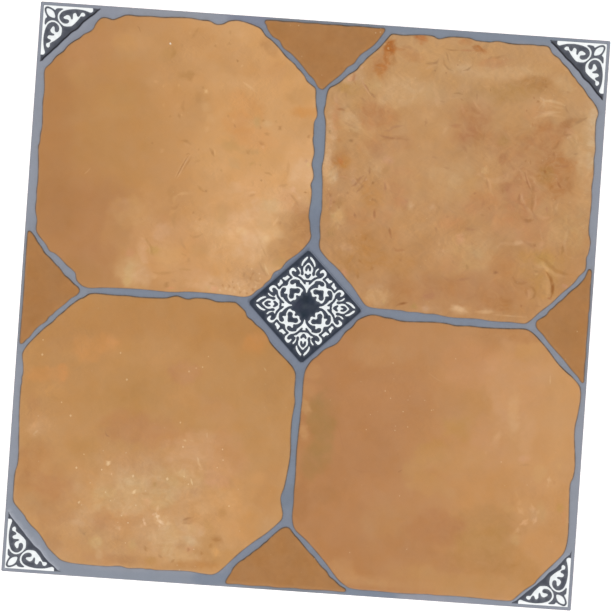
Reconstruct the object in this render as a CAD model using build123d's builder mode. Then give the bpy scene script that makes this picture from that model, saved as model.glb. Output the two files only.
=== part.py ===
from build123d import *
import os

os.makedirs("parts", exist_ok=True)

# A pressed ceramic floor tile. Millimetres, +Z up, origin at the centre of the underside.
# X runs along the front edge, Y from the front edge to the back edge.

# driving dimensions
side = 450.0            # length of each edge
thickness = 9.5         # underside to the top of the raised fields
joint_depth = 0.7       # how far the imitation joints lie below the fields
arris_radius = 0.8      # rounded top edge of the tile
foot_chamfer = 0.7      # bevel round the underside
upright_radius = 1.0    # rounding of the four upright corners
inset_side = 64.3       # central square inset, standing on its corner
inset_centre = (-0.3, -0.5)
inset_corner_radius = 2.6
corner_margin = 2.8     # corner insets, from the tile's edges
corner_leg = 44.4       # length of a corner inset's legs
key_pockets = 10        # shallow pockets along each side of the underside
key_rib = 5.0           # ribs between the pockets
key_rim = 9.0           # plain rim round the pockets
key_depth = 0.5
key_corner_radius = 4.0

joint_level = thickness - joint_depth
pocket_side = (side - 2 * key_rim - (key_pockets - 1) * key_rib) / key_pockets
pocket_pitch = pocket_side + key_rib

# uneven outlines of the raised fields, like tiles cut by hand
octagon_back_left = [
    (-174.8, 2.9), (-170.9, 2.4), (-140.5, 4), (-107.9, 3.5), (-85.2, 4.9), (-51.8, 3.8),
    (-46.7, 4.3), (-43.3, 5.7), (-35.2, 12.6), (-33.2, 15.4), (-29.3, 19.4), (-26.8, 24.6),
    (-21.1, 28.5), (-17.3, 34), (-9.1, 40.9), (-5.6, 44.5), (-1.1, 50.8), (0, 53.6),
    (0.2, 55.7), (-2.5, 70.5), (-2.5, 75.9), (-1.7, 84), (-1.8, 91.1), (-2.6, 95.7),
    (-1, 102.2), (-3.1, 112.3), (-1.9, 121.1), (-3.5, 130.4), (-3.6, 140.7), (-3.3, 145.9),
    (-1.8, 149), (-1.6, 151.1), (-4.1, 170.5), (-4.9, 172), (-11.2, 176.7), (-16.3, 183.6),
    (-21.8, 189.1), (-28.8, 194.7), (-35, 201.1), (-40.8, 206.3), (-46.3, 210.2),
    (-50.6, 215.3), (-54.9, 217.2), (-62.4, 219.6), (-68.8, 220.6), (-76.3, 219.5),
    (-80.3, 217.2), (-84.8, 216.3), (-92.5, 218.9), (-98.4, 218.9), (-106.4, 219.9),
    (-112.7, 219.8), (-128.4, 218.9), (-156.8, 218.7), (-166.9, 214.5), (-172.4, 215.5),
    (-175.5, 215.2), (-177.3, 214.4), (-179.5, 211.9), (-182.5, 205.7), (-189.7, 200.8),
    (-192.9, 197.7), (-195.9, 195.9), (-201.4, 191.1), (-204.3, 187), (-209.9, 182.3),
    (-217.5, 172.6), (-218.3, 169.1), (-217.4, 156.5), (-217.8, 146.2), (-217.2, 126.6),
    (-218, 114.7), (-218.8, 110.5), (-217.4, 83.1), (-217.8, 76.8), (-217.7, 61),
    (-215.9, 52.4), (-215.9, 44.7), (-213.9, 41.2), (-207.5, 34), (-204.7, 29.7),
    (-200.5, 27.7), (-196.8, 25.2), (-183.7, 14), (-182.7, 12.6), (-181.5, 8), (-177.5, 4.1),
]
octagon_back_right = [
    (178.3, 1.9), (183.3, 7.2), (192.1, 15), (200, 23.6), (207.3, 30.6), (210.5, 34.5),
    (212.9, 38.2), (216.7, 42.3), (217.7, 44.3), (217.8, 52.6), (219, 56.7), (220.1, 64.7),
    (218.4, 72.5), (218.1, 78), (218.6, 98.1), (218.2, 109.6), (218.8, 119.2), (218.3, 131.7),
    (218.9, 138.1), (218.1, 148.3), (218, 160.9), (219.1, 167.3), (218.2, 170.6),
    (216.4, 173.7), (213.6, 177.2), (210.4, 180.3), (206.3, 185.8), (201.2, 191),
    (193.3, 200.6), (185.3, 208.4), (181, 211), (177.3, 216.1), (175.3, 217.3), (164.5, 217.6),
    (147.2, 217.3), (136.6, 218.4), (130.6, 217.5), (126.7, 217.5), (118.6, 218.1),
    (114.4, 219.2), (108.9, 219.6), (98.1, 219.2), (90.3, 217.3), (88.5, 217.5), (85.3, 218.9),
    (76.8, 219.4), (61.1, 218.1), (54.7, 218.5), (52.6, 218.1), (43.9, 207.3), (34.4, 197.9),
    (26.7, 188.3), (20.7, 183.9), (14.8, 178), (7.1, 172.9), (5.6, 169.8), (3.6, 153.8),
    (5.3, 146.4), (5.9, 137.8), (6.2, 122.1), (5, 110.5), (6.3, 97.9), (6.8, 86.1),
    (7.1, 76.7), (6.5, 70.3), (7.5, 54.6), (7.2, 49.9), (7.5, 47), (8.4, 44.8), (15.6, 36.9),
    (25.4, 28.7), (34.3, 19.4), (45.6, 5.2), (47.3, 3.7), (49.4, 2.8), (54.8, 2.1),
    (75.8, 1.7), (79.5, 1.1), (101.5, 0.7), (113.5, -0.8), (137.1, -0.7), (145.2, -1.6),
    (151.5, -1.7), (172, -1.9), (174.3, -1.3),
]
octagon_front_left = [
    (-177, -213.5), (-172, -214.5), (-163.7, -215.1), (-143.1, -215.4), (-131.4, -214.6),
    (-125.7, -215.7), (-114.1, -215.2), (-104.4, -215.6), (-76.3, -214.9), (-67.1, -215.9),
    (-58.9, -216.1), (-55.5, -214.7), (-52.4, -212.2), (-38.2, -197.3), (-28.1, -188.3),
    (-19.3, -181.3), (-9.7, -171.9), (-7.6, -169.2), (-7, -167.5), (-6.8, -164.3),
    (-9.2, -151.8), (-7.1, -143.8), (-6.1, -137.4), (-4.2, -118.3), (-4.8, -101.8),
    (-4.7, -89.1), (-3.2, -75.6), (-4.5, -54.1), (-6.8, -49.2), (-25.3, -31.3), (-31.1, -22.8),
    (-38.2, -17.3), (-41.4, -14.2), (-44.8, -12.2), (-47.8, -7.1), (-54.7, -1.5), (-59.4, -1),
    (-70.3, -1.5), (-75.6, -0.1), (-79.2, 0.3), (-87.9, 0.1), (-94.1, -1.1), (-101.4, 0.7),
    (-104.4, 0.4), (-109.9, -1.3), (-120.1, -2), (-166.2, -1.7), (-169.3, -2), (-171.1, -2.7),
    (-178, -7), (-185.9, -13.5), (-194.7, -22.1), (-197.8, -26), (-203.7, -31.3),
    (-213.1, -41.5), (-217.2, -46.8), (-219.1, -50.3), (-220, -53.1), (-218.6, -67.7),
    (-219.4, -78.9), (-219.4, -97.1), (-217.7, -138.7), (-219.3, -146.8), (-219.6, -160.5),
    (-219.1, -168.6), (-218.1, -170.8), (-216.4, -173), (-209.4, -180.3), (-207.9, -182.8),
    (-204.1, -187), (-198.4, -192.2), (-189.7, -203.5), (-179.2, -212.5),
]
octagon_front_right = [
    (195, -205.2), (200.8, -197.7), (214.1, -182.7), (216, -180), (217.4, -176),
    (218.6, -165.9), (217.4, -126.5), (219.7, -118.2), (220.2, -110.5), (218, -85),
    (218.3, -78.5), (220.9, -57.4), (220.4, -51.7), (219.3, -47.9), (212.4, -40.6),
    (201.2, -31.3), (193.2, -21.9), (185, -13.6), (179.6, -8.7), (174.9, -6.4), (170.7, -6.1),
    (140.2, -7.1), (130.4, -6.8), (118.1, -7.1), (105.1, -5.7), (76, -6.5), (53.6, -3.3),
    (50, -3.9), (43.5, -7.1), (40.8, -9.1), (36.9, -14.6), (32.7, -18.3), (26.3, -27.6),
    (16.9, -33.4), (7.7, -42.4), (4.1, -48.1), (3.2, -50.2), (2.1, -56.7), (0.7, -114),
    (1.1, -136.1), (0.8, -164.5), (1.4, -170.3), (2.8, -174.6), (4.9, -177.4), (13.9, -184.8),
    (28.8, -199.9), (40.7, -213.5), (49.1, -219), (57.7, -220), (90.9, -220.5),
    (132.7, -219.7), (173.1, -220.6), (176.8, -220.3), (178.5, -219.6),
]
half_square_back = [
    (-45.2, 215.6), (-40.7, 209.8), (-35.7, 207.1), (-31.7, 201.5), (-25.6, 197.5),
    (-18.6, 191.1), (-10.3, 182), (-6.1, 178.2), (-2.7, 172.9), (-0.9, 171.6), (0.7, 171),
    (2.8, 172.2), (13.7, 182.7), (19.7, 190), (24.4, 193.2), (29.5, 200.6), (35.7, 205.6),
    (39.7, 209.5), (46.1, 218.7), (47, 221.5), (45, 222.5), (-37.9, 222.6), (-45.8, 222.5),
    (-47.7, 221.2),
]
half_square_left = [
    (-220, -44.4), (-215.4, -39.5), (-211.6, -33.9), (-209, -31), (-203.4, -26.3),
    (-201, -22.5), (-185.3, -7.3), (-180.3, -3.6), (-179, 0.7), (-179.9, 2.1), (-191.3, 11.1),
    (-196, 16.8), (-208.4, 27.9), (-217.1, 40), (-219.8, 42.9), (-221.2, 43.7), (-222.5, 41.8),
    (-222.8, 29), (-222.5, -12.7), (-222.9, -42.8), (-221.9, -45.1),
]
half_square_right = [
    (219.8, 43.3), (217.7, 37.8), (212.7, 31), (207, 25.7), (201.1, 19), (191.5, 9.6),
    (189.1, 5.8), (182.7, 1.1), (181.8, -1.9), (182.3, -3.9), (184, -6.2), (187.3, -9.2),
    (193.2, -15.9), (215.6, -38.6), (220.2, -44.3), (221.6, -45.2), (222.6, -43.2),
    (222.4, 9.5), (222.8, 12.8), (222.6, 42.1), (221.3, 44.2),
]
half_square_front = [
    (46, -220), (42.5, -218.1), (33.6, -211.4), (30.6, -207.3), (26.7, -204.1), (20.3, -197),
    (4, -181), (-0.4, -175.9), (-3.1, -174.9), (-5.5, -175.5), (-7.5, -176.7), (-23.4, -192.4),
    (-38.6, -205), (-43.1, -210.7), (-46.9, -218.4), (-47.8, -221.6), (-46.2, -222.5),
    (-37.7, -222.3), (-28.9, -222.8), (-18.7, -222.4), (-9.2, -222.8), (6.5, -222.4),
    (14.9, -222.7), (31.7, -222.3), (42.1, -222.6), (45.2, -222.5), (46.8, -221.7),
]
corner_slope_back_left = [
    (4.3, 46.7), (6.1, 44.3), (15.6, 34.7), (18.5, 31.2), (22.7, 26.9), (25.6, 23.5),
    (30.5, 19.9), (35.2, 14), (39.7, 10), (43.2, 7.2), (46.3, 3.9),
]
corner_slope_back_right = [
    (3.9, 46.4), (4.9, 45.2), (8.2, 42.1), (13, 36.3), (15.1, 34.2), (18.8, 31.5),
    (19.9, 30.5), (23.5, 25.6), (26.9, 22.7), (30.1, 19.5), (34.8, 15.7), (41.1, 9.3),
    (46.8, 4.4),
]
corner_slope_front_left = [
    (3.4, 45.8), (5.1, 43.3), (15.4, 32.3), (18.2, 28.8), (21.4, 25.6), (24.4, 22.2),
    (29.3, 18.6), (30.3, 17.6), (33, 13.9), (37.3, 9.7), (41, 7.1), (44.3, 4),
]
corner_slope_front_right = [
    (3.9, 44.2), (7.3, 41.3), (8.3, 40.2), (10.1, 37.6), (14, 33.1), (19.9, 28.4),
    (22.6, 24.7), (23.6, 23.6), (25.9, 21.6), (29, 18.4), (35.9, 12.5), (43.5, 5.3),
    (44.8, 4.4), (46.3, 3.9),
]

def corner_inset(slope, sx, sy):
    """Outline of a corner inset; slope points are distances from the tile's two edges."""
    end = corner_margin + corner_leg
    points = [(corner_margin, corner_margin), (corner_margin, end)]
    points += slope
    points += [(end, corner_margin)]
    return [(sx * (side / 2 - s), sy * (side / 2 - t)) for s, t in points]

raised_fields = [
    octagon_back_left, octagon_back_right, octagon_front_left, octagon_front_right,
    half_square_back, half_square_left, half_square_right, half_square_front,
    corner_inset(corner_slope_back_left, -1, 1),
    corner_inset(corner_slope_back_right, 1, 1),
    corner_inset(corner_slope_front_left, -1, -1),
    corner_inset(corner_slope_front_right, 1, -1),
]

with BuildPart() as tile:
    # slab up to the level of the joints
    with BuildSketch(Plane.XY):
        Rectangle(side, side)
    extrude(amount=joint_level)
    fillet(tile.edges().filter_by(Axis.Z), radius=upright_radius)
    fillet(tile.faces().sort_by(Axis.Z)[-1].edges(), radius=arris_radius)
    chamfer(tile.faces().sort_by(Axis.Z)[0].edges(), length=foot_chamfer)

    # octagons, half squares and corner insets stand above the joints
    for outline in raised_fields:
        with BuildSketch(Plane.XY.offset(joint_level)):
            with BuildLine():
                Polyline(*outline, close=True)
            make_face()
        extrude(amount=joint_depth)

    # central square inset
    with BuildSketch(Plane.XY.offset(joint_level)):
        with Locations(inset_centre):
            RectangleRounded(inset_side, inset_side, inset_corner_radius, rotation=45)
    extrude(amount=joint_depth)

    # keyed underside
    with BuildSketch(Plane.XY):
        with GridLocations(pocket_pitch, pocket_pitch, key_pockets, key_pockets):
            RectangleRounded(pocket_side, pocket_side, key_corner_radius)
    extrude(amount=key_depth, mode=Mode.SUBTRACT)

tile.part.label = "tile"
export_step(tile.part, "parts/tile.step")
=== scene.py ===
import math

import bpy
import numpy as np
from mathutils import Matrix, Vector, kdtree
from mathutils.geometry import delaunay_2d_cdt


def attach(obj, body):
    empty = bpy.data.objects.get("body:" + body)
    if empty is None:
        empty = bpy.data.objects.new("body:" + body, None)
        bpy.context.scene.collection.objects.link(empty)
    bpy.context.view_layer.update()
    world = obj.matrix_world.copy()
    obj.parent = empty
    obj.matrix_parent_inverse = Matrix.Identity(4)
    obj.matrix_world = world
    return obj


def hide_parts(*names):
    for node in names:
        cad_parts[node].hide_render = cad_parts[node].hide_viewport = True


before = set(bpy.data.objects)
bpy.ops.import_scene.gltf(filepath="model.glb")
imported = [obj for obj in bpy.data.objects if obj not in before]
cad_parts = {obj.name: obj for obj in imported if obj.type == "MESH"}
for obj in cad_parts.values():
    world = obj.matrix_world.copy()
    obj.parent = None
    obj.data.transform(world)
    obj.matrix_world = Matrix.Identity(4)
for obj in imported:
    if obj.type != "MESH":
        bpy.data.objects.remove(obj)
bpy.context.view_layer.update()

# Plan shapes are in millimetres, with the origin at the tile's centre, x to the right and y to the
# back. The mesh is scaled to metres when it is made.
SIDE = 450.0
TOP = 9.5            # raised fields
JOINT = 8.8          # imitation joints and rim
ARRIS = 0.8          # rounded top edge
FOOT = 0.7           # bevel round the underside
UPRIGHT = 1.0        # rounding of the upright corners
MARGIN = 2.8         # corner insets, from the edges
LEG = 44.4           # legs of the corner insets
ENAMEL = 0.10        # the white ornament stands this far above its ground
SLIM = 0.16, 0.17     # what the lines of the ornament lose on each side: centre, corners
POCKETS, RIM, RIB, KEY = 10, 9.0, 5.0, 0.5
GAP_FIELD, GAP_JOINT = 2.4, 2.25  # spacing of the points inside fields and in the joints

# light: an even white surround and four soft lamps (compass bearing in degrees, watts)
WORLD = 0.45
LIGHTS = (("lamp_front", 180, 42), ("lamp_right", 90, 33), ("lamp_back", 0, 26), ("lamp_left", 270, 33))

# ---------------------------------------------------------------- outlines
OCTAGON_BACK_LEFT = [
    (-174.9, 2.9), (-170.9, 2.3), (-160, 3.3), (-140.5, 4), (-129.3, 4.1), (-107.9, 3.5),
    (-101.6, 3.8), (-95.3, 4.6), (-85.1, 4.9), (-59.8, 4.3), (-51.8, 3.7), (-47.2, 4.1),
    (-43.3, 5.6), (-39.5, 9.5), (-35.1, 12.6), (-33.2, 15.4), (-29.3, 19.3), (-26.9, 24.6), (-22.4, 27.3),
    (-21.1, 28.5), (-17.7, 33.6), (-9.1, 40.8), (-5.6, 44.5), (-1, 50.8), (0, 53.6), (0.2, 55.7),
    (-0.7, 59.6), (-1.5, 65.8), (-2.5, 69.7), (-2.5, 75.9), (-1.7, 84), (-1.8, 91.1), (-2.7, 95.7),
    (-1, 101.5), (-1.8, 106.9), (-3.1, 111.5), (-1.8, 121.1), (-3.3, 128.9), (-3.6, 132),
    (-3.3, 134.6), (-3.6, 140.7), (-3.4, 145.3), (-1.8, 148.9), (-1.5, 151.1), (-3.4, 161.5), (-4.1, 170.6),
    (-4.9, 172), (-11.2, 176.7), (-13.7, 180.6), (-16.7, 184), (-20, 186.9), (-21.8, 189.1),
    (-28.8, 194.6), (-35, 201.1), (-41.2, 206.7), (-46.3, 210.2), (-50.6, 215.4), (-54.9, 217.3),
    (-61.8, 219.4), (-68.8, 220.6), (-72.3, 220.4), (-76.3, 219.5), (-80.2, 217.2), (-84.8, 216.3),
    (-87.5, 217), (-90.1, 218.3), (-92.6, 218.9), (-98.4, 218.9), (-106.4, 219.9), (-119, 219.6),
    (-128.4, 218.9), (-137.9, 219.1), (-147.4, 218.6), (-156.8, 218.7), (-166.3, 214.6),
    (-168, 214.5), (-172.4, 215.5), (-175.6, 215.3), (-177.3, 214.4), (-179.5, 211.9),
    (-180.9, 209.4), (-181.6, 207.2), (-182.5, 205.7), (-185.2, 203.5), (-189.3, 201.2),
    (-192.9, 197.7), (-195.9, 195.9), (-201.4, 191.2), (-204.3, 187), (-209.9, 182.3),
    (-213.3, 177.2), (-217.5, 172.7), (-218.1, 170.9), (-218.3, 169.1), (-217.3, 155.7), (-217.8, 146.2),
    (-217.1, 126.6), (-217.9, 120.6), (-218.1, 114), (-218.8, 111.2), (-217.8, 96.1),
    (-217.4, 83.1), (-217.8, 76.8), (-217.5, 69.8), (-217.7, 61), (-215.9, 52.4), (-216.2, 47.7),
    (-215.9, 44.6), (-213.9, 41.1), (-207.5, 34), (-204.7, 29.6), (-203.4, 28.7), (-201, 28),
    (-196.8, 25.2), (-189.8, 18.8), (-186.1, 16.2), (-183.2, 13.6), (-182.7, 12.7), (-181.5, 7.9),
    (-177.5, 4.1),
]
OCTAGON_BACK_RIGHT = [
    (178.3, 1.9), (183.7, 7.6), (192.6, 15.4), (199.6, 23.2), (207.3, 30.6), (210.5, 34.4),
    (212.9, 38.3), (216.7, 42.3), (217.7, 44.3), (218, 48), (217.8, 53.3), (218.9, 56),
    (220.1, 64.7), (219.7, 67.9), (218.4, 72.5), (218.1, 78), (218.7, 98.1), (218.1, 109.6),
    (218.9, 119.1), (218.3, 131.7), (218.9, 138.1), (218.1, 148.3), (217.9, 160.9), (219.2, 167.3),
    (218.2, 170.7), (216.4, 173.7), (213.6, 177.2), (210.4, 180.3), (206.3, 185.9), (201.2, 191),
    (199.2, 193.8), (196.8, 196), (193.3, 200.6), (188.7, 204.6), (185.4, 208.4), (181, 211),
    (179.1, 213.1), (177.4, 216.2), (175.4, 217.3), (173.2, 217.6), (167.9, 217.4), (165.3, 217.7),
    (147.2, 217.3), (136, 218.5), (130.6, 217.5), (126.7, 217.5), (118.7, 218), (114.5, 219.3),
    (108.9, 219.6), (98.1, 219.2), (90.3, 217.2), (88.5, 217.5), (85.4, 218.9), (76.8, 219.4),
    (61.1, 218.1), (54.7, 218.5), (52.6, 218.2), (51.7, 217.5), (43.9, 207.3), (34.4, 197.9),
    (31.7, 194.3), (29.7, 192.4), (26.8, 188.3), (20.7, 183.9), (14.8, 178), (10.6, 175),
    (7, 172.9), (5.7, 170.4), (4.8, 165.9), (4.5, 160.3), (3.6, 153.8), (5.3, 146.4), (5.9, 138.2),
    (6.2, 122.2), (5.8, 115.9), (5, 110.5), (6.3, 97.9), (6.9, 85.4), (7.2, 76.7), (6.5, 70.3),
    (6.6, 63.2), (7.5, 54.6), (7.1, 50.6), (7.5, 47), (8.4, 44.7), (15.6, 36.9), (19.2, 34.2),
    (25.4, 28.7), (30.7, 22.9), (34.7, 19), (45.5, 5.2), (47.2, 3.7), (49.4, 2.8), (54.8, 2.1),
    (75.7, 1.7), (79.4, 1.1), (88.6, 1.1), (94.4, 0.5), (101.5, 0.7), (113.5, -0.9), (137.1, -0.7),
    (145.1, -1.6), (151.5, -1.7), (161.7, -1.5), (172, -1.9), (174.3, -1.3),
]
OCTAGON_FRONT_LEFT = [
    (-177, -213.5), (-171.5, -214.6), (-163.7, -215.1), (-143.1, -215.4), (-131.4, -214.6),
    (-125.7, -215.7), (-114, -215.1), (-111.5, -215.4), (-107.6, -215.2), (-104.4, -215.6),
    (-88.9, -215), (-76.3, -214.9), (-67.1, -215.9), (-58.8, -216.1), (-55, -214.4), (-52, -211.8),
    (-38.6, -197.6), (-28.6, -188.6), (-19.3, -181.3), (-9.3, -171.5), (-7.3, -168.8),
    (-6.9, -166.8), (-6.8, -164.3), (-9.3, -151.8), (-7.1, -143.8), (-6.1, -137.4), (-4.1, -118.3),
    (-4.8, -101.8), (-4.7, -89.1), (-3.3, -76), (-4.1, -70), (-4.3, -65), (-4.5, -54.1),
    (-6.5, -49.6), (-9.1, -46.6),
    (-25.7, -30.9), (-28.4, -26.4), (-31.1, -22.8), (-33.6, -20.5), (-38.2, -17.3), (-41.4, -14.2),
    (-44.8, -12.2), (-45.9, -10.9), (-47.1, -8), (-47.8, -7.1), (-54.7, -1.5), (-55.7, -1.1),
    (-59.4, -1), (-70.4, -1.5), (-75.1, -0.2), (-78.4, 0.3), (-87.9, 0.1), (-93.3, -1.1),
    (-101.4, 0.8), (-104.4, 0.4), (-109.9, -1.3), (-120.1, -2), (-132.7, -2.2), (-141.5, -1.7),
    (-148.6, -2), (-166.8, -1.7), (-169.9, -2.2), (-171.2, -2.7), (-175.3, -5.7), (-178.1, -7),
    (-185.9, -13.4), (-190.1, -17.9), (-194.7, -22.1), (-197.8, -26), (-203.7, -31.2),
    (-213.4, -41.9), (-217.2, -46.8), (-219.1, -50.3), (-220, -53), (-219.8, -56.7),
    (-219.1, -59.9), (-218.5, -68.5), (-219.1, -71.7), (-219, -75.6), (-219.4, -78.1),
    (-219.4, -97), (-218.4, -116.7), (-217.7, -138.7), (-219.3, -146.7), (-219.6, -160.6),
    (-219.3, -168), (-218.5, -170.3), (-216.4, -173), (-209.4, -180.3), (-207.9, -182.8),
    (-204.2, -187), (-198.3, -192.1), (-192, -200.1), (-189.8, -203.5), (-184, -208.8),
    (-179.2, -212.6),
]
OCTAGON_FRONT_RIGHT = [
    (186.9, -211.6), (195, -205.2), (196.5, -202.8), (200.4, -198.1), (214.5, -182.3), (216.3, -179.5),
    (217.6, -175.4), (218.6, -165.9), (217.4, -126.5), (217.8, -124), (219, -121.3),
    (219.7, -118.3), (220.2, -110.5), (218, -85), (218.3, -78.5), (219.3, -72.7), (220.9, -57.5),
    (220.4, -51.2), (219.3, -47.9), (212.4, -40.6), (209.2, -38.3), (201.2, -31.3), (193.2, -21.9),
    (187, -15.4), (179.6, -8.7), (174.9, -6.4), (170.7, -6.1), (158.1, -6.8), (139.7, -7.2),
    (130.4, -6.8), (118.1, -7.2), (114.5, -6.5), (105.1, -5.7), (76, -6.6), (67.7, -5.1),
    (62.7, -4.7), (59.2, -3.9), (53.6, -3.3), (50, -3.9), (43.9, -6.7), (41.1, -8.7),
    (37.3, -14.2), (33, -17.9), (26.4, -27.6), (16.9, -33.3), (11.5, -39), (7.7, -42.4),
    (3.5, -49.7), (2.3, -56.7), (2.2, -70), (2.2, -75), (1.9, -80), (1.7, -85),
    (1.7, -90), (1.4, -95), (1, -105), (0.7, -113.2), (1.1, -136.1), (0.8, -145.6), (1.1, -154.9),
    (0.8, -164.5), (1.4, -170.3), (2.8, -174.6), (4.9, -177.4), (13.5, -184.4), (28.8, -199.9),
    (40.7, -213.5), (46.2, -217.4), (49.1, -219), (57.7, -220), (68.8, -220), (90.9, -220.5),
    (113.6, -219.8), (116.9, -220.1), (132.7, -219.7), (173, -220.6), (176.9, -220.3),
    (178.5, -219.6),
]
HALF_BACK = [
    (-47.5, 219.9), (-46.4, 218.5), (-45.3, 215.6), (-40.7, 209.8), (-35.6, 207.1), (-31.7, 201.5),
    (-25.5, 197.5), (-18.2, 190.8), (-10.3, 182), (-6.5, 178.7), (-2.3, 172.5), (-0.9, 171.5),
    (0.8, 171), (1.5, 171.1), (2.8, 172.2), (5.8, 175.5), (13.7, 182.7), (16.7, 185.9),
    (19.3, 189.6), (24.4, 193.2), (27.4, 198), (29.5, 200.6), (35.7, 205.6), (39.8, 209.5),
    (46.1, 218.7), (46.9, 220.2), (47.1, 221.5), (46.9, 222.1), (45.7, 222.5), (41, 222.3),
    (26, 222.7), (15.8, 222.3), (12.6, 222.6), (-3.2, 222.4), (-5.7, 222.7), (-15.8, 222.4),
    (-24.5, 222.7), (-34, 222.4), (-37.9, 222.7), (-45.8, 222.5), (-47.2, 222.2), (-47.8, 221.2),
]
HALF_LEFT = [
    (-222.5, 42.5), (-222.7, 35.4), (-222.5, -12.8), (-222.9, -42.8), (-222.8, -44.3),
    (-222, -45.3), (-220.4, -44.8), (-217.5, -41.4), (-215.7, -39.9), (-211.7, -33.9),
    (-208.7, -30.6), (-203.4, -26.3), (-201, -22.5), (-198.4, -20.4), (-196.2, -17.7),
    (-188.8, -11), (-185.4, -7.3), (-180.6, -4), (-179.3, -2.3), (-178.6, -0.8), (-178.9, 0.7),
    (-180.3, 2.5), (-183.1, 4.4), (-188.1, 8.9), (-190.9, 10.7), (-196, 16.8), (-198.2, 18.4),
    (-203, 23.2), (-208.1, 27.5), (-211, 31.8), (-213.9, 35.2), (-217.1, 40), (-220.2, 43.3),
    (-221.2, 43.8), (-221.9, 43.8),
]
HALF_RIGHT = [
    (220.5, 44.2), (219.7, 43.3), (217.7, 37.8), (215.9, 34.9), (212.4, 30.6), (207, 25.7),
    (201.1, 19), (198.1, 16.4), (194.5, 12.2), (191.5, 9.6), (189.5, 6.2), (182.6, 1.1),
    (181.9, -0.4), (181.8, -1.9), (182.3, -4), (184, -6.2), (187.3, -9.1), (193.2, -15.9),
    (205.5, -28.1), (213, -36.4), (217.9, -41.1), (219.8, -43.9), (221.6, -45.3), (222.5, -44.7),
    (222.6, -43.3), (222.4, -29.1), (222.8, -25.1), (222.4, -15.6), (222.7, 3.3), (222.4, 9.5),
    (222.9, 12.8), (222.5, 28.6), (222.6, 42.1), (222.2, 43.5), (221.3, 44.3),
]
HALF_FRONT = [
    (46.5, -220.3), (42, -217.8), (36.5, -213.2), (33.6, -211.4), (30.6, -207.2), (26.7, -204.1),
    (20.3, -197), (15.7, -192.9), (5.7, -182.4), (4, -181), (-0.4, -175.8), (-1.4, -175.2),
    (-3.1, -174.9), (-4.9, -175.2), (-7.1, -176.3), (-16, -184.8), (-17.7, -187), (-19.9, -188.8),
    (-23.3, -192.4), (-28.2, -196.3), (-30.9, -199.1), (-32.5, -200), (-34.5, -202), (-38.6, -205),
    (-43.1, -210.7), (-44.1, -213.5), (-46.7, -217.9), (-47.9, -221.6), (-47.4, -222.2),
    (-46.3, -222.6), (-37.6, -222.3), (-28.9, -222.8), (-18.7, -222.4), (-12.4, -222.4),
    (-9.2, -222.8), (6.6, -222.3), (14.9, -222.7), (32.4, -222.3), (42.9, -222.6), (46, -222.4),
    (46.9, -221.8),
]
SLOPE_BACK_LEFT = [
    (4.3, 46.7), (6.1, 44.3), (10.4, 40.1), (13.4, 36.8), (15.6, 34.7), (18.5, 31.2), (20.5, 29),
    (22.7, 26.9), (25.6, 23.5), (26.8, 22.5), (29.3, 20.9), (30.5, 19.9), (31.5, 18.8),
    (34.2, 15.1), (35.2, 14), (39.7, 10), (42.1, 8.2), (43.2, 7.2), (45.2, 4.9), (46.3, 3.9),
]
SLOPE_BACK_RIGHT = [
    (3.9, 46.4), (4.9, 45.2), (8.2, 42.1), (13, 36.3), (15.1, 34.2), (18.8, 31.5), (19.9, 30.5),
    (22.5, 26.8), (23.5, 25.6), (24.7, 24.7), (26.9, 22.7), (30.1, 19.5), (33.7, 16.7),
    (34.8, 15.7), (36.8, 13.5), (40.1, 10.4), (41.1, 9.3), (45.6, 5.3), (46.8, 4.4),
]
SLOPE_FRONT_LEFT = [
    (3.4, 45.8), (5.1, 43.3), (15.4, 32.3), (18.2, 28.8), (21.4, 25.6), (24.4, 22.2), (25.5, 21.3),
    (28.1, 19.6), (29.3, 18.6), (30.3, 17.6), (33, 13.9), (35.1, 11.7), (37.3, 9.7), (39.7, 7.9),
    (41, 7.1), (44.3, 4),
]
SLOPE_FRONT_RIGHT = [
    (3.9, 44.2), (7.3, 41.3), (8.3, 40.2), (10.1, 37.6), (14, 33.1), (15.1, 32.1), (18.8, 29.4),
    (19.9, 28.4), (22.6, 24.7), (23.6, 23.6), (25.9, 21.6), (29, 18.4), (35.9, 12.5), (38, 10.4),
    (43.5, 5.3), (44.8, 4.4), (46.3, 3.9),
]
# centre ornament, one eighth: outer edge of the scroll network, from the corner axis to the side axis
NETWORK_OUTER = [
    (0, 18.99), (0.8, 19.14), (1.16, 19), (1.26, 18.68), (1.15, 17.84), (1.2, 17.43),
    (1.48, 17.13), (1.88, 17.15), (2.4, 17.55), (4.52, 19.95), (5.51, 20.8), (6.44, 21.48),
    (7.06, 21.84), (7.92, 22.19), (10.04, 22.71), (10.64, 23.03), (11.28, 23.5), (12.11, 24.4),
    (12.66, 25.32), (12.78, 25.92), (12.6, 26.52), (12.16, 26.97), (11.56, 27.12), (11.04, 27),
    (10.08, 26.51), (9.6, 26.46), (9.4, 26.52), (9.24, 26.68), (9.18, 27.12), (9.34, 27.56),
    (9.91, 28.48), (10.56, 29.18), (10.96, 29.43), (11.44, 29.61), (11.96, 29.69), (12.44, 29.66),
    (12.86, 29.48), (13.3, 29.12), (14.32, 27.84), (14.71, 27), (14.81, 26.04), (14.63, 25.12),
    (14.36, 24.51), (13.24, 23.39), (12.17, 22.48), (11.91, 22.04), (11.9, 21.64), (12.03, 21.36),
    (12.24, 21.13), (13.8, 19.96), (14.48, 19.08), (14.87, 18.12), (15.14, 16.28), (15.31, 15.88),
    (15.55, 15.55),
]
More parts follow.
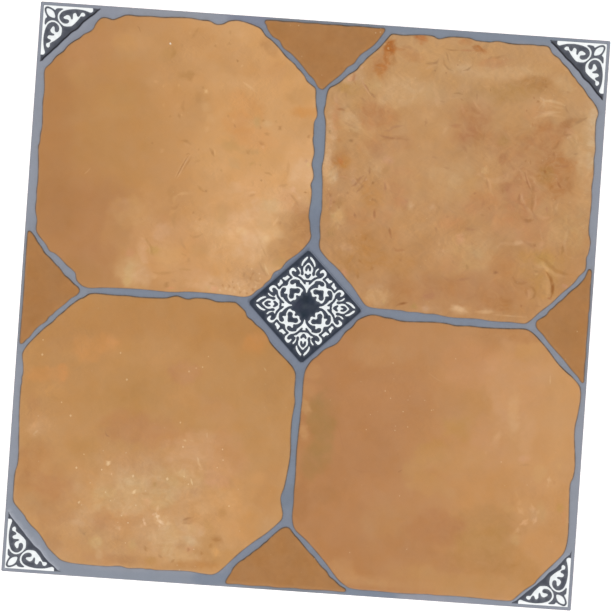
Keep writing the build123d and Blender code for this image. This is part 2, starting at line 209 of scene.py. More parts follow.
# inner edge of the scroll network round the plain middle, and the heart's outside
NETWORK_INNER = [
    (0, 10.42), (0.24, 10.53), (0.43, 10.84), (0.89, 12.72), (1.37, 13.72), (2.47, 15.24),
    (3.6, 16.48), (5.63, 18.2), (5.83, 18.6), (6.02, 19.48), (6.34, 19.92), (6.72, 20.15),
    (7.2, 20.29), (9.44, 20.58), (10.16, 20.52), (11.52, 20.13), (12.16, 19.89), (12.6, 19.61),
    (13.07, 19.12), (13.36, 18.64), (13.5, 18.08), (13.48, 17.56), (13.29, 17.08), (12.96, 16.68),
    (12.67, 16.48), (12.32, 16.37), (11.56, 16.42), (10.6, 16.85), (9.7, 17.68), (9.44, 17.76),
    (9.2, 17.72), (8.96, 17.52), (8.8, 17.16), (8.74, 16.72), (8.76, 15.64), (8.66, 15.32),
    (8.47, 15.08), (7.96, 14.88), (7, 14.94), (6.48, 14.88), (4.88, 14.3), (4.08, 13.86),
    (3.52, 13.44), (3.07, 12.92), (2.83, 12.44), (2.79, 12.08), (2.87, 11.72), (3.97, 10.24),
    (4.16, 9.72), (4.33, 8.64), (4.48, 8.32), (4.68, 8.09), (5.08, 7.85), (5.6, 7.74),
    (6.12, 7.79), (7.32, 8.11), (7.68, 8.08), (7.93, 7.93),
]
# ground inside the heart, half
HEART_HOLE = [
    (9.52, 9.52), (9.2, 9.75), (8.84, 9.88), (7, 9.7), (6.44, 9.82), (6.02, 10.08), (5.44, 10.84),
    (5.16, 11.64), (5.19, 12.36), (5.35, 12.68), (5.58, 12.96), (6.37, 13.52), (6.8, 13.68),
    (7.2, 13.73), (7.68, 13.67), (9.04, 13.32), (12.32, 13.35), (12.72, 13.24), (13.03, 13.03),
]
# winged cup and pointed ring, half
CUP_OUTER = [
    (0, 20.46), (1.2, 20.76), (2.36, 20.69), (2.92, 20.82), (3.41, 21.12), (4.64, 22.21),
    (5.48, 22.84), (6.04, 23.11), (7.16, 23.46), (7.55, 23.72), (7.65, 23.96), (7.59, 24.16),
    (6.49, 24.88), (6.18, 25.32), (6.13, 25.68), (6.9, 27.52), (8.27, 29.32), (8.43, 29.64),
    (8.48, 29.92), (8.42, 30.16), (8.24, 30.34), (8, 30.42), (7.68, 30.39), (7.12, 30.07),
    (6.41, 29.32), (5.92, 28.52), (5.63, 27.6), (5.5, 26.6), (5.63, 25.56), (5.46, 25.04),
    (5.17, 24.52), (4.88, 24.25), (4.48, 24.14), (4.08, 24.22), (3.84, 24.41), (3.63, 24.72),
    (3.42, 25.2), (3.34, 25.6), (3.41, 26.2), (3.86, 27.56), (3.99, 28.48), (3.98, 29.68),
    (3.73, 30.68), (3.21, 31.52), (2.11, 32.64), (0.88, 34.08), (0.48, 34.35), (0, 34.44),
]
# ground in the cup, half
CUP_HOLE = [
    (0, 21.68), (0.56, 21.85), (1.05, 22.32), (2.16, 23.96), (2.41, 24.48), (2.51, 24.92),
    (2.46, 25.2), (2.28, 25.44), (2, 25.6), (1.72, 25.63), (1.36, 25.47), (0.56, 24.78),
    (0, 24.61),
]
# ground in the pointed ring, half
RING_HOLE = [
    (0, 29.88), (0.28, 29.77), (0.48, 29.49), (0.73, 28.36), (0.9, 27.96), (1.12, 27.71),
    (1.4, 27.58), (1.8, 27.66), (2.09, 28), (2.24, 28.52), (2.27, 29.4), (2.18, 30.24), (1.8, 31),
    (0.72, 32.31), (0.36, 32.55), (0, 32.62),
]
# outer leaf stroke, whole
LEAF = [
    (4.94, 31.28), (5.24, 31.29), (5.48, 31.56), (5.58, 32), (5.63, 32.8), (5.52, 33.76),
    (5, 35.2), (4.28, 36.36), (3.28, 37.62), (2, 38.84), (1.68, 39.04), (1.36, 39.12),
    (0.97, 39.04), (0.75, 38.76), (0.7, 38.32), (0.87, 37.76), (1.45, 36.76), (2.48, 35.57),
    (3.41, 34.28), (4.13, 32.84), (4.56, 31.66), (4.72, 31.43),
]
# small bow beside the middle of each side, whole
BOW = [
    (16.98, 19.08), (17.32, 19.06), (17.64, 19.16), (19.47, 20.28), (19.71, 20.52), (19.79, 20.84),
    (19.64, 21.2), (19.28, 21.47), (18.8, 21.65), (17.76, 21.87), (17.31, 22.08), (16.97, 22.4),
    (16.6, 23), (16.4, 23.19), (16.16, 23.28), (15.6, 23.21), (14.3, 22.4), (14.11, 22.16),
    (14.07, 21.92), (14.27, 21.52), (15.08, 20.8), (16.36, 19.46), (16.68, 19.21),
]
# corner ornament, half: frame, scroll, lobed leaf and ball, as distances from the tile's edges
FRAME = [
    (2.75, 2.75), (3.02, 2.58), (3.5, 2.47), (5.66, 2.41), (8.94, 2.55), (12.46, 2.57),
    (16.62, 2.47), (22.14, 2.56), (28.78, 2.45), (33.5, 2.56), (40.7, 2.44), (41.26, 2.5),
    (41.58, 2.66), (41.81, 3.02), (41.92, 3.5), (41.96, 4.54), (41.88, 5.02), (41.65, 5.5),
    (41.31, 5.9), (40.94, 6.15), (40.38, 6.32), (39.82, 6.36), (39.26, 6.27), (37.34, 5.63),
    (34.22, 4.86), (31.02, 4.52), (28.22, 4.43), (25.58, 4.66), (22.06, 5.29), (20.22, 5.92),
    (18.94, 6.46), (18.3, 6.78), (17.66, 7.21), (16.77, 8.22), (16.21, 9.18), (15.93, 9.82),
    (15.8, 10.38), (15.76, 11.02), (15.82, 11.74), (15.95, 12.38), (16.17, 12.94), (16.46, 13.43),
    (17.18, 14.4), (17.89, 15.1), (18.38, 15.44), (19.1, 15.79), (19.82, 16.01), (20.38, 16.1),
    (21.74, 16), (22.38, 15.76), (23.1, 15.21), (23.29, 14.86), (23.38, 14.46), (23.38, 14.06),
    (23.29, 13.66), (23.1, 13.36), (22.86, 13.17), (22.14, 12.92), (20.46, 12.73), (19.82, 12.57),
    (19.28, 12.3), (18.97, 11.9), (18.89, 11.34), (19.1, 10.93), (19.82, 10.32), (21.02, 9.57),
    (21.66, 9.33), (22.3, 9.27), (22.86, 9.39), (23.5, 9.74), (24.03, 10.14), (24.41, 10.62),
    (25.18, 12.35), (25.42, 12.54), (25.66, 12.58), (25.98, 12.38), (26.15, 11.9), (26.21, 10.7),
    (26.14, 9.02), (26.22, 8.48), (26.59, 7.9), (27.26, 7.41), (27.66, 7.3), (28.06, 7.31),
    (28.38, 7.42), (28.7, 7.65), (29.1, 8.22), (29.69, 9.66), (29.98, 9.98), (30.3, 10.11),
    (30.78, 10.01), (31.25, 9.58), (31.79, 8.78), (32.43, 7.18), (32.7, 6.9), (33.02, 6.74),
    (33.9, 6.61), (34.78, 6.8), (35.42, 7.26), (35.97, 8.06), (36.07, 8.46), (35.99, 8.86),
    (35.74, 9.19), (35.26, 9.56), (34.46, 9.81), (32.94, 9.81), (32.62, 9.92), (32.38, 10.1),
    (30.5, 12.94), (29.58, 14.14), (28.22, 15.73), (26.3, 17.63), (25.74, 17.97), (25.18, 18.16),
    (22.54, 18.5), (21.18, 18.49), (20.14, 18.39), (19.5, 18.21), (18.86, 17.86), (17.73, 17.02),
    (16.51, 15.98), (15.18, 14.18), (14.66, 13.1), (14.31, 11.82), (14.19, 10.94), (14.2, 9.82),
    (14.39, 9.02), (15.01, 7.74), (15.82, 6.78), (16.7, 5.97), (17.9, 5.18), (18.01, 4.94),
    (17.85, 4.7), (17.42, 4.54), (16.86, 4.5), (14.62, 4.61), (13.82, 4.72), (13.17, 5.02),
    (12.86, 5.34), (12.38, 6.03), (12.22, 6.13), (11.98, 6.18), (11.58, 6.05), (9.34, 4.76),
    (7.02, 3.93), (6.14, 3.78), (5.5, 3.79), (4.93, 3.98), (4.38, 4.38),
]
# almond in the corner, half
ALMOND = [
    (5.3, 5.3), (5.66, 5.07), (6.06, 4.99), (7.58, 5.25), (9.02, 5.8), (10.06, 6.46),
    (10.54, 6.86), (11.11, 7.5), (11.5, 8.06), (12.2, 9.82), (12.36, 10.54), (12.46, 11.5),
    (12.41, 11.9), (12.22, 12.22),
]


# ---------------------------------------------------------------- curves in plan
def arr(points):
    return np.array(points, float)


def area(loop):
    x, y = loop[:, 0], loop[:, 1]
    return 0.5 * float(np.sum(x * np.roll(y, -1) - np.roll(x, -1) * y))


def ccw(loop):
    return loop if area(loop) > 0 else loop[::-1].copy()


def even(loop, step):
    """The same closed line, with points about every step mm."""
    shut = np.vstack([loop, loop[:1]])
    run = np.r_[0, np.cumsum(np.hypot(*np.diff(shut, axis=0).T))]
    n = max(int(round(run[-1] / step)), 8)
    at = np.arange(n) * run[-1] / n
    return np.c_[np.interp(at, run, shut[:, 0]), np.interp(at, run, shut[:, 1])]


def spline(loop, step):
    """A smooth closed curve through the points (centripetal Catmull-Rom), sampled every step mm."""
    n = len(loop)
    out = []
    for i in range(n):
        p0, p1, p2, p3 = loop[i - 1], loop[i], loop[(i + 1) % n], loop[(i + 2) % n]
        t1 = max(np.hypot(*(p1 - p0)), 1e-6) ** 0.5
        t2 = t1 + max(np.hypot(*(p2 - p1)), 1e-6) ** 0.5
        t3 = t2 + max(np.hypot(*(p3 - p2)), 1e-6) ** 0.5
        k = max(int(np.hypot(*(p2 - p1)) / (step * 0.4)), 2)
        for t in np.linspace(t1, t2, k, endpoint=False):
            a1 = (t1 - t) / t1 * p0 + t / t1 * p1
            a2 = (t2 - t) / (t2 - t1) * p1 + (t - t1) / (t2 - t1) * p2
            a3 = (t3 - t) / (t3 - t2) * p2 + (t - t2) / (t3 - t2) * p3
            b1 = (t2 - t) / t2 * a1 + t / t2 * a2
            b2 = (t3 - t) / (t3 - t1) * a2 + (t - t1) / (t3 - t1) * a3
            out.append((t2 - t) / (t2 - t1) * b1 + (t - t1) / (t2 - t1) * b2)
    return even(np.array(out), step)


def turn(points, quarter):
    p = arr(points)
    for _ in range(quarter % 4):
        p = np.c_[p[:, 1], -p[:, 0]]
    return p


def mirrored(points):
    """A closed loop from its right half, which starts and ends on the y axis."""
    p = arr(points)
    return np.vstack([p, (p * [-1, 1])[::-1][1:-1]])


def swapped(points):
    """A closed loop from its half below the diagonal."""
    p = arr(points)
    return np.vstack([p, p[:, ::-1][::-1][1:-1]])


def eightfold(points):
    p = arr(points)
    quarter = np.vstack([p, p[:, ::-1][::-1][1:]])
    return np.vstack([turn(quarter, k)[:-1] for k in range(4)])


def inside(loop, pts):
    """Which points are inside a closed loop, by the even-odd rule."""
    hit = np.zeros(len(pts), bool)
    lo, hi = loop.min(0), loop.max(0)
    near = np.where(((pts >= lo) & (pts <= hi)).all(1))[0]
    x, y = pts[near, 0], pts[near, 1]
    odd = np.zeros(len(near), bool)
    ax, ay = loop[:, 0], loop[:, 1]
    bx, by = np.roll(ax, -1), np.roll(ay, -1)
    for i in range(len(loop)):
        if ay[i] == by[i]:
            continue
        spans = (ay[i] > y) != (by[i] > y)
        if spans.any():
            cut = ax[i] + (y[spans] - ay[i]) * (bx[i] - ax[i]) / (by[i] - ay[i])
            sub = np.where(spans)[0][x[spans] < cut]
            odd[sub] ^= True
    hit[near] = odd
    return hit


# ---------------------------------------------------------------- smooth noise
TABLE = np.random.default_rng(11).uniform(-1, 1, (8, 256, 256))


def noise(x, y, scale, seed=0, octaves=1, gain=0.5):
    total, amp, norm = 0.0, 1.0, 0.0
    for o in range(octaves):
        t = TABLE[(seed + 3 * o) % 8]
        u, v = x / scale + 17.3 * seed + 5.1 * o, y / scale - 9.7 * seed + 3.7 * o
        i, j = np.floor(u).astype(int), np.floor(v).astype(int)
        f, g = u - i, v - j
        f, g = f * f * f * (f * (6 * f - 15) + 10), g * g * g * (g * (6 * g - 15) + 10)
        a, b = t[i % 256, j % 256], t[(i + 1) % 256, j % 256]
        c, d = t[i % 256, (j + 1) % 256], t[(i + 1) % 256, (j + 1) % 256]
        total = total + amp * ((a * (1 - f) + b * f) * (1 - g) + (c * (1 - f) + d * f) * g)
        norm += amp
        amp *= gain
        scale = scale / 2.03
    return total / norm


def step01(x):
    x = np.clip(x, 0, 1)
    return x * x * (3 - 2 * x)


# ---------------------------------------------------------------- the fields
def corner(slope, sx, sy):
    end = MARGIN + LEG
    p = [(MARGIN, MARGIN), (MARGIN, end)] + slope + [(end, MARGIN)]
    return ccw(arr([(sx * (SIDE / 2 - s), sy * (SIDE / 2 - t)) for s, t in p]))


def inset_square():
    half, r, n = 64.3 / 2, 2.6, 7
    p = []
    for k in range(4):
        c = [(1, 1), (-1, 1), (-1, -1), (1, -1)][k]
        for a in np.linspace(90 * k, 90 * k + 90, n):
            p.append((c[0] * (half - r) + r * math.cos(math.radians(a)),
                      c[1] * (half - r) + r * math.sin(math.radians(a))))
    p = arr(p)
    c, s = math.cos(math.pi / 4), math.sin(math.pi / 4)
    return p @ np.array([[c, s], [-s, c]]) + [-0.3, -0.5]


CORNERS = {  # slope, sign of x, sign of y, shift of the ornament
    "back_left": (SLOPE_BACK_LEFT, -1, 1, (-0.15, 0.10)),
    "back_right": (SLOPE_BACK_RIGHT, 1, 1, (0.10, 0.10)),
    "front_left": (SLOPE_FRONT_LEFT, -1, -1, (-0.15, -0.15)),
    "front_right": (SLOPE_FRONT_RIGHT, 1, -1, (0.10, -0.25)),
}

def normals(loop):
    """Unit normals of a closed anticlockwise loop, pointing inwards."""
    t = np.roll(loop, -1, 0) - np.roll(loop, 1, 0)
    t /= np.maximum(np.hypot(*t.T), 1e-9)[:, None]
    return np.c_[-t[:, 1], t[:, 0]]


FIELDS = []  # name, kind, closed outline (anticlockwise)
for name, pts in (("oct_back_left", OCTAGON_BACK_LEFT), ("oct_back_right", OCTAGON_BACK_RIGHT),
                  ("oct_front_left", OCTAGON_FRONT_LEFT), ("oct_front_right", OCTAGON_FRONT_RIGHT)):
    FIELDS.append((name, "octagon", spline(ccw(arr(pts)), 1.15)))
for name, pts in (("half_back", HALF_BACK), ("half_left", HALF_LEFT),
                  ("half_right", HALF_RIGHT), ("half_front", HALF_FRONT)):
    FIELDS.append((name, "half", spline(ccw(arr(pts)), 1.1)))
for name, (slope, sx, sy, _) in CORNERS.items():
    FIELDS.append((name, "corner", even(corner(slope, sx, sy), 0.9)))
FIELDS.append(("centre", "centre", even(inset_square(), 0.9)))
# keep the sharp corners of the corner insets
for i, (name, kind, loop) in enumerate(FIELDS):
    if kind == "corner":
        slope, sx, sy, _ = CORNERS[name]
        end = MARGIN + LEG
        for s, t in ((MARGIN, MARGIN), (MARGIN, end), (end, MARGIN)):
            c = np.array([sx * (SIDE / 2 - s), sy * (SIDE / 2 - t)])
            loop[np.argmin(np.hypot(*(loop - c).T))] = c

# the white ornament, as closed loops; by the even-odd rule its holes are the ground
WHITE = []
middle = np.array([-0.15, -0.15])
for pts in (NETWORK_OUTER, NETWORK_INNER):
    WHITE.append(("centre", spline(eightfold(pts), 0.42) + middle))
for k in range(4):
    for pts in (CUP_OUTER, CUP_HOLE, RING_HOLE):
        WHITE.append(("centre", spline(turn(mirrored(pts), k), 0.42) + middle))
    hole = swapped([(x, y) for x, y in HEART_HOLE])
    WHITE.append(("centre", spline(turn(hole, k), 0.42) + middle))
    for pts in (LEAF, BOW):
        for side in (1, -1):
            WHITE.append(("centre", spline(turn(arr(pts) * [side, 1], k), 0.42) + middle))
for name, (_, sx, sy, (ds, dt)) in CORNERS.items():
    for pts in (FRAME, ALMOND):
        loop = spline(swapped(pts), 0.42) + [ds, dt]
        held = (loop < MARGIN + 0.35).any(1)  # the frame's outer edge is the inset's edge
        loop = np.where(loop < MARGIN + 0.35, MARGIN, loop)
        keep = ~(held & np.roll(held, 1) & np.roll(held, -1)) | (loop < MARGIN + 0.01).all(1)
        loop = loop[keep]
        loop = np.c_[sx * (SIDE / 2 - loop[:, 0]), sy * (SIDE / 2 - loop[:, 1])]
        WHITE.append((name, loop))


# draw the lines a little slimmer: white shrinks and its holes grow
slim = []
for i, (name, loop) in enumerate(WHITE):
    holes = sum(other == name and j != i and inside(line, loop[:1])[0] for j, (other, line) in enumerate(WHITE))
    flip = (1 if area(loop) > 0 else -1) * (-1 if holes % 2 else 1)
    moved = loop + normals(loop) * flip * SLIM[name != "centre"]
    fixed = np.abs(SIDE / 2 - MARGIN - np.abs(loop)) < 1e-6
    slim.append((name, np.where(fixed, loop, moved)))
WHITE = slim


# ---------------------------------------------------------------- points for the top
class Edge:
    """Distance to a set of closed loops, and what is nearest."""

    def __init__(self, loops):
        self.a = np.vstack(loops)
        self.b = np.vstack([np.roll(p, -1, 0) for p in loops])
        self.n = np.vstack([normals(p) for p in loops])
        self.which = np.repeat(np.arange(len(loops)), [len(p) for p in loops])
        first = np.r_[0, np.cumsum([len(p) for p in loops])]
        self.prev = np.concatenate([np.r_[first[i + 1] - 1, np.arange(first[i], first[i + 1] - 1)]
                                    for i in range(len(loops))])
        self.tree = kdtree.KDTree(len(self.a))
        for i, (x, y) in enumerate(self.a):
            self.tree.insert((x, y, 0), i)
        self.tree.balance()

    def near(self, pts):
        idx = np.array([self.tree.find((x, y, 0))[1] for x, y in pts])
        best = np.full(len(pts), 1e9)
        for k in (idx, self.prev[idx]):
            a, d = self.a[k], self.b[k] - self.a[k]
            t = np.clip(((pts - a) * d).sum(1) / np.maximum((d * d).sum(1), 1e-12), 0, 1)
            best = np.minimum(best, np.hypot(*(pts - a - t[:, None] * d).T))
        return best, idx


outline_edge = Edge([loop for _, _, loop in FIELDS])
white_edge = Edge([loop for _, loop in WHITE])


def perimeter(inset, radius):
    """Rounded square, the same number of points for every inset."""
    half, p = SIDE / 2 - inset, []
    along = np.linspace(-1, 1, 113)[1:-1]
    r = max(radius, 0.05)
    for k in range(4):
        c, s = [(1, 0), (0, 1), (-1, 0), (0, -1)][k]
        for v in along:  # along one side, then round the corner after it
            x, y = half, v * (half - r)
            p.append((c * x - s * y, s * x + c * y))
        for a in np.linspace(0, 90, 5):
            x = half - r + r * math.cos(math.radians(a))
            y = half - r + r * math.sin(math.radians(a))
            p.append((c * x - s * y, s * x + c * y))
    return arr(p)


rim_loop = perimeter(ARRIS, UPRIGHT - ARRIS)
points, loops = [], []  # points of the triangulation, and closed loops of indices


def add(pts):
    start = len(points)
    points.extend(map(tuple, pts))
    return list(range(start, len(points)))


loops.append(add(rim_loop))
for _, _, loop in FIELDS:
    loops.append(add(loop))
for _, loop in WHITE:
    loops.append(add(loop))

free = []
ROWS = {"octagon": (-0.75, -0.35, 0.35, 0.85, 1.6), "half": (-0.75, -0.35, 0.35, 0.85, 1.6),
        "corner": (-0.7, -0.3, 0.3, 0.8, 1.3), "centre": (-0.7, -0.3, 0.35, 0.8, 1.4)}
for _, kind, loop in FIELDS:
    n = normals(loop)
    for d in ROWS[kind]:
        row = loop + n * d
        real, _ = outline_edge.near(row)
        ok = real > abs(d) * 0.9
        if kind in ("corner", "centre"):
            ok &= white_edge.near(row)[0] > 0.2
        free.append(row[ok])
for name, loop in WHITE:  # foot of the raised white, on the ground's side
    for side in (-0.15, 0.15):
        row = loop + normals(loop) * side
        odd = np.zeros(len(row), bool)
        for other, hole in WHITE:
            if other == name:
                odd ^= inside(hole, row)
        clear = (white_edge.near(row)[0] > 0.14) & (outline_edge.near(row)[0] > 0.2)
        free.append(row[clear & ~odd])

# ---------------------------------------------------------------- marks in the glaze
# Marks are scratches, flecks and fine cracks, and some pale and dark strokes that are the painted highlights and
# painted shadows of small plaster ridges: (points, half width, colour, strength, depth). The colours in this file are
# as they look on a screen, 0 to 255.
MARKS = []


def stroke(points, width, colour, strength=0.8, depth=0.0):
    MARKS.append((arr(points), width, np.array(colour, float), strength, depth))


def dot(x, y, r, colour=(246, 232, 210), strength=0.9, depth=0.0):
    MARKS.append((arr([(x, y), (x + 0.05, y)]), r, np.array(colour, float), strength, depth))


# back left
stroke([(-99.2, 112.2), (-102.5, 106.5), (-105.5, 99.5), (-107.9, 93.6)], 0.60, (216, 170, 126), 0.65, 0.05)
stroke([(-100.9, 111.0), (-104.2, 104.4), (-108.6, 94.6)], 0.55, (158, 112, 70), 0.55, 0.08)
stroke([(-102.6, 110.2), (-106.0, 103.4), (-110.2, 93.2)], 0.45, (214, 168, 122), 0.45, 0.04)
dot(-120.9, 198.8, 0.75, (250, 248, 238), 0.95)
stroke([(-176.8, 96.6), (-179.2, 93.4), (-181.2, 91.7)], 0.4, (214, 172, 128), 0.55)
stroke([(-147.8, 210.8), (-146.0, 209.2), (-144.9, 206.2)], 0.4, (150, 106, 68), 0.5)
stroke([(-39.6, 102.4), (-36.0, 102.2), (-33.6, 100.6)], 0.80, (180, 134, 84), 0.60)
stroke([(-89.5, 85.0), (-84.3, 84.2)], 0.38, (158, 112, 68), 0.4)
stroke([(-89.0, 165.6), (-91.4, 161.6)], 0.4, (222, 178, 130), 0.5)
stroke([(-38.6, 45.2), (-36.4, 41.6), (-33.6, 36.4)], 0.70, (182, 138, 94), 0.65)
stroke([(-40.4, 42.0), (-39.2, 38.0), (-38.0, 34.0)], 0.90, (224, 180, 132), 0.50)
stroke([(-39.0, 32.0), (-36.4, 27.0), (-32.8, 21.6)], 0.75, (184, 142, 98), 0.65)
stroke([(-34.8, 30.8), (-33.6, 27.6), (-30.6, 22.4)], 0.85, (224, 186, 136), 0.65)
stroke([(-26.4, 69.0), (-27.8, 65.2), (-31.0, 61.0)], 0.90, (224, 180, 132), 0.55)
dot(-24.8, 63.8, 1.2, (180, 134, 92), 0.65)
dot(-42.6, 9.8, 1.3, (178, 124, 78), 0.65)
dot(-46.2, 13.4, 1.3, (184, 140, 98), 0.55)
dot(-50.4, 21.6, 1.5, (186, 142, 100), 0.50)
dot(-48.4, 28.4, 0.8, (182, 138, 98), 0.55)
stroke([(-41.8, 16.6), (-39.8, 15.4), (-37.4, 15.2)], 0.80, (222, 178, 132), 0.60)
stroke([(-42.0, 18.0), (-39.4, 17.0), (-37.0, 17.0)], 0.60, (184, 140, 98), 0.50)
for px, py, pr, light in ((-66.4, 11.6, 0.9, 0), (-64.0, 9.4, 0.8, 1), (-61.2, 11.4, 0.8, 0), (-60.4, 8.4, 0.9, 1), (-57.4, 10.6, 0.7, 0),
                          (-56.8, 7.4, 0.8, 1), (-53.2, 10.2, 0.8, 1), (-52.4, 7.2, 0.7, 0), (-49.0, 8.6, 0.9, 1), (-47.0, 6.8, 0.7, 0),
                          (-68.4, 7.8, 0.8, 1), (-54.6, 13.8, 0.8, 1), (-58.8, 14.8, 0.7, 0), (-45.0, 18.6, 0.9, 0), (-43.4, 22.4, 0.8, 0),
                          (-38.4, 22.8, 0.7, 1), (-44.6, 26.2, 0.8, 1), (-40.6, 12.4, 0.8, 1), (-37.6, 19.2, 0.7, 1)):
    dot(px, py, pr * 1.25, (230, 190, 145) if light else (172, 124, 80), 0.55)
dot(-63.0, 23.4, 1.4, (190, 142, 96), 0.60)
stroke([(-44.8, 143.6), (-42.4, 143.2)], 1.00, (178, 134, 86), 0.60)
dot(-45.4, 137.6, 1.2, (184, 140, 94), 0.60)
stroke([(-41.6, 133.4), (-39.4, 132.8), (-37.8, 133.2)], 1.20, (180, 134, 86), 0.65)
stroke([(-45.6, 126.4), (-43.0, 125.2), (-41.4, 124.4)], 1.40, (184, 130, 82), 0.60)
dot(-42.2, 122.4, 1.3, (220, 170, 124), 0.55)
dot(-30.0, 138.4, 1.4, (174, 128, 82), 0.70)
dot(-33.6, 143.4, 1.0, (184, 140, 92), 0.50)
dot(-7.2, 133.4, 1.2, (172, 124, 80), 0.60)
dot(-54.0, 117.4, 1.3, (184, 134, 86), 0.55)
stroke([(-52.2, 107.4), (-50.4, 108.8), (-48.8, 109.8)], 1.10, (182, 140, 86), 0.55)
dot(-43.4, 108.0, 1.0, (184, 142, 90), 0.50)
dot(-41.8, 96.2, 1.0, (176, 130, 84), 0.70)
stroke([(-49.2, 96.0), (-48.6, 94.0), (-47.8, 92.0)], 1.00, (188, 144, 98), 0.50)
stroke([(-50.8, 85.6), (-48.4, 86.4), (-45.4, 86.8)], 0.90, (224, 176, 130), 0.60)
stroke([(-50.8, 82.8), (-48.2, 84.2), (-46.0, 85.0)], 0.90, (188, 142, 98), 0.50)
stroke([(-27.4, 92.4), (-24.6, 93.2), (-21.8, 94.2)], 1.20, (184, 140, 98), 0.55)
stroke([(-18.8, 91.6), (-16.4, 90.8), (-14.6, 89.0)], 1.80, (228, 178, 138), 0.65)
stroke([(-18.8, 87.2), (-15.8, 84.6), (-13.2, 81.6), (-11.4, 78.4)], 0.90, (180, 136, 94), 0.48)
stroke([(-12.8, 84.2), (-9.6, 85.0)], 0.90, (224, 180, 134), 0.55)
dot(-15.8, 79.0, 1.4, (222, 178, 130), 0.50)
stroke([(-7.8, 89.2), (-5.4, 89.2)], 0.60, (162, 118, 76), 0.65)
stroke([(-21.8, 113.6), (-21.4, 108.0), (-21.8, 102.0)], 1.10, (194, 146, 98), 0.45)
stroke([(-6.2, 112.6), (-5.8, 109.6)], 1.10, (224, 186, 124), 0.60)
dot(-7.6, 114.2, 1.2, (192, 144, 112), 0.50)
stroke([(-129.8, 45.4), (-127.8, 41.6), (-124.8, 37.8), (-123.6, 32.0)], 0.90, (182, 138, 88), 0.60)
stroke([(-133.4, 44.6), (-130.6, 43.6)], 1.00, (218, 170, 126), 0.55)
stroke([(-127.4, 39.8), (-126.0, 36.6), (-125.8, 32.6)], 0.70, (218, 168, 124), 0.50)
stroke([(-111.8, 70.0), (-108.0, 69.4), (-105.6, 73.0)], 1.10, (182, 132, 84), 0.55)
stroke([(-112.2, 64.4), (-110.0, 66.8), (-107.8, 67.8)], 1.40, (212, 160, 106), 0.50)
stroke([(-107.6, 65.6), (-108.6, 60.0), (-107.4, 54.0)], 1.20, (184, 140, 92), 0.55)
dot(-88.0, 62.4, 1.3, (182, 136, 90), 0.60)
stroke([(-135.6, 60.0), (-133.0, 58.8)], 1.20, (184, 136, 92), 0.50)
stroke([(-94.8, 49.4), (-92.4, 47.8), (-88.4, 48.8), (-85.0, 51.2)], 0.90, (182, 138, 90), 0.60)
stroke([(-92.0, 54.2), (-88.4, 55.0), (-84.6, 54.4)], 1.10, (216, 168, 122), 0.50)
stroke([(-102.2, 47.4), (-100.6, 42.0), (-97.0, 37.4)], 0.90, (186, 142, 98), 0.55)
stroke([(-99.8, 34.0), (-97.4, 33.2)], 1.40, (184, 140, 92), 0.55)
dot(-94.6, 29.8, 1.4, (184, 138, 90), 0.55)
stroke([(-101.6, 22.0), (-96.0, 22.2), (-91.8, 21.8)], 0.70, (186, 140, 88), 0.50)
stroke([(-121.8, 18.4), (-118.0, 17.4), (-111.0, 18.2), (-104.6, 19.8)], 1.00, (182, 136, 86), 0.55)
dot(-110.8, 9.0, 2.0, (172, 126, 78), 0.70)
stroke([(-107.6, 13.4), (-103.4, 12.4)], 1.10, (184, 136, 92), 0.50)
stroke([(-110.4, 6.4), (-107.0, 6.8), (-103.8, 6.8)], 0.70, (216, 150, 108), 0.60)
stroke([(-97.0, 6.8), (-93.4, 7.2)], 0.60, (216, 150, 108), 0.50)
dot(-119.8, 15.0, 1.6, (216, 170, 120), 0.50)
stroke([(-77.2, 12.8), (-72.4, 12.2)], 0.90, (184, 136, 88), 0.50)
stroke([(-98.2, 110.6), (-101.0, 105.4), (-104.4, 99.2)], 0.70, (178, 128, 80), 0.55)
stroke([(-102.4, 112.2), (-101.0, 113.4), (-99.4, 113.0)], 0.60, (170, 122, 76), 0.55)
stroke([(-106.8, 123.2), (-102.6, 123.0), (-99.0, 120.6)], 1.00, (178, 132, 84), 0.65)
stroke([(-104.4, 121.0), (-100.4, 118.8)], 0.90, (210, 162, 112), 0.45)
dot(-92.8, 117.0, 1.0, (180, 134, 86), 0.55)
stroke([(-84.4, 118.8), (-82.2, 116.6), (-80.8, 113.0)], 1.10, (172, 126, 80), 0.70)
stroke([(-80.4, 118.2), (-79.4, 113.4)], 0.70, (220, 172, 120), 0.60)
stroke([(-95.2, 107.0), (-91.0, 108.6)], 0.90, (182, 136, 88), 0.55)
dot(-129.6, 119.6, 1.0, (170, 124, 78), 0.60)
dot(-121.4, 114.0, 1.4, (212, 162, 110), 0.55)
dot(-74.0, 102.0, 1.1, (184, 138, 90), 0.55)
stroke([(-91.6, 88.6), (-88.6, 86.0), (-87.0, 84.6)], 1.00, (174, 128, 80), 0.70)
dot(-84.6, 84.9, 0.9, (176, 130, 84), 0.65)
stroke([(-106.4, 80.6), (-102.0, 82.0), (-97.0, 82.2)], 1.10, (218, 170, 118), 0.65)
stroke([(-106.8, 80.0), (-109.6, 77.6), (-109.4, 74.0)], 1.20, (210, 162, 110), 0.50)
dot(-93.4, 67.4, 0.9, (176, 130, 84), 0.60)
stroke([(-118.8, 196.0), (-117.0, 192.0), (-119.6, 187.4)], 1.60, (182, 136, 84), 0.65)
stroke([(-99.6, 212.6), (-102.0, 207.6), (-104.2, 204.2)], 1.10, (180, 134, 86), 0.65)
dot(-106.0, 208.3, 1.2, (210, 162, 110), 0.55)
dot(-85.4, 199.4, 1.1, (180, 132, 82), 0.60)
dot(-84.4, 201.4, 0.8, (214, 166, 114), 0.55)
stroke([(-74.8, 212.4), (-74.0, 209.0)], 0.90, (180, 134, 86), 0.60)
dot(-74.6, 202.2, 1.2, (182, 136, 90), 0.60)
dot(-67.0, 188.7, 1.0, (170, 124, 78), 0.80)
dot(-63.2, 185.4, 1.0, (222, 178, 126), 0.60)
dot(-111.5, 197.8, 1.3, (184, 138, 90), 0.55)
stroke([(-132.0, 168.4), (-128.4, 168.0)], 1.10, (214, 164, 112), 0.60)
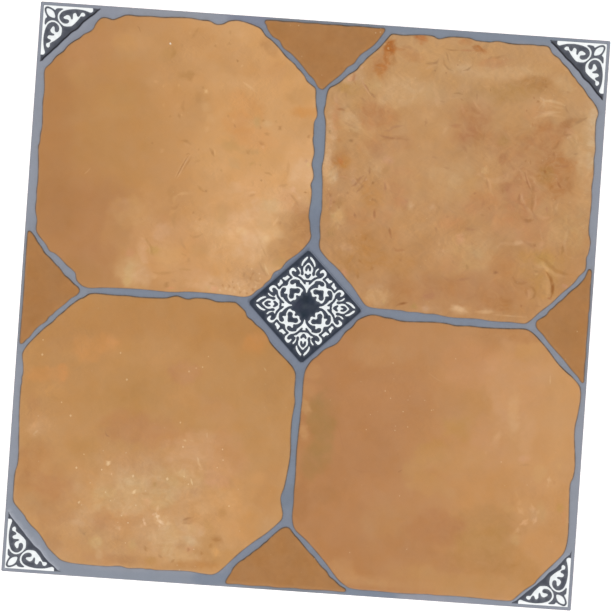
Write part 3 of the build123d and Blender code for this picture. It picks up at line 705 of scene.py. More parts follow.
dot(-124.0, 164.8, 1.1, (214, 166, 112), 0.55)
dot(-112.0, 166.5, 1.2, (216, 168, 114), 0.60)
dot(-90.0, 163.2, 1.3, (224, 180, 128), 0.80)
dot(-92.8, 166.0, 1.1, (180, 134, 86), 0.55)
dot(-78.0, 167.6, 1.8, (212, 164, 112), 0.50)
stroke([(-61.4, 172.4), (-58.4, 170.6), (-54.6, 168.0), (-50.6, 165.2)], 0.90, (226, 180, 130), 0.60)
stroke([(-107.0, 154.6), (-108.0, 150.0), (-106.6, 146.4)], 1.20, (182, 134, 84), 0.65)
dot(-111.5, 150.5, 1.5, (208, 158, 106), 0.50)
dot(-123.0, 150.0, 1.3, (210, 162, 110), 0.50)
stroke([(-110.4, 144.0), (-109.2, 140.6)], 1.10, (178, 130, 80), 0.75)
dot(-108.0, 143.2, 0.9, (214, 166, 112), 0.60)
dot(-117.0, 141.7, 1.1, (180, 134, 84), 0.60)
dot(-71.4, 145.0, 1.2, (182, 136, 86), 0.60)
dot(-67.0, 141.7, 1.4, (218, 168, 114), 0.50)
dot(-65.8, 137.8, 0.9, (180, 130, 82), 0.60)
dot(-87.3, 133.5, 2.0, (216, 168, 116), 0.55)
# back right
# painted highlight: a glint on the smear
dot(50.5, 207.0, 0.88, (232, 200, 156), 0.62)
dot(50.7, 210.3, 0.56, (200, 152, 104), 0.47)
dot(50.0, 200.0, 0.64, (208, 160, 108), 0.55)
dot(48.0, 200.6, 0.40, (206, 156, 104), 0.47)
stroke([(53.5, 211.0), (54.0, 206.0), (53.0, 202.5)], 1.04, (168, 102, 54), 0.62, 0.03)
stroke([(47.5, 203.0), (48.5, 199.0), (50.0, 194.0)], 0.80, (170, 108, 60), 0.57, 0.03)
stroke([(46.0, 207.0), (49.0, 209.4)], 1.04, (172, 106, 54), 0.52)
stroke([(55.0, 208.0), (59.5, 206.5), (64.0, 207.0)], 1.12, (184, 128, 82), 0.57)
stroke([(61.0, 209.5), (67.0, 209.0), (74.0, 206.5)], 1.28, (178, 132, 92), 0.57)
dot(76.8, 201.6, 1.20, (208, 158, 118), 0.55)
dot(31.0, 190.4, 1.28, (208, 164, 132), 0.55)
dot(27.0, 181.6, 1.36, (196, 158, 126), 0.47)
stroke([(24.0, 186.5), (25.5, 184.0), (24.8, 180.5), (27.0, 177.0)], 0.88, (178, 128, 88), 0.69)
stroke([(32.8, 178.4), (36.0, 175.0), (38.0, 171.8)], 0.72, (164, 114, 82), 0.74, 0.02)
stroke([(30.8, 182.0), (33.6, 177.0), (37.0, 171.6), (39.0, 169.0)], 0.72, (208, 162, 128), 0.43)
stroke([(37.2, 178.4), (38.4, 177.4)], 0.72, (160, 128, 80), 0.57)
stroke([(39.0, 171.0), (41.0, 169.5), (43.4, 167.2)], 0.80, (164, 122, 86), 0.69)
stroke([(18.0, 176.0), (19.4, 170.0), (20.4, 165.6)], 0.80, (172, 130, 90), 0.57)
stroke([(11.6, 168.0), (12.0, 164.0), (13.0, 161.0)], 1.28, (206, 160, 126), 0.43)
stroke([(14.2, 156.4), (17.2, 156.6), (19.6, 156.0)], 0.88, (160, 104, 64), 0.81, 0.02)
stroke([(13.6, 155.0), (13.2, 150.0), (12.8, 145.0)], 1.44, (196, 142, 100), 0.39)
stroke([(31.0, 166.8), (33.6, 165.6), (36.2, 163.2)], 0.80, (170, 126, 88), 0.62)
stroke([(18.4, 160.5), (22.0, 157.0), (27.0, 151.5), (31.0, 147.5)], 1.04, (206, 166, 124), 0.43)
stroke([(20.0, 162.0), (24.0, 157.8), (29.0, 152.4)], 0.80, (176, 134, 94), 0.52)
stroke([(95.6, 209.6), (100.0, 209.0), (106.0, 209.2)], 0.60, (156, 116, 78), 0.65, 0.02)
stroke([(107.0, 209.4), (113.0, 209.8), (118.0, 209.9)], 0.80, (184, 128, 88), 0.74)
stroke([(116.4, 213.2), (121.0, 213.6), (123.6, 211.6), (125.6, 209.4)], 0.96, (168, 108, 62), 0.86)
stroke([(118.6, 209.8), (122.0, 210.0)], 0.88, (182, 122, 72), 0.69)
stroke([(111.0, 193.6), (114.4, 194.6), (116.8, 197.2)], 0.80, (158, 122, 86), 0.66, 0.02)
stroke([(96.6, 207.0), (97.8, 203.0), (99.4, 199.0)], 0.56, (166, 128, 90), 0.69)
stroke([(98.4, 206.0), (99.8, 202.0)], 0.56, (208, 166, 124), 0.39)
stroke([(94.6, 202.0), (95.6, 197.4), (98.6, 194.4), (103.0, 192.6)], 0.72, (164, 124, 84), 0.56)
stroke([(91.0, 201.4), (89.4, 198.4), (85.8, 197.4), (81.0, 197.0)], 0.88, (166, 124, 86), 0.62)
stroke([(81.0, 192.4), (85.0, 195.4), (91.0, 196.4)], 1.20, (206, 164, 126), 0.43)
dot(88.6, 191.9, 0.72, (160, 118, 82), 0.69)
dot(97.4, 190.9, 0.72, (162, 118, 80), 0.69)
dot(106.2, 197.6, 0.72, (166, 120, 88), 0.69)
stroke([(129.6, 204.0), (132.0, 205.6), (136.6, 205.6), (142.8, 208.0)], 0.88, (170, 126, 86), 0.69)
stroke([(90.0, 171.0), (91.6, 167.0), (93.6, 162.6)], 1.04, (208, 166, 124), 0.47)
stroke([(104.6, 175.2), (108.0, 175.6), (111.4, 174.8)], 0.64, (160, 122, 82), 0.74)
stroke([(127.6, 182.2), (131.0, 182.8), (133.2, 181.8)], 0.64, (206, 162, 118), 0.43)
stroke([(133.4, 181.0), (133.2, 178.4)], 0.48, (156, 114, 76), 0.69)
stroke([(120.4, 170.4), (123.0, 166.8), (126.4, 163.4)], 0.80, (206, 160, 118), 0.51)
stroke([(119.4, 165.0), (122.6, 162.0), (126.0, 160.6)], 1.28, (168, 118, 78), 0.57)
stroke([(111.0, 167.0), (112.8, 163.0), (113.8, 159.0)], 1.04, (204, 152, 114), 0.43)
stroke([(94.0, 168.4), (98.0, 168.0)], 0.64, (168, 128, 88), 0.57)
stroke([(110.0, 171.6), (112.6, 170.0)], 0.64, (170, 126, 86), 0.57)
stroke([(100.0, 171.6), (105.0, 171.4), (109.0, 172.6)], 0.64, (204, 162, 118), 0.35)
stroke([(122.8, 176.4), (123.2, 171.4)], 0.48, (162, 122, 82), 0.62)
dot(111.0, 177.6, 0.64, (208, 162, 122), 0.43)
stroke([(84.0, 154.0), (85.4, 150.0)], 0.80, (174, 130, 92), 0.52)
stroke([(174.6, 177.0), (176.0, 174.0), (173.6, 170.2), (171.2, 167.0)], 0.72, (212, 168, 124), 0.51)
stroke([(178.0, 174.8), (182.0, 173.4), (186.6, 173.8)], 0.64, (210, 166, 120), 0.51)
stroke([(172.0, 167.4), (179.0, 166.0), (187.0, 168.4)], 0.72, (202, 156, 110), 0.39)
stroke([(168.6, 160.4), (173.0, 163.6), (181.0, 164.6), (189.0, 161.8), (192.0, 158.0)], 0.88, (204, 156, 112), 0.47)
stroke([(170.4, 165.0), (177.0, 165.4)], 0.72, (170, 120, 78), 0.57)
stroke([(170.2, 172.6), (172.2, 173.8)], 1.04, (154, 106, 64), 0.74)
dot(168.0, 176.0, 0.88, (166, 114, 74), 0.62)
dot(176.2, 190.0, 0.88, (166, 120, 70), 0.62)
stroke([(175.4, 186.2), (177.6, 184.8)], 0.72, (164, 114, 72), 0.62)
dot(176.2, 182.8, 0.72, (208, 162, 114), 0.51)
stroke([(161.6, 168.6), (162.2, 165.6)], 0.64, (204, 156, 114), 0.43)
stroke([(162.6, 166.4), (163.0, 164.6)], 0.56, (158, 110, 72), 0.62)
stroke([(166.8, 154.6), (166.6, 152.8)], 0.72, (214, 172, 132), 0.51)
stroke([(168.0, 156.0), (168.6, 153.0)], 0.64, (160, 110, 72), 0.62)
stroke([(172.2, 158.8), (172.4, 157.2)], 0.72, (154, 104, 64), 0.74)
stroke([(193.0, 182.6), (195.6, 181.8)], 0.88, (164, 120, 80), 0.62)
stroke([(193.0, 170.8), (194.4, 167.6), (196.4, 165.8)], 0.64, (162, 120, 82), 0.62)
stroke([(199.0, 156.0), (203.4, 159.0), (207.0, 161.4), (210.4, 163.2)], 1.12, (162, 122, 84), 0.69)
stroke([(18.0, 147.4), (24.0, 144.6), (32.0, 142.0)], 0.96, (180, 138, 98), 0.57)
stroke([(29.0, 133.6), (34.0, 128.4), (38.0, 122.6)], 0.96, (200, 154, 114), 0.39)
stroke([(24.6, 132.8), (27.4, 132.2)], 1.04, (158, 122, 82), 0.74)
stroke([(15.4, 132.6), (18.8, 131.8)], 1.36, (178, 124, 78), 0.74)
dot(9.0, 138.2, 1.12, (158, 126, 86), 0.69)
stroke([(48.0, 138.6), (53.0, 137.0), (60.0, 136.6)], 0.80, (160, 112, 82), 0.62)
stroke([(52.0, 142.0), (56.0, 142.4), (59.0, 145.6), (66.0, 147.0)], 0.96, (170, 122, 90), 0.57)
stroke([(29.6, 96.6), (32.0, 98.0), (35.0, 102.6), (38.0, 105.4)], 0.88, (164, 116, 84), 0.74, 0.02)
stroke([(33.6, 92.0), (36.4, 95.6), (39.0, 98.4)], 0.80, (166, 120, 84), 0.69)
stroke([(32.6, 95.6), (35.4, 99.0), (38.4, 102.6)], 0.72, (206, 162, 128), 0.43)
stroke([(37.0, 99.6), (39.4, 101.8), (40.6, 105.4)], 0.72, (170, 124, 88), 0.62)
dot(40.5, 102.6, 0.96, (208, 164, 128), 0.43)
stroke([(25.6, 90.6), (27.6, 91.4)], 1.04, (164, 120, 82), 0.74)
stroke([(15.2, 82.4), (17.0, 83.4)], 0.88, (162, 118, 82), 0.62)
stroke([(13.8, 88.0), (14.0, 81.0), (13.2, 77.0)], 0.80, (180, 132, 104), 0.62)
dot(46.0, 100.6, 0.96, (166, 116, 70), 0.57)
dot(46.4, 87.4, 0.96, (166, 116, 70), 0.57)
stroke([(48.6, 80.0), (48.8, 75.0)], 0.88, (170, 114, 76), 0.62)
stroke([(42.4, 111.0), (43.0, 107.0)], 0.72, (166, 120, 86), 0.62)
stroke([(55.0, 104.0), (56.0, 97.0), (54.6, 90.0)], 0.96, (174, 122, 90), 0.52)
dot(76.8, 84.0, 1.28, (208, 166, 128), 0.43)
stroke([(19.0, 103.6), (24.0, 103.6), (30.0, 101.0)], 0.64, (202, 152, 114), 0.35)
stroke([(98.4, 143.0), (99.8, 146.0), (102.4, 148.6)], 1.28, (206, 162, 118), 0.51)
stroke([(104.4, 150.0), (109.0, 149.4), (112.0, 151.0)], 1.60, (174, 122, 84), 0.62)
stroke([(113.0, 134.6), (116.0, 133.0), (118.0, 130.0)], 1.28, (170, 122, 84), 0.62)
stroke([(119.4, 136.0), (121.0, 134.0)], 1.04, (172, 124, 84), 0.57)
dot(118.2, 125.4, 0.88, (204, 158, 114), 0.43)
dot(134.2, 119.8, 0.96, (208, 158, 114), 0.51)
stroke([(125.0, 112.4), (129.0, 113.6), (132.0, 114.0)], 0.96, (202, 154, 114), 0.39)
stroke([(136.4, 110.6), (138.0, 106.0), (139.6, 100.6)], 0.64, (208, 156, 116), 0.51)
stroke([(134.6, 111.0), (136.2, 105.6), (138.0, 100.6)], 0.72, (166, 120, 82), 0.62)
stroke([(138.6, 109.6), (144.0, 111.0), (150.0, 114.0), (157.0, 118.6)], 0.88, (204, 156, 116), 0.39)
stroke([(138.4, 87.0), (139.2, 86.0)], 0.88, (162, 104, 72), 0.74)
stroke([(125.4, 97.8), (127.4, 97.6)], 0.88, (166, 118, 84), 0.57)
stroke([(133.6, 94.0), (134.0, 90.0), (132.6, 86.0)], 1.04, (174, 124, 86), 0.45)
stroke([(132.0, 81.4), (135.6, 81.0)], 0.80, (166, 122, 80), 0.57)
stroke([(105.0, 77.6), (107.6, 78.2)], 0.96, (166, 122, 88), 0.57)
stroke([(102.0, 82.4), (105.4, 82.0)], 1.12, (174, 128, 94), 0.52)
stroke([(101.0, 116.4), (105.0, 116.0)], 0.96, (174, 130, 90), 0.57)
stroke([(91.0, 124.0), (95.0, 123.6)], 0.88, (174, 130, 92), 0.52)
stroke([(84.0, 148.6), (85.0, 147.6)], 0.80, (176, 132, 94), 0.52)
stroke([(185.6, 136.6), (188.4, 139.4), (189.8, 143.0)], 0.96, (156, 110, 70), 0.62)
stroke([(186.2, 134.6), (186.6, 131.6)], 0.64, (158, 110, 72), 0.74)
stroke([(188.2, 134.0), (188.8, 131.4)], 0.64, (208, 156, 118), 0.39)
stroke([(165.0, 127.0), (164.4, 125.0)], 0.72, (164, 118, 76), 0.62)
dot(167.2, 125.0, 0.80, (204, 160, 118), 0.43)
stroke([(168.4, 126.6), (168.8, 123.6)], 0.64, (164, 116, 74), 0.62)
dot(180.6, 118.6, 1.20, (158, 100, 58), 0.74)
stroke([(190.8, 111.6), (192.2, 109.0), (194.0, 106.6)], 0.88, (156, 102, 64), 0.69)
stroke([(185.4, 104.6), (187.4, 108.4)], 0.88, (160, 112, 68), 0.62)
stroke([(196.8, 113.0), (199.4, 115.4)], 1.20, (162, 116, 72), 0.57)
stroke([(165.6, 119.0), (166.4, 113.6), (168.6, 109.4), (171.0, 104.4)], 0.72, (210, 160, 120), 0.51)
stroke([(164.8, 117.0), (166.6, 110.4), (169.0, 105.6), (171.0, 102.4)], 0.64, (156, 106, 72), 0.62)
dot(172.6, 110.0, 0.96, (208, 160, 124), 0.43)
stroke([(174.4, 100.0), (175.0, 93.0), (173.6, 87.0)], 0.72, (206, 158, 118), 0.43)
stroke([(163.6, 101.0), (164.6, 95.0), (166.6, 92.0)], 0.64, (208, 158, 126), 0.43)
stroke([(161.8, 100.0), (162.4, 96.0)], 0.96, (164, 110, 78), 0.62)
stroke([(162.0, 92.4), (166.0, 91.4), (169.0, 88.0)], 0.96, (170, 118, 84), 0.57)
stroke([(171.0, 87.4), (174.4, 84.0), (178.0, 79.6)], 1.12, (172, 122, 86), 0.45)
stroke([(166.4, 80.0), (170.0, 79.0), (174.0, 80.2)], 1.20, (158, 108, 66), 0.62)
stroke([(171.4, 99.0), (172.6, 93.0), (171.8, 88.4), (173.4, 85.4)], 1.05, (164, 116, 74), 0.55)
stroke([(179.0, 83.2), (184.0, 82.0), (188.0, 83.4)], 0.72, (208, 152, 114), 0.43)
stroke([(183.6, 91.0), (184.4, 87.0)], 0.96, (170, 116, 86), 0.62)
stroke([(186.6, 95.0), (188.0, 90.6), (189.0, 88.0)], 0.64, (202, 158, 120), 0.35)
stroke([(190.4, 98.0), (191.4, 92.0)], 0.64, (168, 124, 82), 0.52)
stroke([(193.4, 97.6), (192.0, 92.6), (190.0, 88.0)], 0.64, (204, 158, 118), 0.35)
stroke([(192.0, 124.0), (195.4, 123.6), (199.0, 125.0)], 0.72, (162, 110, 76), 0.62)
stroke([(202.0, 133.6), (205.6, 135.0)], 0.72, (168, 128, 90), 0.62)
stroke([(193.0, 149.4), (195.4, 148.4), (199.0, 149.6)], 0.72, (158, 114, 78), 0.62)
stroke([(196.0, 146.0), (200.0, 148.0)], 0.72, (208, 164, 126), 0.43)
stroke([(204.2, 146.0), (205.4, 143.0)], 0.72, (164, 126, 86), 0.62)
# a plaster ridge: painted shadow in the dark strokes, the first also a shallow groove, and painted highlight in the
# pale ones
stroke([(187.6, 39.0), (191.0, 35.0), (192.8, 29.0), (193.0, 24.0), (192.2, 20.4)], 1.25, (154, 100, 56), 0.88, 0.05)
stroke([(187.0, 38.4), (189.4, 31.0), (190.0, 24.6), (188.6, 20.4)], 1.52, (206, 157, 110), 0.51)
stroke([(180.0, 43.0), (185.0, 43.6), (190.0, 41.0), (194.6, 38.0), (202.0, 37.0)], 1.20, (204, 162, 112), 0.47)
stroke([(180.6, 50.6), (185.4, 48.8), (189.6, 45.4), (194.6, 41.4), (201.0, 39.6), (206.4, 39.2)], 1.40, (162, 114, 64), 0.60)
stroke([(183.4, 45.4), (186.6, 43.2), (190.2, 39.8)], 1.30, (212, 166, 114), 0.55)
stroke([(177.6, 37.8), (180.4, 37.4)], 0.72, (214, 170, 120), 0.51)
stroke([(177.4, 40.4), (180.6, 39.8)], 0.72, (166, 126, 82), 0.62)
stroke([(176.0, 45.0), (176.6, 42.0)], 0.80, (170, 130, 84), 0.52)
stroke([(171.8, 25.4), (172.4, 22.4), (173.4, 19.6)], 1.12, (166, 116, 72), 0.62)
stroke([(161.2, 34.0), (163.4, 30.4), (168.0, 29.2), (172.0, 30.4)], 1.00, (160, 112, 70), 0.60)
stroke([(173.6, 27.8), (177.4, 26.8), (179.4, 23.0), (178.6, 19.4), (176.0, 17.6)], 0.95, (166, 118, 72), 0.60)
stroke([(189.6, 19.4), (192.6, 19.2)], 0.80, (162, 102, 68), 0.62)
stroke([(147.2, 56.4), (150.0, 60.2), (156.0, 60.0), (163.0, 60.2), (168.0, 61.8), (175.0, 62.8)], 1.30, (212, 166, 124), 0.35)
stroke([(166.0, 63.4), (172.0, 61.0), (176.4, 57.6)], 0.88, (170, 122, 84), 0.52)
stroke([(175.4, 61.0), (177.4, 59.4)], 1.12, (164, 116, 76), 0.62)
stroke([(179.6, 74.0), (181.4, 68.0), (182.0, 64.0)], 0.80, (204, 160, 118), 0.39)
stroke([(198.4, 61.0), (198.8, 58.0), (198.2, 55.0)], 1.10, (154, 112, 66), 0.75)
stroke([(201.6, 70.0), (199.6, 65.0), (200.4, 60.0), (202.0, 54.6)], 0.96, (204, 164, 122), 0.43)
stroke([(203.0, 53.0), (208.0, 52.0)], 0.72, (208, 160, 116), 0.43)
stroke([(169.0, 12.8), (169.4, 11.0)], 0.64, (156, 104, 72), 0.62)
stroke([(180.0, 12.8), (184.6, 12.6)], 0.72, (170, 126, 86), 0.57)
stroke([(150.6, 7.0), (155.6, 8.0)], 1.04, (172, 118, 78), 0.62)
stroke([(146.4, 37.2), (148.6, 36.4)], 1.28, (152, 106, 78), 0.74)
stroke([(115.6, 9.4), (120.6, 7.8), (125.0, 4.6)], 1.12, (214, 176, 134), 0.43)
stroke([(71.4, 5.6), (74.6, 7.0), (79.6, 8.2)], 0.88, (140, 90, 54), 0.74, 0.03)
stroke([(71.0, 4.4), (75.0, 4.6)], 0.56, (208, 148, 92), 0.43)
stroke([(124.0, 41.0), (125.0, 38.4), (123.4, 36.4)], 1.20, (166, 128, 86), 0.62)
stroke([(113.0, 43.6), (113.6, 41.8)], 1.12, (170, 126, 90), 0.52)
dot(104.6, 51.0, 1.28, (208, 164, 126), 0.43)
dot(101.2, 56.0, 1.20, (204, 162, 120), 0.39)
stroke([(98.0, 70.0), (98.4, 65.0)], 0.80, (172, 124, 90), 0.45)
stroke([(120.0, 70.4), (123.6, 69.0), (128.6, 69.4)], 1.04, (170, 120, 86), 0.52)
stroke([(126.6, 58.6), (127.6, 57.0)], 1.04, (170, 128, 90), 0.52)
stroke([(117.6, 28.6), (122.0, 29.6), (127.4, 31.0)], 1.04, (170, 120, 86), 0.57)
stroke([(105.0, 31.0), (110.0, 28.6), (114.0, 27.6)], 1.04, (170, 122, 86), 0.52)
stroke([(85.4, 30.0), (86.4, 28.4)], 0.96, (168, 122, 84), 0.62)
stroke([(33.0, 75.6), (33.6, 73.0)], 0.88, (158, 110, 78), 0.69)
stroke([(14.6, 71.0), (18.0, 73.4)], 0.96, (186, 150, 98), 0.52)
stroke([(21.0, 60.6), (23.0, 63.4), (26.4, 65.0)], 0.80, (204, 158, 116), 0.43)
stroke([(20.4, 66.4), (24.6, 63.6)], 0.72, (174, 130, 92), 0.52)
stroke([(31.0, 55.6), (31.8, 53.4)], 1.04, (172, 126, 88), 0.62)
stroke([(29.0, 46.6), (32.4, 46.8)], 0.96, (172, 128, 96), 0.52)
stroke([(39.0, 39.4), (41.0, 37.6)], 1.12, (166, 114, 68), 0.62)
stroke([(49.0, 32.4), (51.0, 34.0)], 1.20, (166, 112, 66), 0.62)
stroke([(38.6, 30.0), (39.4, 24.4)], 1.04, (162, 114, 68), 0.69)
stroke([(61.4, 66.0), (62.0, 62.6), (63.6, 58.0)], 0.80, (170, 118, 82), 0.62)
stroke([(66.0, 50.6), (68.0, 48.6), (74.4, 49.4)], 1.04, (166, 112, 74), 0.69)
stroke([(43.4, 57.6), (43.2, 55.4)], 0.88, (168, 118, 72), 0.62)
dot(35.8, 57.6, 0.96, (174, 124, 74), 0.57)
stroke([(48.8, 77.6), (49.0, 72.4)], 0.96, (172, 118, 80), 0.57)
stroke([(71.0, 42.0), (72.6, 40.6)], 1.04, (170, 118, 78), 0.52)
dot(60.8, 7.6, 1.28, (208, 172, 112), 0.43)
stroke([(133.4, 4.6), (140.0, 5.0), (147.4, 5.6)], 1.30, (216, 172, 126), 0.55)
stroke([(147.0, 3.6), (160.0, 3.4), (174.0, 3.4)], 0.60, (212, 168, 124), 0.55)
stroke([(135.6, 5.4), (140.0, 5.6), (146.4, 6.2)], 0.90, (207, 163, 119), 0.55)
stroke([(115.4, 8.2), (119.0, 6.6), (126.6, 4.2)], 1.50, (216, 174, 132), 0.85)
stroke([(193.0, 158.6), (199.0, 160.2), (205.0, 162.4)], 1.60, (172, 124, 80), 0.60)
stroke([(83.0, 151.8), (84.6, 150.4), (83.4, 148.6)], 0.60, (164, 120, 82), 0.60)
stroke([(51.7, 136.0), (58.0, 136.4), (66.0, 136.8), (70.0, 135.6)], 0.70, (164, 114, 80), 0.40)
dot(27.0, 132.6, 1.20, (160, 114, 76), 0.45)
stroke([(145.4, 35.8), (147.4, 36.8), (148.8, 37.4)], 1.10, (160, 112, 76), 0.60)
stroke([(169.4, 160.2), (174.6, 162.4), (181.4, 163.8), (187.4, 163.4), (193.0, 162.2)], 1.20, (212, 170, 124), 0.55)
stroke([(170.8, 165.4), (176.2, 164.8), (182.0, 165.6), (189.4, 166.2)], 1.10, (216, 176, 132), 0.55)
stroke([(172.8, 176.6), (176.6, 174.2), (182.2, 174.6), (188.6, 173.2), (192.8, 171.6)], 1.10, (218, 180, 136), 0.60)
stroke([(175.4, 174.8), (176.4, 171.0), (174.8, 167.6)], 1.00, (214, 174, 130), 0.55)
stroke([(181.0, 171.2), (186.6, 169.8), (192.2, 169.4)], 0.90, (210, 168, 122), 0.50)
stroke([(128.6, 112.8), (133.0, 110.4), (141.2, 108.2), (148.8, 110.0), (155.2, 114.4), (161.4, 121.2)], 2.00, (207, 162, 118), 0.50)
stroke([(136.4, 108.8), (138.6, 102.4), (141.2, 96.8)], 1.70, (206, 162, 118), 0.45)
stroke([(160.6, 118.6), (163.2, 114.8), (166.2, 110.2)], 1.20, (212, 166, 122), 0.50)
stroke([(168.8, 114.4), (172.6, 112.2), (173.6, 108.6)], 1.30, (208, 162, 116), 0.45)
dot(148.4, 101.6, 1.5, (170, 122, 80), 0.50)
stroke([(162.6, 99.6), (164.2, 95.0), (167.0, 91.2)], 1.40, (212, 166, 124), 0.50)
stroke([(161.2, 97.8), (162.0, 92.8)], 1.10, (168, 120, 80), 0.50)
stroke([(166.6, 90.4), (170.2, 87.4), (173.4, 84.2)], 1.40, (210, 164, 122), 0.45)
stroke([(164.0, 82.0), (168.4, 78.6), (172.6, 77.4)], 1.60, (172, 124, 84), 0.45)
stroke([(176.6, 84.6), (181.4, 82.2), (186.2, 83.4)], 1.40, (210, 164, 120), 0.45)
stroke([(190.4, 96.2), (191.6, 90.4), (190.2, 86.2)], 1.10, (206, 162, 116), 0.45)
stroke([(201.6, 74.4), (200.2, 68.6), (200.8, 63.8)], 1.20, (206, 164, 118), 0.45)
stroke([(187.4, 129.4), (186.2, 132.6), (187.8, 135.6)], 0.90, (166, 118, 78), 0.45)
stroke([(200.6, 149.8), (203.4, 148.2), (204.6, 144.6), (203.0, 141.2)], 1.10, (216, 174, 128), 0.50)
stroke([(88.0, 184.6), (89.4, 177.6), (92.4, 170.0), (95.8, 162.2)], 1.50, (208, 164, 118), 0.45)
stroke([(60.2, 184.8), (64.6, 184.0), (69.4, 186.0)], 1.10, (210, 166, 120), 0.45)
stroke([(50.2, 134.4), (56.8, 136.6), (64.2, 137.4), (71.6, 136.2)], 1.60, (172, 124, 82), 0.45)
stroke([(20.0, 152.4), (27.4, 149.2), (34.6, 143.8), (41.2, 139.4)], 1.80, (204, 160, 112), 0.40)
stroke([(29.4, 134.6), (35.4, 130.4), (39.0, 124.6), (42.8, 120.4)], 1.60, (202, 158, 112), 0.40)
stroke([(31.2, 104.4), (34.2, 101.0), (38.4, 97.0)], 0.90, (166, 120, 78), 0.45)
stroke([(42.6, 112.6), (42.4, 107.6)], 1.00, (166, 122, 82), 0.50)
stroke([(54.6, 104.8), (56.8, 99.4), (60.4, 95.8)], 1.30, (204, 156, 112), 0.45)
dot(12.8, 88.6, 1.3, (160, 114, 76), 0.55)
dot(16.4, 83.4, 1.2, (162, 116, 80), 0.55)
dot(20.6, 79.2, 1.1, (166, 120, 80), 0.50)
dot(14.2, 80.0, 1.0, (208, 164, 118), 0.50)
dot(19.6, 89.4, 1.2, (206, 162, 116), 0.45)
dot(11.6, 93.2, 1.1, (210, 168, 122), 0.50)
stroke([(33.8, 74.6), (34.6, 71.4)], 1.20, (158, 112, 76), 0.50)
stroke([(48.4, 78.8), (49.4, 73.6)], 1.10, (162, 116, 76), 0.45)
stroke([(61.4, 65.6), (62.8, 61.2)], 1.10, (160, 112, 72), 0.45)
stroke([(75.4, 88.4), (76.6, 83.4), (78.0, 80.4)], 1.80, (208, 166, 120), 0.45)
dot(45.8, 100.4, 1.0, (160, 114, 72), 0.50)
dot(48.6, 86.8, 1.2, (164, 118, 76), 0.50)
# front left
dot(-108.6, -172.2, 0.98, (228, 186, 148), 0.60)
stroke([(-107.4, -171.0), (-105.9, -171.8)], 1.37, (236, 200, 162), 0.70)
stroke([(-105.5, -172.4), (-104.9, -174.6)], 1.55, (246, 216, 184), 0.85)
stroke([(-104.7, -175.4), (-103.6, -177.2)], 1.37, (242, 206, 170), 0.75)
dot(-102.4, -177.4, 1.27, (240, 204, 168), 0.70)
stroke([(-102.0, -178.4), (-99.8, -179.2)], 1.55, (244, 210, 176), 0.80)
stroke([(-98.8, -179.2), (-96.4, -178.8), (-93.6, -178.4)], 0.98, (222, 182, 136), 0.50)
dot(-103.0, -180.8, 1.12, (228, 188, 148), 0.55)
stroke([(-105.1, -164.8), (-105.2, -167.4), (-106.0, -169.6)], 0.98, (226, 184, 140), 0.60)
stroke([(-116.0, -175.4), (-115.5, -178.2)], 0.91, (234, 192, 152), 0.70)
dot(-114.6, -179.6, 1.12, (236, 192, 152), 0.70)
dot(-117.0, -181.8, 1.12, (220, 174, 132), 0.45)
dot(-134.2, -185.6, 1.00, (222, 176, 136), 0.60)
stroke([(-138.8, -182.4), (-136.2, -184.4)], 0.80, (214, 168, 126), 0.45)
dot(-130.0, -173.6, 1.40, (214, 166, 124), 0.50)
dot(-155.4, -157.0, 1.30, (210, 170, 120), 0.50)
dot(-143.6, -142.8, 1.20, (212, 164, 120), 0.45)
dot(-86.3, -140.6, 0.65, (238, 204, 154), 0.75)
stroke([(-88.6, -112.0), (-86.4, -112.6)], 0.90, (230, 194, 148), 0.65)
stroke([(-83.8, -111.8), (-80.4, -112.4)], 0.70, (220, 182, 136), 0.45)
dot(-112.6, -199.4, 1.50, (170, 126, 80), 0.70)
dot(-109.0, -148.4, 1.50, (176, 138, 86), 0.60)
stroke([(-84.6, -174.8), (-81.4, -173.4), (-77.2, -172.2)], 0.75, (166, 122, 82), 0.70)
stroke([(-85.2, -177.6), (-81.4, -177.4), (-77.6, -177.6)], 0.70, (176, 132, 90), 0.50)
stroke([(-60.0, -188.6), (-57.6, -188.4), (-55.6, -188.8)], 1.50, (166, 114, 66), 0.70)
dot(-78.8, -197.8, 1.30, (170, 120, 82), 0.60)
stroke([(-102.2, -203.4), (-100.6, -204.8), (-99.2, -205.6)], 0.95, (170, 126, 84), 0.65)
stroke([(-91.8, -208.6), (-90.6, -207.6), (-89.4, -206.4)], 0.95, (166, 120, 74), 0.65)
dot(-68.4, -200.0, 1.40, (168, 116, 66), 0.50)
dot(-61.8, -193.4, 1.60, (172, 122, 70), 0.50)
stroke([(-166.4, -186.4), (-163.4, -188.8), (-160.6, -192.4)], 1.20, (178, 136, 94), 0.40)
stroke([(-76.8, -125.0), (-75.6, -128.4)], 0.70, (232, 196, 150), 0.60)
stroke([(-75.8, -132.4), (-74.0, -134.0), (-71.8, -134.4)], 0.60, (218, 176, 134), 0.45)
stroke([(-80.9, -141.8), (-80.0, -144.6), (-79.2, -146.6)], 0.60, (236, 206, 162), 0.75)
stroke([(-205.4, -116.8), (-206.8, -115.6), (-203.6, -112.2)], 0.7, (216, 184, 144), 0.6)
stroke([(-70.6, -104.8), (-70.4, -109.0)], 0.45, (226, 196, 154), 0.5)
stroke([(-29.6, -50.6), (-27.6, -53.2)], 0.5, (214, 178, 132), 0.6)
stroke([(-165.4, -188.6), (-161.8, -191.4), (-160.4, -189.8)], 0.6, (150, 118, 86), 0.32)
stroke([(-151.0, -109.0), (-149.4, -112.6), (-147.0, -113.4)], 0.5, (150, 108, 80), 0.5)
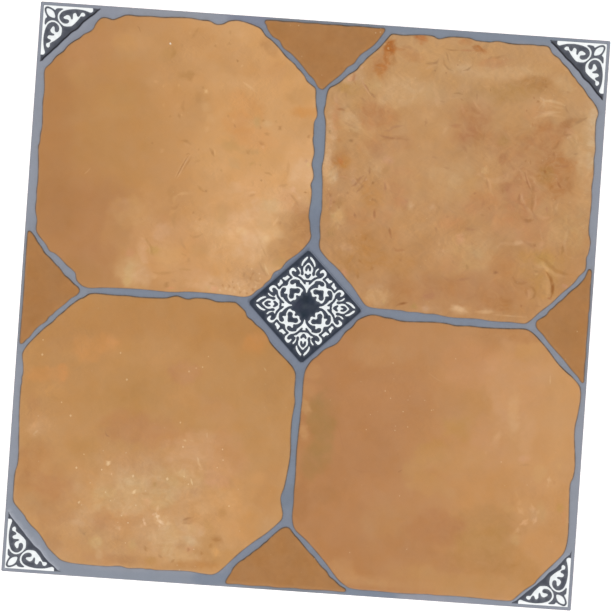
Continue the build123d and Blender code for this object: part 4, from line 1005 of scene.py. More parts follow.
for px, py, pr in ((-146.6, -134.6, 1.25), (-151.4, -139.8, 0.55), (-126.4, -143.0, 0.82), (-124.8, -155.6, 1.05),
                   (-99.4, -143.4, 0.95), (-88.8, -117.4, 0.6), (-136.6, -67.6, 0.7), (-186.6, -89.0, 0.5),
                   (-178.8, -99.0, 0.75), (-204.4, -52.6, 0.75), (-143.0, -47.0, 0.6), (-88.2, -57.8, 0.6),
                   (-77.8, -53.6, 0.5), (-82.8, -54.8, 0.4), (-73.8, -45.0, 0.4), (-92.2, -98.4, 0.6),
                   (-171.4, -139.6, 0.7), (-57.6, -117.2, 0.5), (-56.6, -125.6, 0.45), (-60.8, -131.8, 0.4),
                   (-167.6, -166.8, 0.7), (-133.4, -174.8, 0.35), (-128.8, -196.0, 0.35), (-49.4, -161.4, 0.5),
                   (-204.6, -41.0, 0.5), (-166.2, -128.6, 0.4), (-143.4, -142.6, 0.3), (-82.6, -146.4, 0.5)):
    dot(px, py, pr * 1.3, (238, 204, 160), 0.82 if py < -110 else 0.64)
stroke([(-129.8, -169.8), (-125.4, -166.4)], 1.00, (214, 176, 132), 0.50)
stroke([(-134.4, -175.6), (-131.6, -171.8)], 1.00, (214, 174, 130), 0.50)
stroke([(-137.2, -185.2), (-133.4, -183.6)], 1.10, (218, 180, 138), 0.50)
stroke([(-76.6, -125.2), (-75.6, -129.4), (-72.4, -133.8)], 0.90, (220, 182, 138), 0.50)
# front right
stroke([(175.6, -135.4), (176.4, -137.4)], 1.95, (209, 160, 110), 0.65)
dot(178.4, -142.4, 1.95, (209, 159, 111), 0.60)
stroke([(178.0, -147.6), (180.4, -149.4), (182.0, -151.2)], 1.95, (213, 166, 119), 0.75)
stroke([(181.4, -159.6), (183.8, -158.0), (185.6, -156.0)], 1.95, (224, 174, 128), 0.85)
stroke([(190.9, -158.0), (191.6, -156.0), (192.4, -154.0)], 1.56, (222, 174, 128), 0.80)
stroke([(192.8, -151.0), (194.2, -147.6)], 1.30, (212, 168, 120), 0.60)
stroke([(188.4, -144.4), (189.0, -146.6), (189.8, -149.0)], 1.95, (216, 171, 127), 0.75)
dot(178.6, -164.2, 1.69, (213, 167, 120), 0.70)
stroke([(200.8, -121.4), (200.4, -124.8)], 1.60, (220, 176, 128), 0.85)
stroke([(200.2, -126.6), (199.8, -129.0)], 1.00, (209, 163, 117), 0.55)
dot(205.0, -125.0, 1.40, (184, 133, 87), 0.40)
stroke([(149.4, -103.6), (149.6, -106.6)], 0.80, (212, 166, 122), 0.45)
stroke([(99.6, -45.4), (104.4, -48.8), (111.8, -52.6)], 0.40, (208, 166, 122), 0.3)
stroke([(195.8, -41.2), (196.2, -48.0)], 0.42, (226, 190, 142), 0.55)
stroke([(84.6, -123.4), (81.6, -125.6)], 0.5, (146, 100, 68), 0.4)
stroke([(28.4, -101.6), (28.0, -103.2)], 0.5, (138, 98, 70), 0.4)
stroke([(184.0, -112.4), (180.6, -112.8), (177.0, -113.4)], 0.9, (176, 132, 88), 0.40)
stroke([(29.4, -91.4), (33.4, -96.0), (37.4, -110.8)], 0.5, (166, 114, 76), 0.3)
stroke([(45.0, -124.0), (52.0, -127.4), (60.4, -126.6)], 0.5, (168, 116, 78), 0.3)
for px, py, pr in ((71.6, -40.0, 0.5), (67.0, -62.4, 0.55), (71.6, -67.8, 0.55), (82.2, -77.6, 0.55),
                   (54.2, -93.8, 0.5), (76.8, -92.8, 0.5), (104.4, -75.0, 0.5), (98.6, -67.6, 0.4), (85.4, -68.2, 0.4),
                   (86.6, -89.4, 0.5), (120.6, -33.2, 0.5), (162.0, -111.8, 0.55), (84.0, -144.0, 0.45),
                   (56.6, -81.8, 0.4), (92.6, -185.6, 0.4), (48.0, -191.2, 0.45), (77.0, -89.4, 0.4)):
    dot(px, py, pr, (230, 198, 160), 0.7)

for line, width, *_ in MARKS:  # rows of points that let the mesh carry the marks
    run = np.r_[0, np.cumsum(np.hypot(*np.diff(line, axis=0).T))]
    n = max(int(run[-1] / max(0.9, width)), 1) + 1
    at = np.linspace(0, run[-1], n)
    mid = np.c_[np.interp(at, run, line[:, 0]), np.interp(at, run, line[:, 1])]
    t = np.gradient(mid, axis=0) if n > 1 else np.array([[1.0, 0.0]])
    t /= np.maximum(np.hypot(*t.T), 1e-9)[:, None]
    side = np.c_[-t[:, 1], t[:, 0]]
    for k in (-1.5, -0.7, 0, 0.7, 1.5):
        free.append(mid + side * width * k)
    for end, way in ((mid[0], -t[0]), (mid[-1], t[-1])):
        free.append(arr([end + way * width * 1.4]))
fine = np.vstack(free)
keep = (outline_edge.near(fine)[0] > 0.25) & (np.abs(fine).max(1) < SIDE / 2 - ARRIS - 0.4)
fine = fine[keep]

# thin the fine points where rows cross, then fill the rest with a jittered triangular grid
rng = np.random.default_rng(5)


def thin(pts, gap):
    cell, kept = {}, []
    for i, (x, y) in enumerate(pts):
        cx, cy = int(math.floor(x / gap)), int(math.floor(y / gap))
        near = False
        for a in (-1, 0, 1):
            for b in (-1, 0, 1):
                for j in cell.get((cx + a, cy + b), ()):
                    if (pts[j][0] - x) ** 2 + (pts[j][1] - y) ** 2 < gap * gap:
                        near = True
                        break
        if not near:
            cell.setdefault((cx, cy), []).append(i)
            kept.append(i)
    return pts[kept]


fine = thin(fine, 0.2)
add(fine)


def hexes(gap):
    rows = []
    for j, y in enumerate(np.arange(-SIDE / 2 + 1.6, SIDE / 2 - 1.6, gap * math.sqrt(3) / 2)):
        x = np.arange(-SIDE / 2 + 1.6 + (j % 2) * gap / 2, SIDE / 2 - 1.6, gap)
        rows.append(np.c_[x, np.full(len(x), y)])
    p = np.vstack(rows)
    return p + rng.uniform(-0.16, 0.16, p.shape) * gap


tree = kdtree.KDTree(len(points))
for i, (x, y) in enumerate(points):
    tree.insert((x, y, 0), i)
tree.balance()
for gap, want in ((GAP_FIELD, True), (GAP_JOINT, False)):
    grid = hexes(gap)
    field = np.zeros(len(grid), bool)
    for _, kind, loop in FIELDS:
        field |= inside(loop, grid)
    grid = grid[field == want]
    clear = np.array([tree.find((x, y, 0))[2] for x, y in grid]) > gap * 0.55
    add(grid[clear])

edges = []
for loop in loops:
    edges += [(loop[i], loop[(i + 1) % len(loop)]) for i in range(len(loop))]
flat, _, tris, came_from, _, _ = delaunay_2d_cdt([Vector(p) for p in points], edges, [], 1, 1e-5, True)
flat = np.array([(v.x, v.y) for v in flat])
tris = np.array([list(t) for t in tris])
place = {}
for new, olds in enumerate(came_from):
    for old in olds:
        place[old] = new
rim = [place[i] for i in loops[0]]

# ---------------------------------------------------------------- where each point and face lies
def locate(pts):
    """The field that each point is in, or -1, and whether white ornament covers it."""
    field = np.full(len(pts), -1)
    for i, (_, _, loop) in enumerate(FIELDS):
        field[inside(loop, pts)] = i
    white = np.zeros(len(pts), bool)
    for i, (name, kind, _) in enumerate(FIELDS):
        if kind in ("corner", "centre"):
            odd = np.zeros(len(pts), bool)
            for owner, loop in WHITE:
                if owner == name:
                    odd ^= inside(loop, pts)
            white |= odd & (field == i)
    return field, white


X, Y = flat[:, 0], flat[:, 1]
dist, nearest = outline_edge.near(flat)
owner = outline_edge.which[nearest]
out = -outline_edge.n[nearest]                 # outward normal of the nearest edge
facing = np.degrees(np.arctan2(out[:, 1], out[:, 0]))
field, covered = locate(flat)
on_edge = dist < 1e-3
depth = np.where(on_edge, 0.0, np.where(field >= 0, dist, -dist))
kinds = np.array([k for _, k, _ in FIELDS])
kind = kinds[owner]
white_dist, _ = white_edge.near(flat)
from_side = SIDE / 2 - np.maximum(np.abs(X), np.abs(Y))

# heights
inset = (kind == "corner") | (kind == "centre")
low = JOINT + 0.45 * step01((depth + 0.35) / 0.35)
low -= 0.10 * np.clip(-depth / 3, 0, 1) * step01((from_side - ARRIS) / 2)
low += 0.035 * noise(X, Y, 2.6, 1, 3) * step01(-depth / 1.2) * step01((from_side - ARRIS) / 1.5)
rise = np.where(inset, 0.13, 0.25) * (1 - (1 - np.clip(depth / np.where(inset, 0.7, 1.7), 0, 1)) ** 2)
wave = 0.5 + 0.32 * noise(X, Y, 46, 2, 2) + 0.30 * noise(X, Y, 11, 3, 3)
high = JOINT + 0.45 + rise - np.where(inset, 0.0, 0.11 * wave * step01(depth / 6))
Z = np.where(depth < 0, low, high)
lift = ENAMEL * np.where(covered | (white_dist < 1e-3), 1.0, 1 - step01(white_dist / 0.15))
Z += np.where(inset & (depth > -1e-6) & (field >= 0) | (white_dist < 1e-3), lift, 0.0)
Z = np.minimum(Z, TOP)


# ---------------------------------------------------------------- colours in plan
def blots(base, x, y, spots, seed=0):
    """Soft-edged, uneven patches laid over a base colour one after another."""
    c = np.array(base, float)
    wx = x + 7 * noise(x, y, 30, 4, 3)
    wy = y + 7 * noise(x, y, 30, 5, 3)
    for i, (px, py, rx, ry, angle, colour, strength, soft, ragged) in enumerate(spots):
        a = math.radians(angle)
        k = min(1.0, min(rx, ry) / 9)          # small patches stay where they are
        u = ((x + (wx - x) * k - px) * math.cos(a) + (y + (wy - y) * k - py) * math.sin(a)) / rx
        v = (-(x + (wx - x) * k - px) * math.sin(a) + (y + (wy - y) * k - py) * math.cos(a)) / ry
        size = min(max(min(rx, ry) * 0.6, 3.0), 14.0)
        rho = np.hypot(u, v) + ragged * 1.3 * noise(x, y, size, seed + i, 4, 0.6)
        w = strength * step01((1 + soft / 2 - rho) / soft)
        c += (np.array(colour, float) - c) * w[:, None]
    return c


def blend(x0, y0, x1, y1, a, b, x, y):
    t = ((x - x0) * (x1 - x0) + (y - y0) * (y1 - y0)) / ((x1 - x0) ** 2 + (y1 - y0) ** 2)
    t = step01(t)[:, None]
    return np.array(a, float) * (1 - t) + np.array(b, float) * t


# each patch: centre, half sizes, turn, colour, strength, softness, raggedness
BACK_LEFT = [
    (-153, 133, 40, 50, 0, (188, 139, 87), 0.55, 1.1, 0.25),
    (-206, 108, 15, 85, 0, (177, 126, 79), 0.60, 1.0, 0.15),
    (-187, 187, 24, 14, 30, (189, 138, 92), 0.70, 0.9, 0.2),
    (-172, 52, 42, 34, 10, (180, 129, 85), 0.85, 0.9, 0.25),
    (-203, 62, 20, 24, 0, (173, 123, 78), 0.70, 1.0, 0.2),
    (-175, 17, 14, 8, -30, (178, 128, 80), 0.60, 0.9, 0.3),
    (-60, 112, 34, 26, 0, (207, 156, 101), 0.65, 1.1, 0.3),
    (-45, 62, 42, 44, 0, (213, 162, 111), 0.75, 1.2, 0.3),
    (-33, 64, 15, 30, -25, (215, 171, 123), 0.42, 0.8, 0.45),
    (-40, 36, 12, 18, 10, (213, 168, 118), 0.55, 0.9, 0.5),
    (-66, 52, 20, 16, 0, (215, 168, 118), 0.50, 1.0, 0.5),
    (-118, 40, 26, 20, 25, (202, 152, 105), 0.75, 0.9, 0.35),
    (-137, 15, 12, 12, 0, (204, 160, 112), 0.75, 0.7, 0.35),
    (-96, 24, 34, 16, 0, (205, 153, 102), 0.65, 0.9, 0.35),
    (-150, 40, 12, 14, -20, (189, 140, 92), 0.60, 0.8, 0.4),
    (-14, 53, 12, 22, -10, (184, 132, 87), 0.90, 0.7, 0.35),
    (-20, 84, 7, 9, 30, (212, 160, 116), 0.60, 0.8, 0.6),
    (-40, 22, 20, 12, 0, (194, 146, 102), 0.50, 0.7, 0.8),
    (-56, 153, 15, 9, -25, (207, 150, 94), 0.70, 0.8, 0.45),
    (-48, 130, 15, 9, 5, (210, 153, 98), 0.70, 0.8, 0.45),
    (-63, 139, 9, 12, 0, (208, 148, 90), 0.50, 0.8, 0.5),
    (-10, 153, 11, 4.5, 0, (206, 147, 88), 0.80, 0.7, 0.3),
    (-15, 165, 9, 7, 0, (198, 149, 97), 0.60, 0.8, 0.4),
    (-10, 117, 12, 24, 0, (217, 167, 117), 0.75, 0.9, 0.35),
    (-8, 140, 8, 9, 0, (196, 148, 98), 0.50, 0.8, 0.4),
    (-145, 192, 24, 13, 0, (193, 147, 99), 0.55, 0.9, 0.3),
    (-109, 178, 11, 7, -15, (190, 141, 90), 0.40, 0.8, 0.4),
    (-120, 190, 8, 10, 0, (190, 142, 93), 0.50, 0.8, 0.4),
    (-42, 203, 8, 5, -30, (184, 135, 87), 0.55, 0.8, 0.4),
    (-99, 150, 12, 14, 0, (190, 142, 92), 0.45, 0.8, 0.4),
    (-107, 86, 8, 18, 10, (194, 144, 95), 0.50, 0.9, 0.4),
    (-113, 63, 6, 12, 10, (190, 141, 94), 0.50, 0.8, 0.4),
    (-72, 68, 9, 8, 0, (198, 150, 100), 0.40, 0.8, 0.5),
    (-126, 165, 9, 6, 0, (206, 158, 108), 0.22, 0.8, 0.6),
    (-13, 66, 11.5, 14, 0, (187, 137, 89), 0.85, 0.4, 0.2),
    (-16, 50, 9, 9, 0, (190, 141, 93), 0.80, 0.5, 0.25),
    (-22, 40, 9, 7, 20, (190, 143, 97), 0.80, 0.5, 0.25),
    (-24, 33, 6, 4, 20, (193, 149, 98), 0.70, 0.6, 0.3),
    (-10, 77, 8, 4, 0, (191, 141, 101), 0.60, 0.6, 0.3),
    (-57, 58, 13, 12, 0, (221, 174, 129), 0.70, 0.8, 0.45),
    (-42, 48, 9, 9, 0, (216, 173, 127), 0.45, 0.8, 0.45),
    (-10, 104, 9, 15, 0, (219, 174, 130), 0.70, 0.8, 0.35),
    (-62, 10, 20, 8, 0, (212, 167, 123), 0.70, 0.8, 0.4),
    (-140, 64, 15, 13, 0, (198, 150, 99), 0.80, 0.8, 0.4),
    (-153, 196, 12, 9, 0, (201, 150, 99), 0.55, 0.8, 0.4),
    (-145, 27, 8, 9, -20, (192, 143, 94), 0.60, 0.8, 0.4),
    (-110, 30, 10, 8, 0, (209, 161, 109), 0.50, 0.8, 0.4),
    (-30, 186, 10, 8, 0, (201, 152, 100), 0.50, 0.8, 0.4),
    (-57, 55, 4.5, 3.6, 0, (227, 185, 138), 0.65, 0.7, 0.35),
    (-29, 58.5, 5.5, 2.8, 10, (223, 179, 131), 0.40, 0.7, 0.35),
    (-35.6, 49, 3.2, 4.2, 0, (223, 181, 133), 0.60, 0.7, 0.35),
    (-45, 35.5, 3.4, 3.2, 0, (219, 175, 128), 0.50, 0.7, 0.35),
    (-46, 20, 6, 6, 0, (191, 147, 104), 0.65, 0.7, 0.4),
    (-47, 71, 5, 5, 0, (219, 169, 129), 0.55, 0.7, 0.4),
    (-73, 67, 4, 8, 0, (204, 158, 106), 0.50, 0.7, 0.4),
    (-72, 12, 6, 3, 0, (198, 152, 108), 0.50, 0.7, 0.4),
    (-73.5, 7.6, 3, 1.8, 0, (216, 158, 120), 0.60, 0.7, 0.4),
    (-79, 8.6, 2, 1.8, 0, (200, 160, 108), 0.55, 0.7, 0.4),
    (-63, 141, 6, 6, 0, (202, 148, 98), 0.35, 0.7, 0.4),
    (-48.6, 142, 2.8, 4.4, 0, (195, 156, 104), 0.60, 0.7, 0.35),
    (-41, 141, 4.2, 2.6, 0, (212, 168, 118), 0.60, 0.7, 0.35),
    (-66, 121, 8, 4, 0, (189, 147, 95), 0.50, 0.7, 0.4),
    (-52, 118, 8, 2.2, 5, (192, 148, 98), 0.50, 0.7, 0.4),
    (-33, 77, 8, 6, 15, (208, 172, 128), 0.65, 0.7, 0.35),
    (-43, 78, 4, 6, -10, (217, 171, 131), 0.55, 0.7, 0.4),
    (-12, 104, 8, 7, 0, (222, 180, 140), 0.25, 0.7, 0.35),
    (-62, 89, 4.4, 4.4, 0, (213, 167, 123), 0.50, 0.7, 0.4),
    (-64, 108, 4, 6, 0, (198, 156, 108), 0.50, 0.7, 0.4),
    (-20, 72, 3, 6, -20, (210, 168, 122), 0.30, 0.6, 0.4),
    (-138, 15, 4.5, 6, 0, (205, 169, 121), 0.75, 0.5, 0.25),
    (-141, 8, 3.6, 3.4, 0, (207, 171, 118), 0.65, 0.6, 0.3),
    (-129.5, 33, 3.4, 10, 15, (211, 163, 119), 0.65, 0.6, 0.3),
    (-145, 48, 6, 12, 0, (184, 136, 90), 0.55, 0.6, 0.3),
    (-140, 31, 3.8, 3.2, 0, (201, 145, 103), 0.60, 0.7, 0.35),
    (-117, 49, 6.5, 7, 0, (209, 161, 119), 0.55, 0.7, 0.35),
    (-121, 34, 4.4, 3.4, 0, (190, 148, 88), 0.60, 0.7, 0.35),
    (-116, 61, 3, 4.4, 0, (195, 143, 96), 0.55, 0.7, 0.35),
    (-84.6, 60.6, 3, 3, 0, (215, 167, 119), 0.50, 0.7, 0.35),
    (-74, 52, 4.4, 3.6, 0, (218, 172, 126), 0.55, 0.7, 0.35),
    (-88, 18, 9, 4, 0, (207, 159, 119), 0.25, 0.7, 0.35),
    (-88, 9, 8, 2.8, 0, (214, 166, 122), 0.55, 0.7, 0.35),
    (-78, 37, 3.2, 8, 0, (215, 167, 119), 0.50, 0.7, 0.35),
    (-88, 36, 6, 5, 0, (193, 147, 98), 0.50, 0.7, 0.4),
    (-147, 70, 4, 5, 0, (190, 142, 104), 0.45, 0.7, 0.4),
    (-70, 190, 22, 12, 0, (199, 148, 97), 0.65, 0.8, 0.5),
    (-50, 42, 12, 11, 0, (219, 175, 134), 0.50, 0.8, 0.4),
    (-128, 14, 7, 7, 0, (208, 164, 122), 0.70, 0.7, 0.35),
    (-153, 67, 7, 6, 0, (184, 134, 90), 0.60, 0.7, 0.4),
    (-37, 185, 10, 9, 0, (199, 148, 99), 0.50, 0.8, 0.4),
    (-158, 194, 9, 7, 0, (199, 147, 91), 0.50, 0.8, 0.4),
    (-41, 68, 11, 12, -20, (207, 163, 116), 0.45, 0.8, 0.4),
    (-24, 61, 6, 12, 10, (197, 155, 112), 0.50, 0.8, 0.4),
    (-27, 43, 6, 8, -30, (196, 150, 104), 0.50, 0.7, 0.4),
    (-62, 27, 14, 9, 0, (211, 164, 116), 0.50, 0.8, 0.4),
    (-7, 81, 6, 5, 0, (208, 162, 116), 0.50, 0.7, 0.4),
    (-12, 96, 7, 6, 0, (208, 160, 112), 0.50, 0.8, 0.4),
    (-49, 90, 12, 10, 15, (220, 169, 120), 0.50, 0.8, 0.4),
    (-61, 155, 8, 7, 0, (213, 159, 106), 0.40, 0.8, 0.4),
    (-85, 91, 11, 10, 0, (199, 149, 97), 0.45, 0.9, 0.4),
    (-78, 186, 9, 8, 0, (195, 144, 91), 0.40, 0.8, 0.4),
    (-178, 108, 10, 12, 0, (179, 129, 79), 0.40, 0.9, 0.4),
    (-189, 168, 9, 9, 0, (189, 140, 87), 0.45, 0.9, 0.4),
    (-160, 150, 12, 12, 0, (191, 143, 90), 0.40, 0.9, 0.4),
    (-84, 12, 9, 5, 0, (213, 163, 116), 0.40, 0.8, 0.4),
    (-20, 63, 9, 15, 8, (192, 146, 100), 0.50, 0.5, 0.3),
    (-28, 44, 7, 8, -30, (192, 146, 99), 0.50, 0.5, 0.3),
    (-128, 68, 10, 14, 0, (200, 152, 105), 0.55, 0.8, 0.4),
    (-128, 85, 7, 6, 0, (199, 148, 97), 0.50, 0.8, 0.4),
    (-150, 64, 6, 7, 0, (186, 137, 90), 0.45, 0.8, 0.4),
    (-130, 49, 8, 8, 0, (203, 153, 105), 0.50, 0.8, 0.4),
    (-117, 152, 14, 12, 0, (200, 149, 98), 0.50, 0.9, 0.4),
    (-100, 206, 14, 8, 0, (195, 144, 93), 0.50, 0.8, 0.4),
    (-106.6, 174.6, 5.2, 3.6, 0, (183, 135, 84), 0.75, 0.6, 0.4),
    (-123.5, 190.6, 4, 5, 0, (189, 143, 91), 0.55, 0.7, 0.4),
    (-97.2, 157, 2.8, 4.6, 0, (185, 137, 87), 0.55, 0.7, 0.4),
    (-90, 149.6, 4.2, 3.2, 0, (206, 161, 111), 0.50, 0.7, 0.4),
    (-85, 141.6, 4.2, 3.8, 0, (207, 160, 109), 0.50, 0.7, 0.4),
    (-67.6, 208.6, 3.2, 3, 0, (212, 164, 116), 0.45, 0.7, 0.4),
    (-27, 56, 4.4, 4, -40, (212, 171, 125), 0.50, 0.8, 0.4),
    (-23.6, 77, 4.4, 4.6, -40, (217, 172, 127), 0.50, 0.8, 0.4),
    (-25, 89, 6, 5, 0, (220, 171, 124), 0.45, 0.8, 0.4),
    (-38, 60, 5, 4.4, 0, (203, 160, 112), 0.40, 0.8, 0.4),
    (-160, 30, 9, 7, 0, (178, 125, 82), 0.35, 0.8, 0.4),
    (-135, 41, 7, 6, 0, (195, 146, 99), 0.45, 0.8, 0.4),
    (-111.5, 81, 2.8, 7, 0, (187, 138, 89), 0.55, 0.7, 0.35),
]
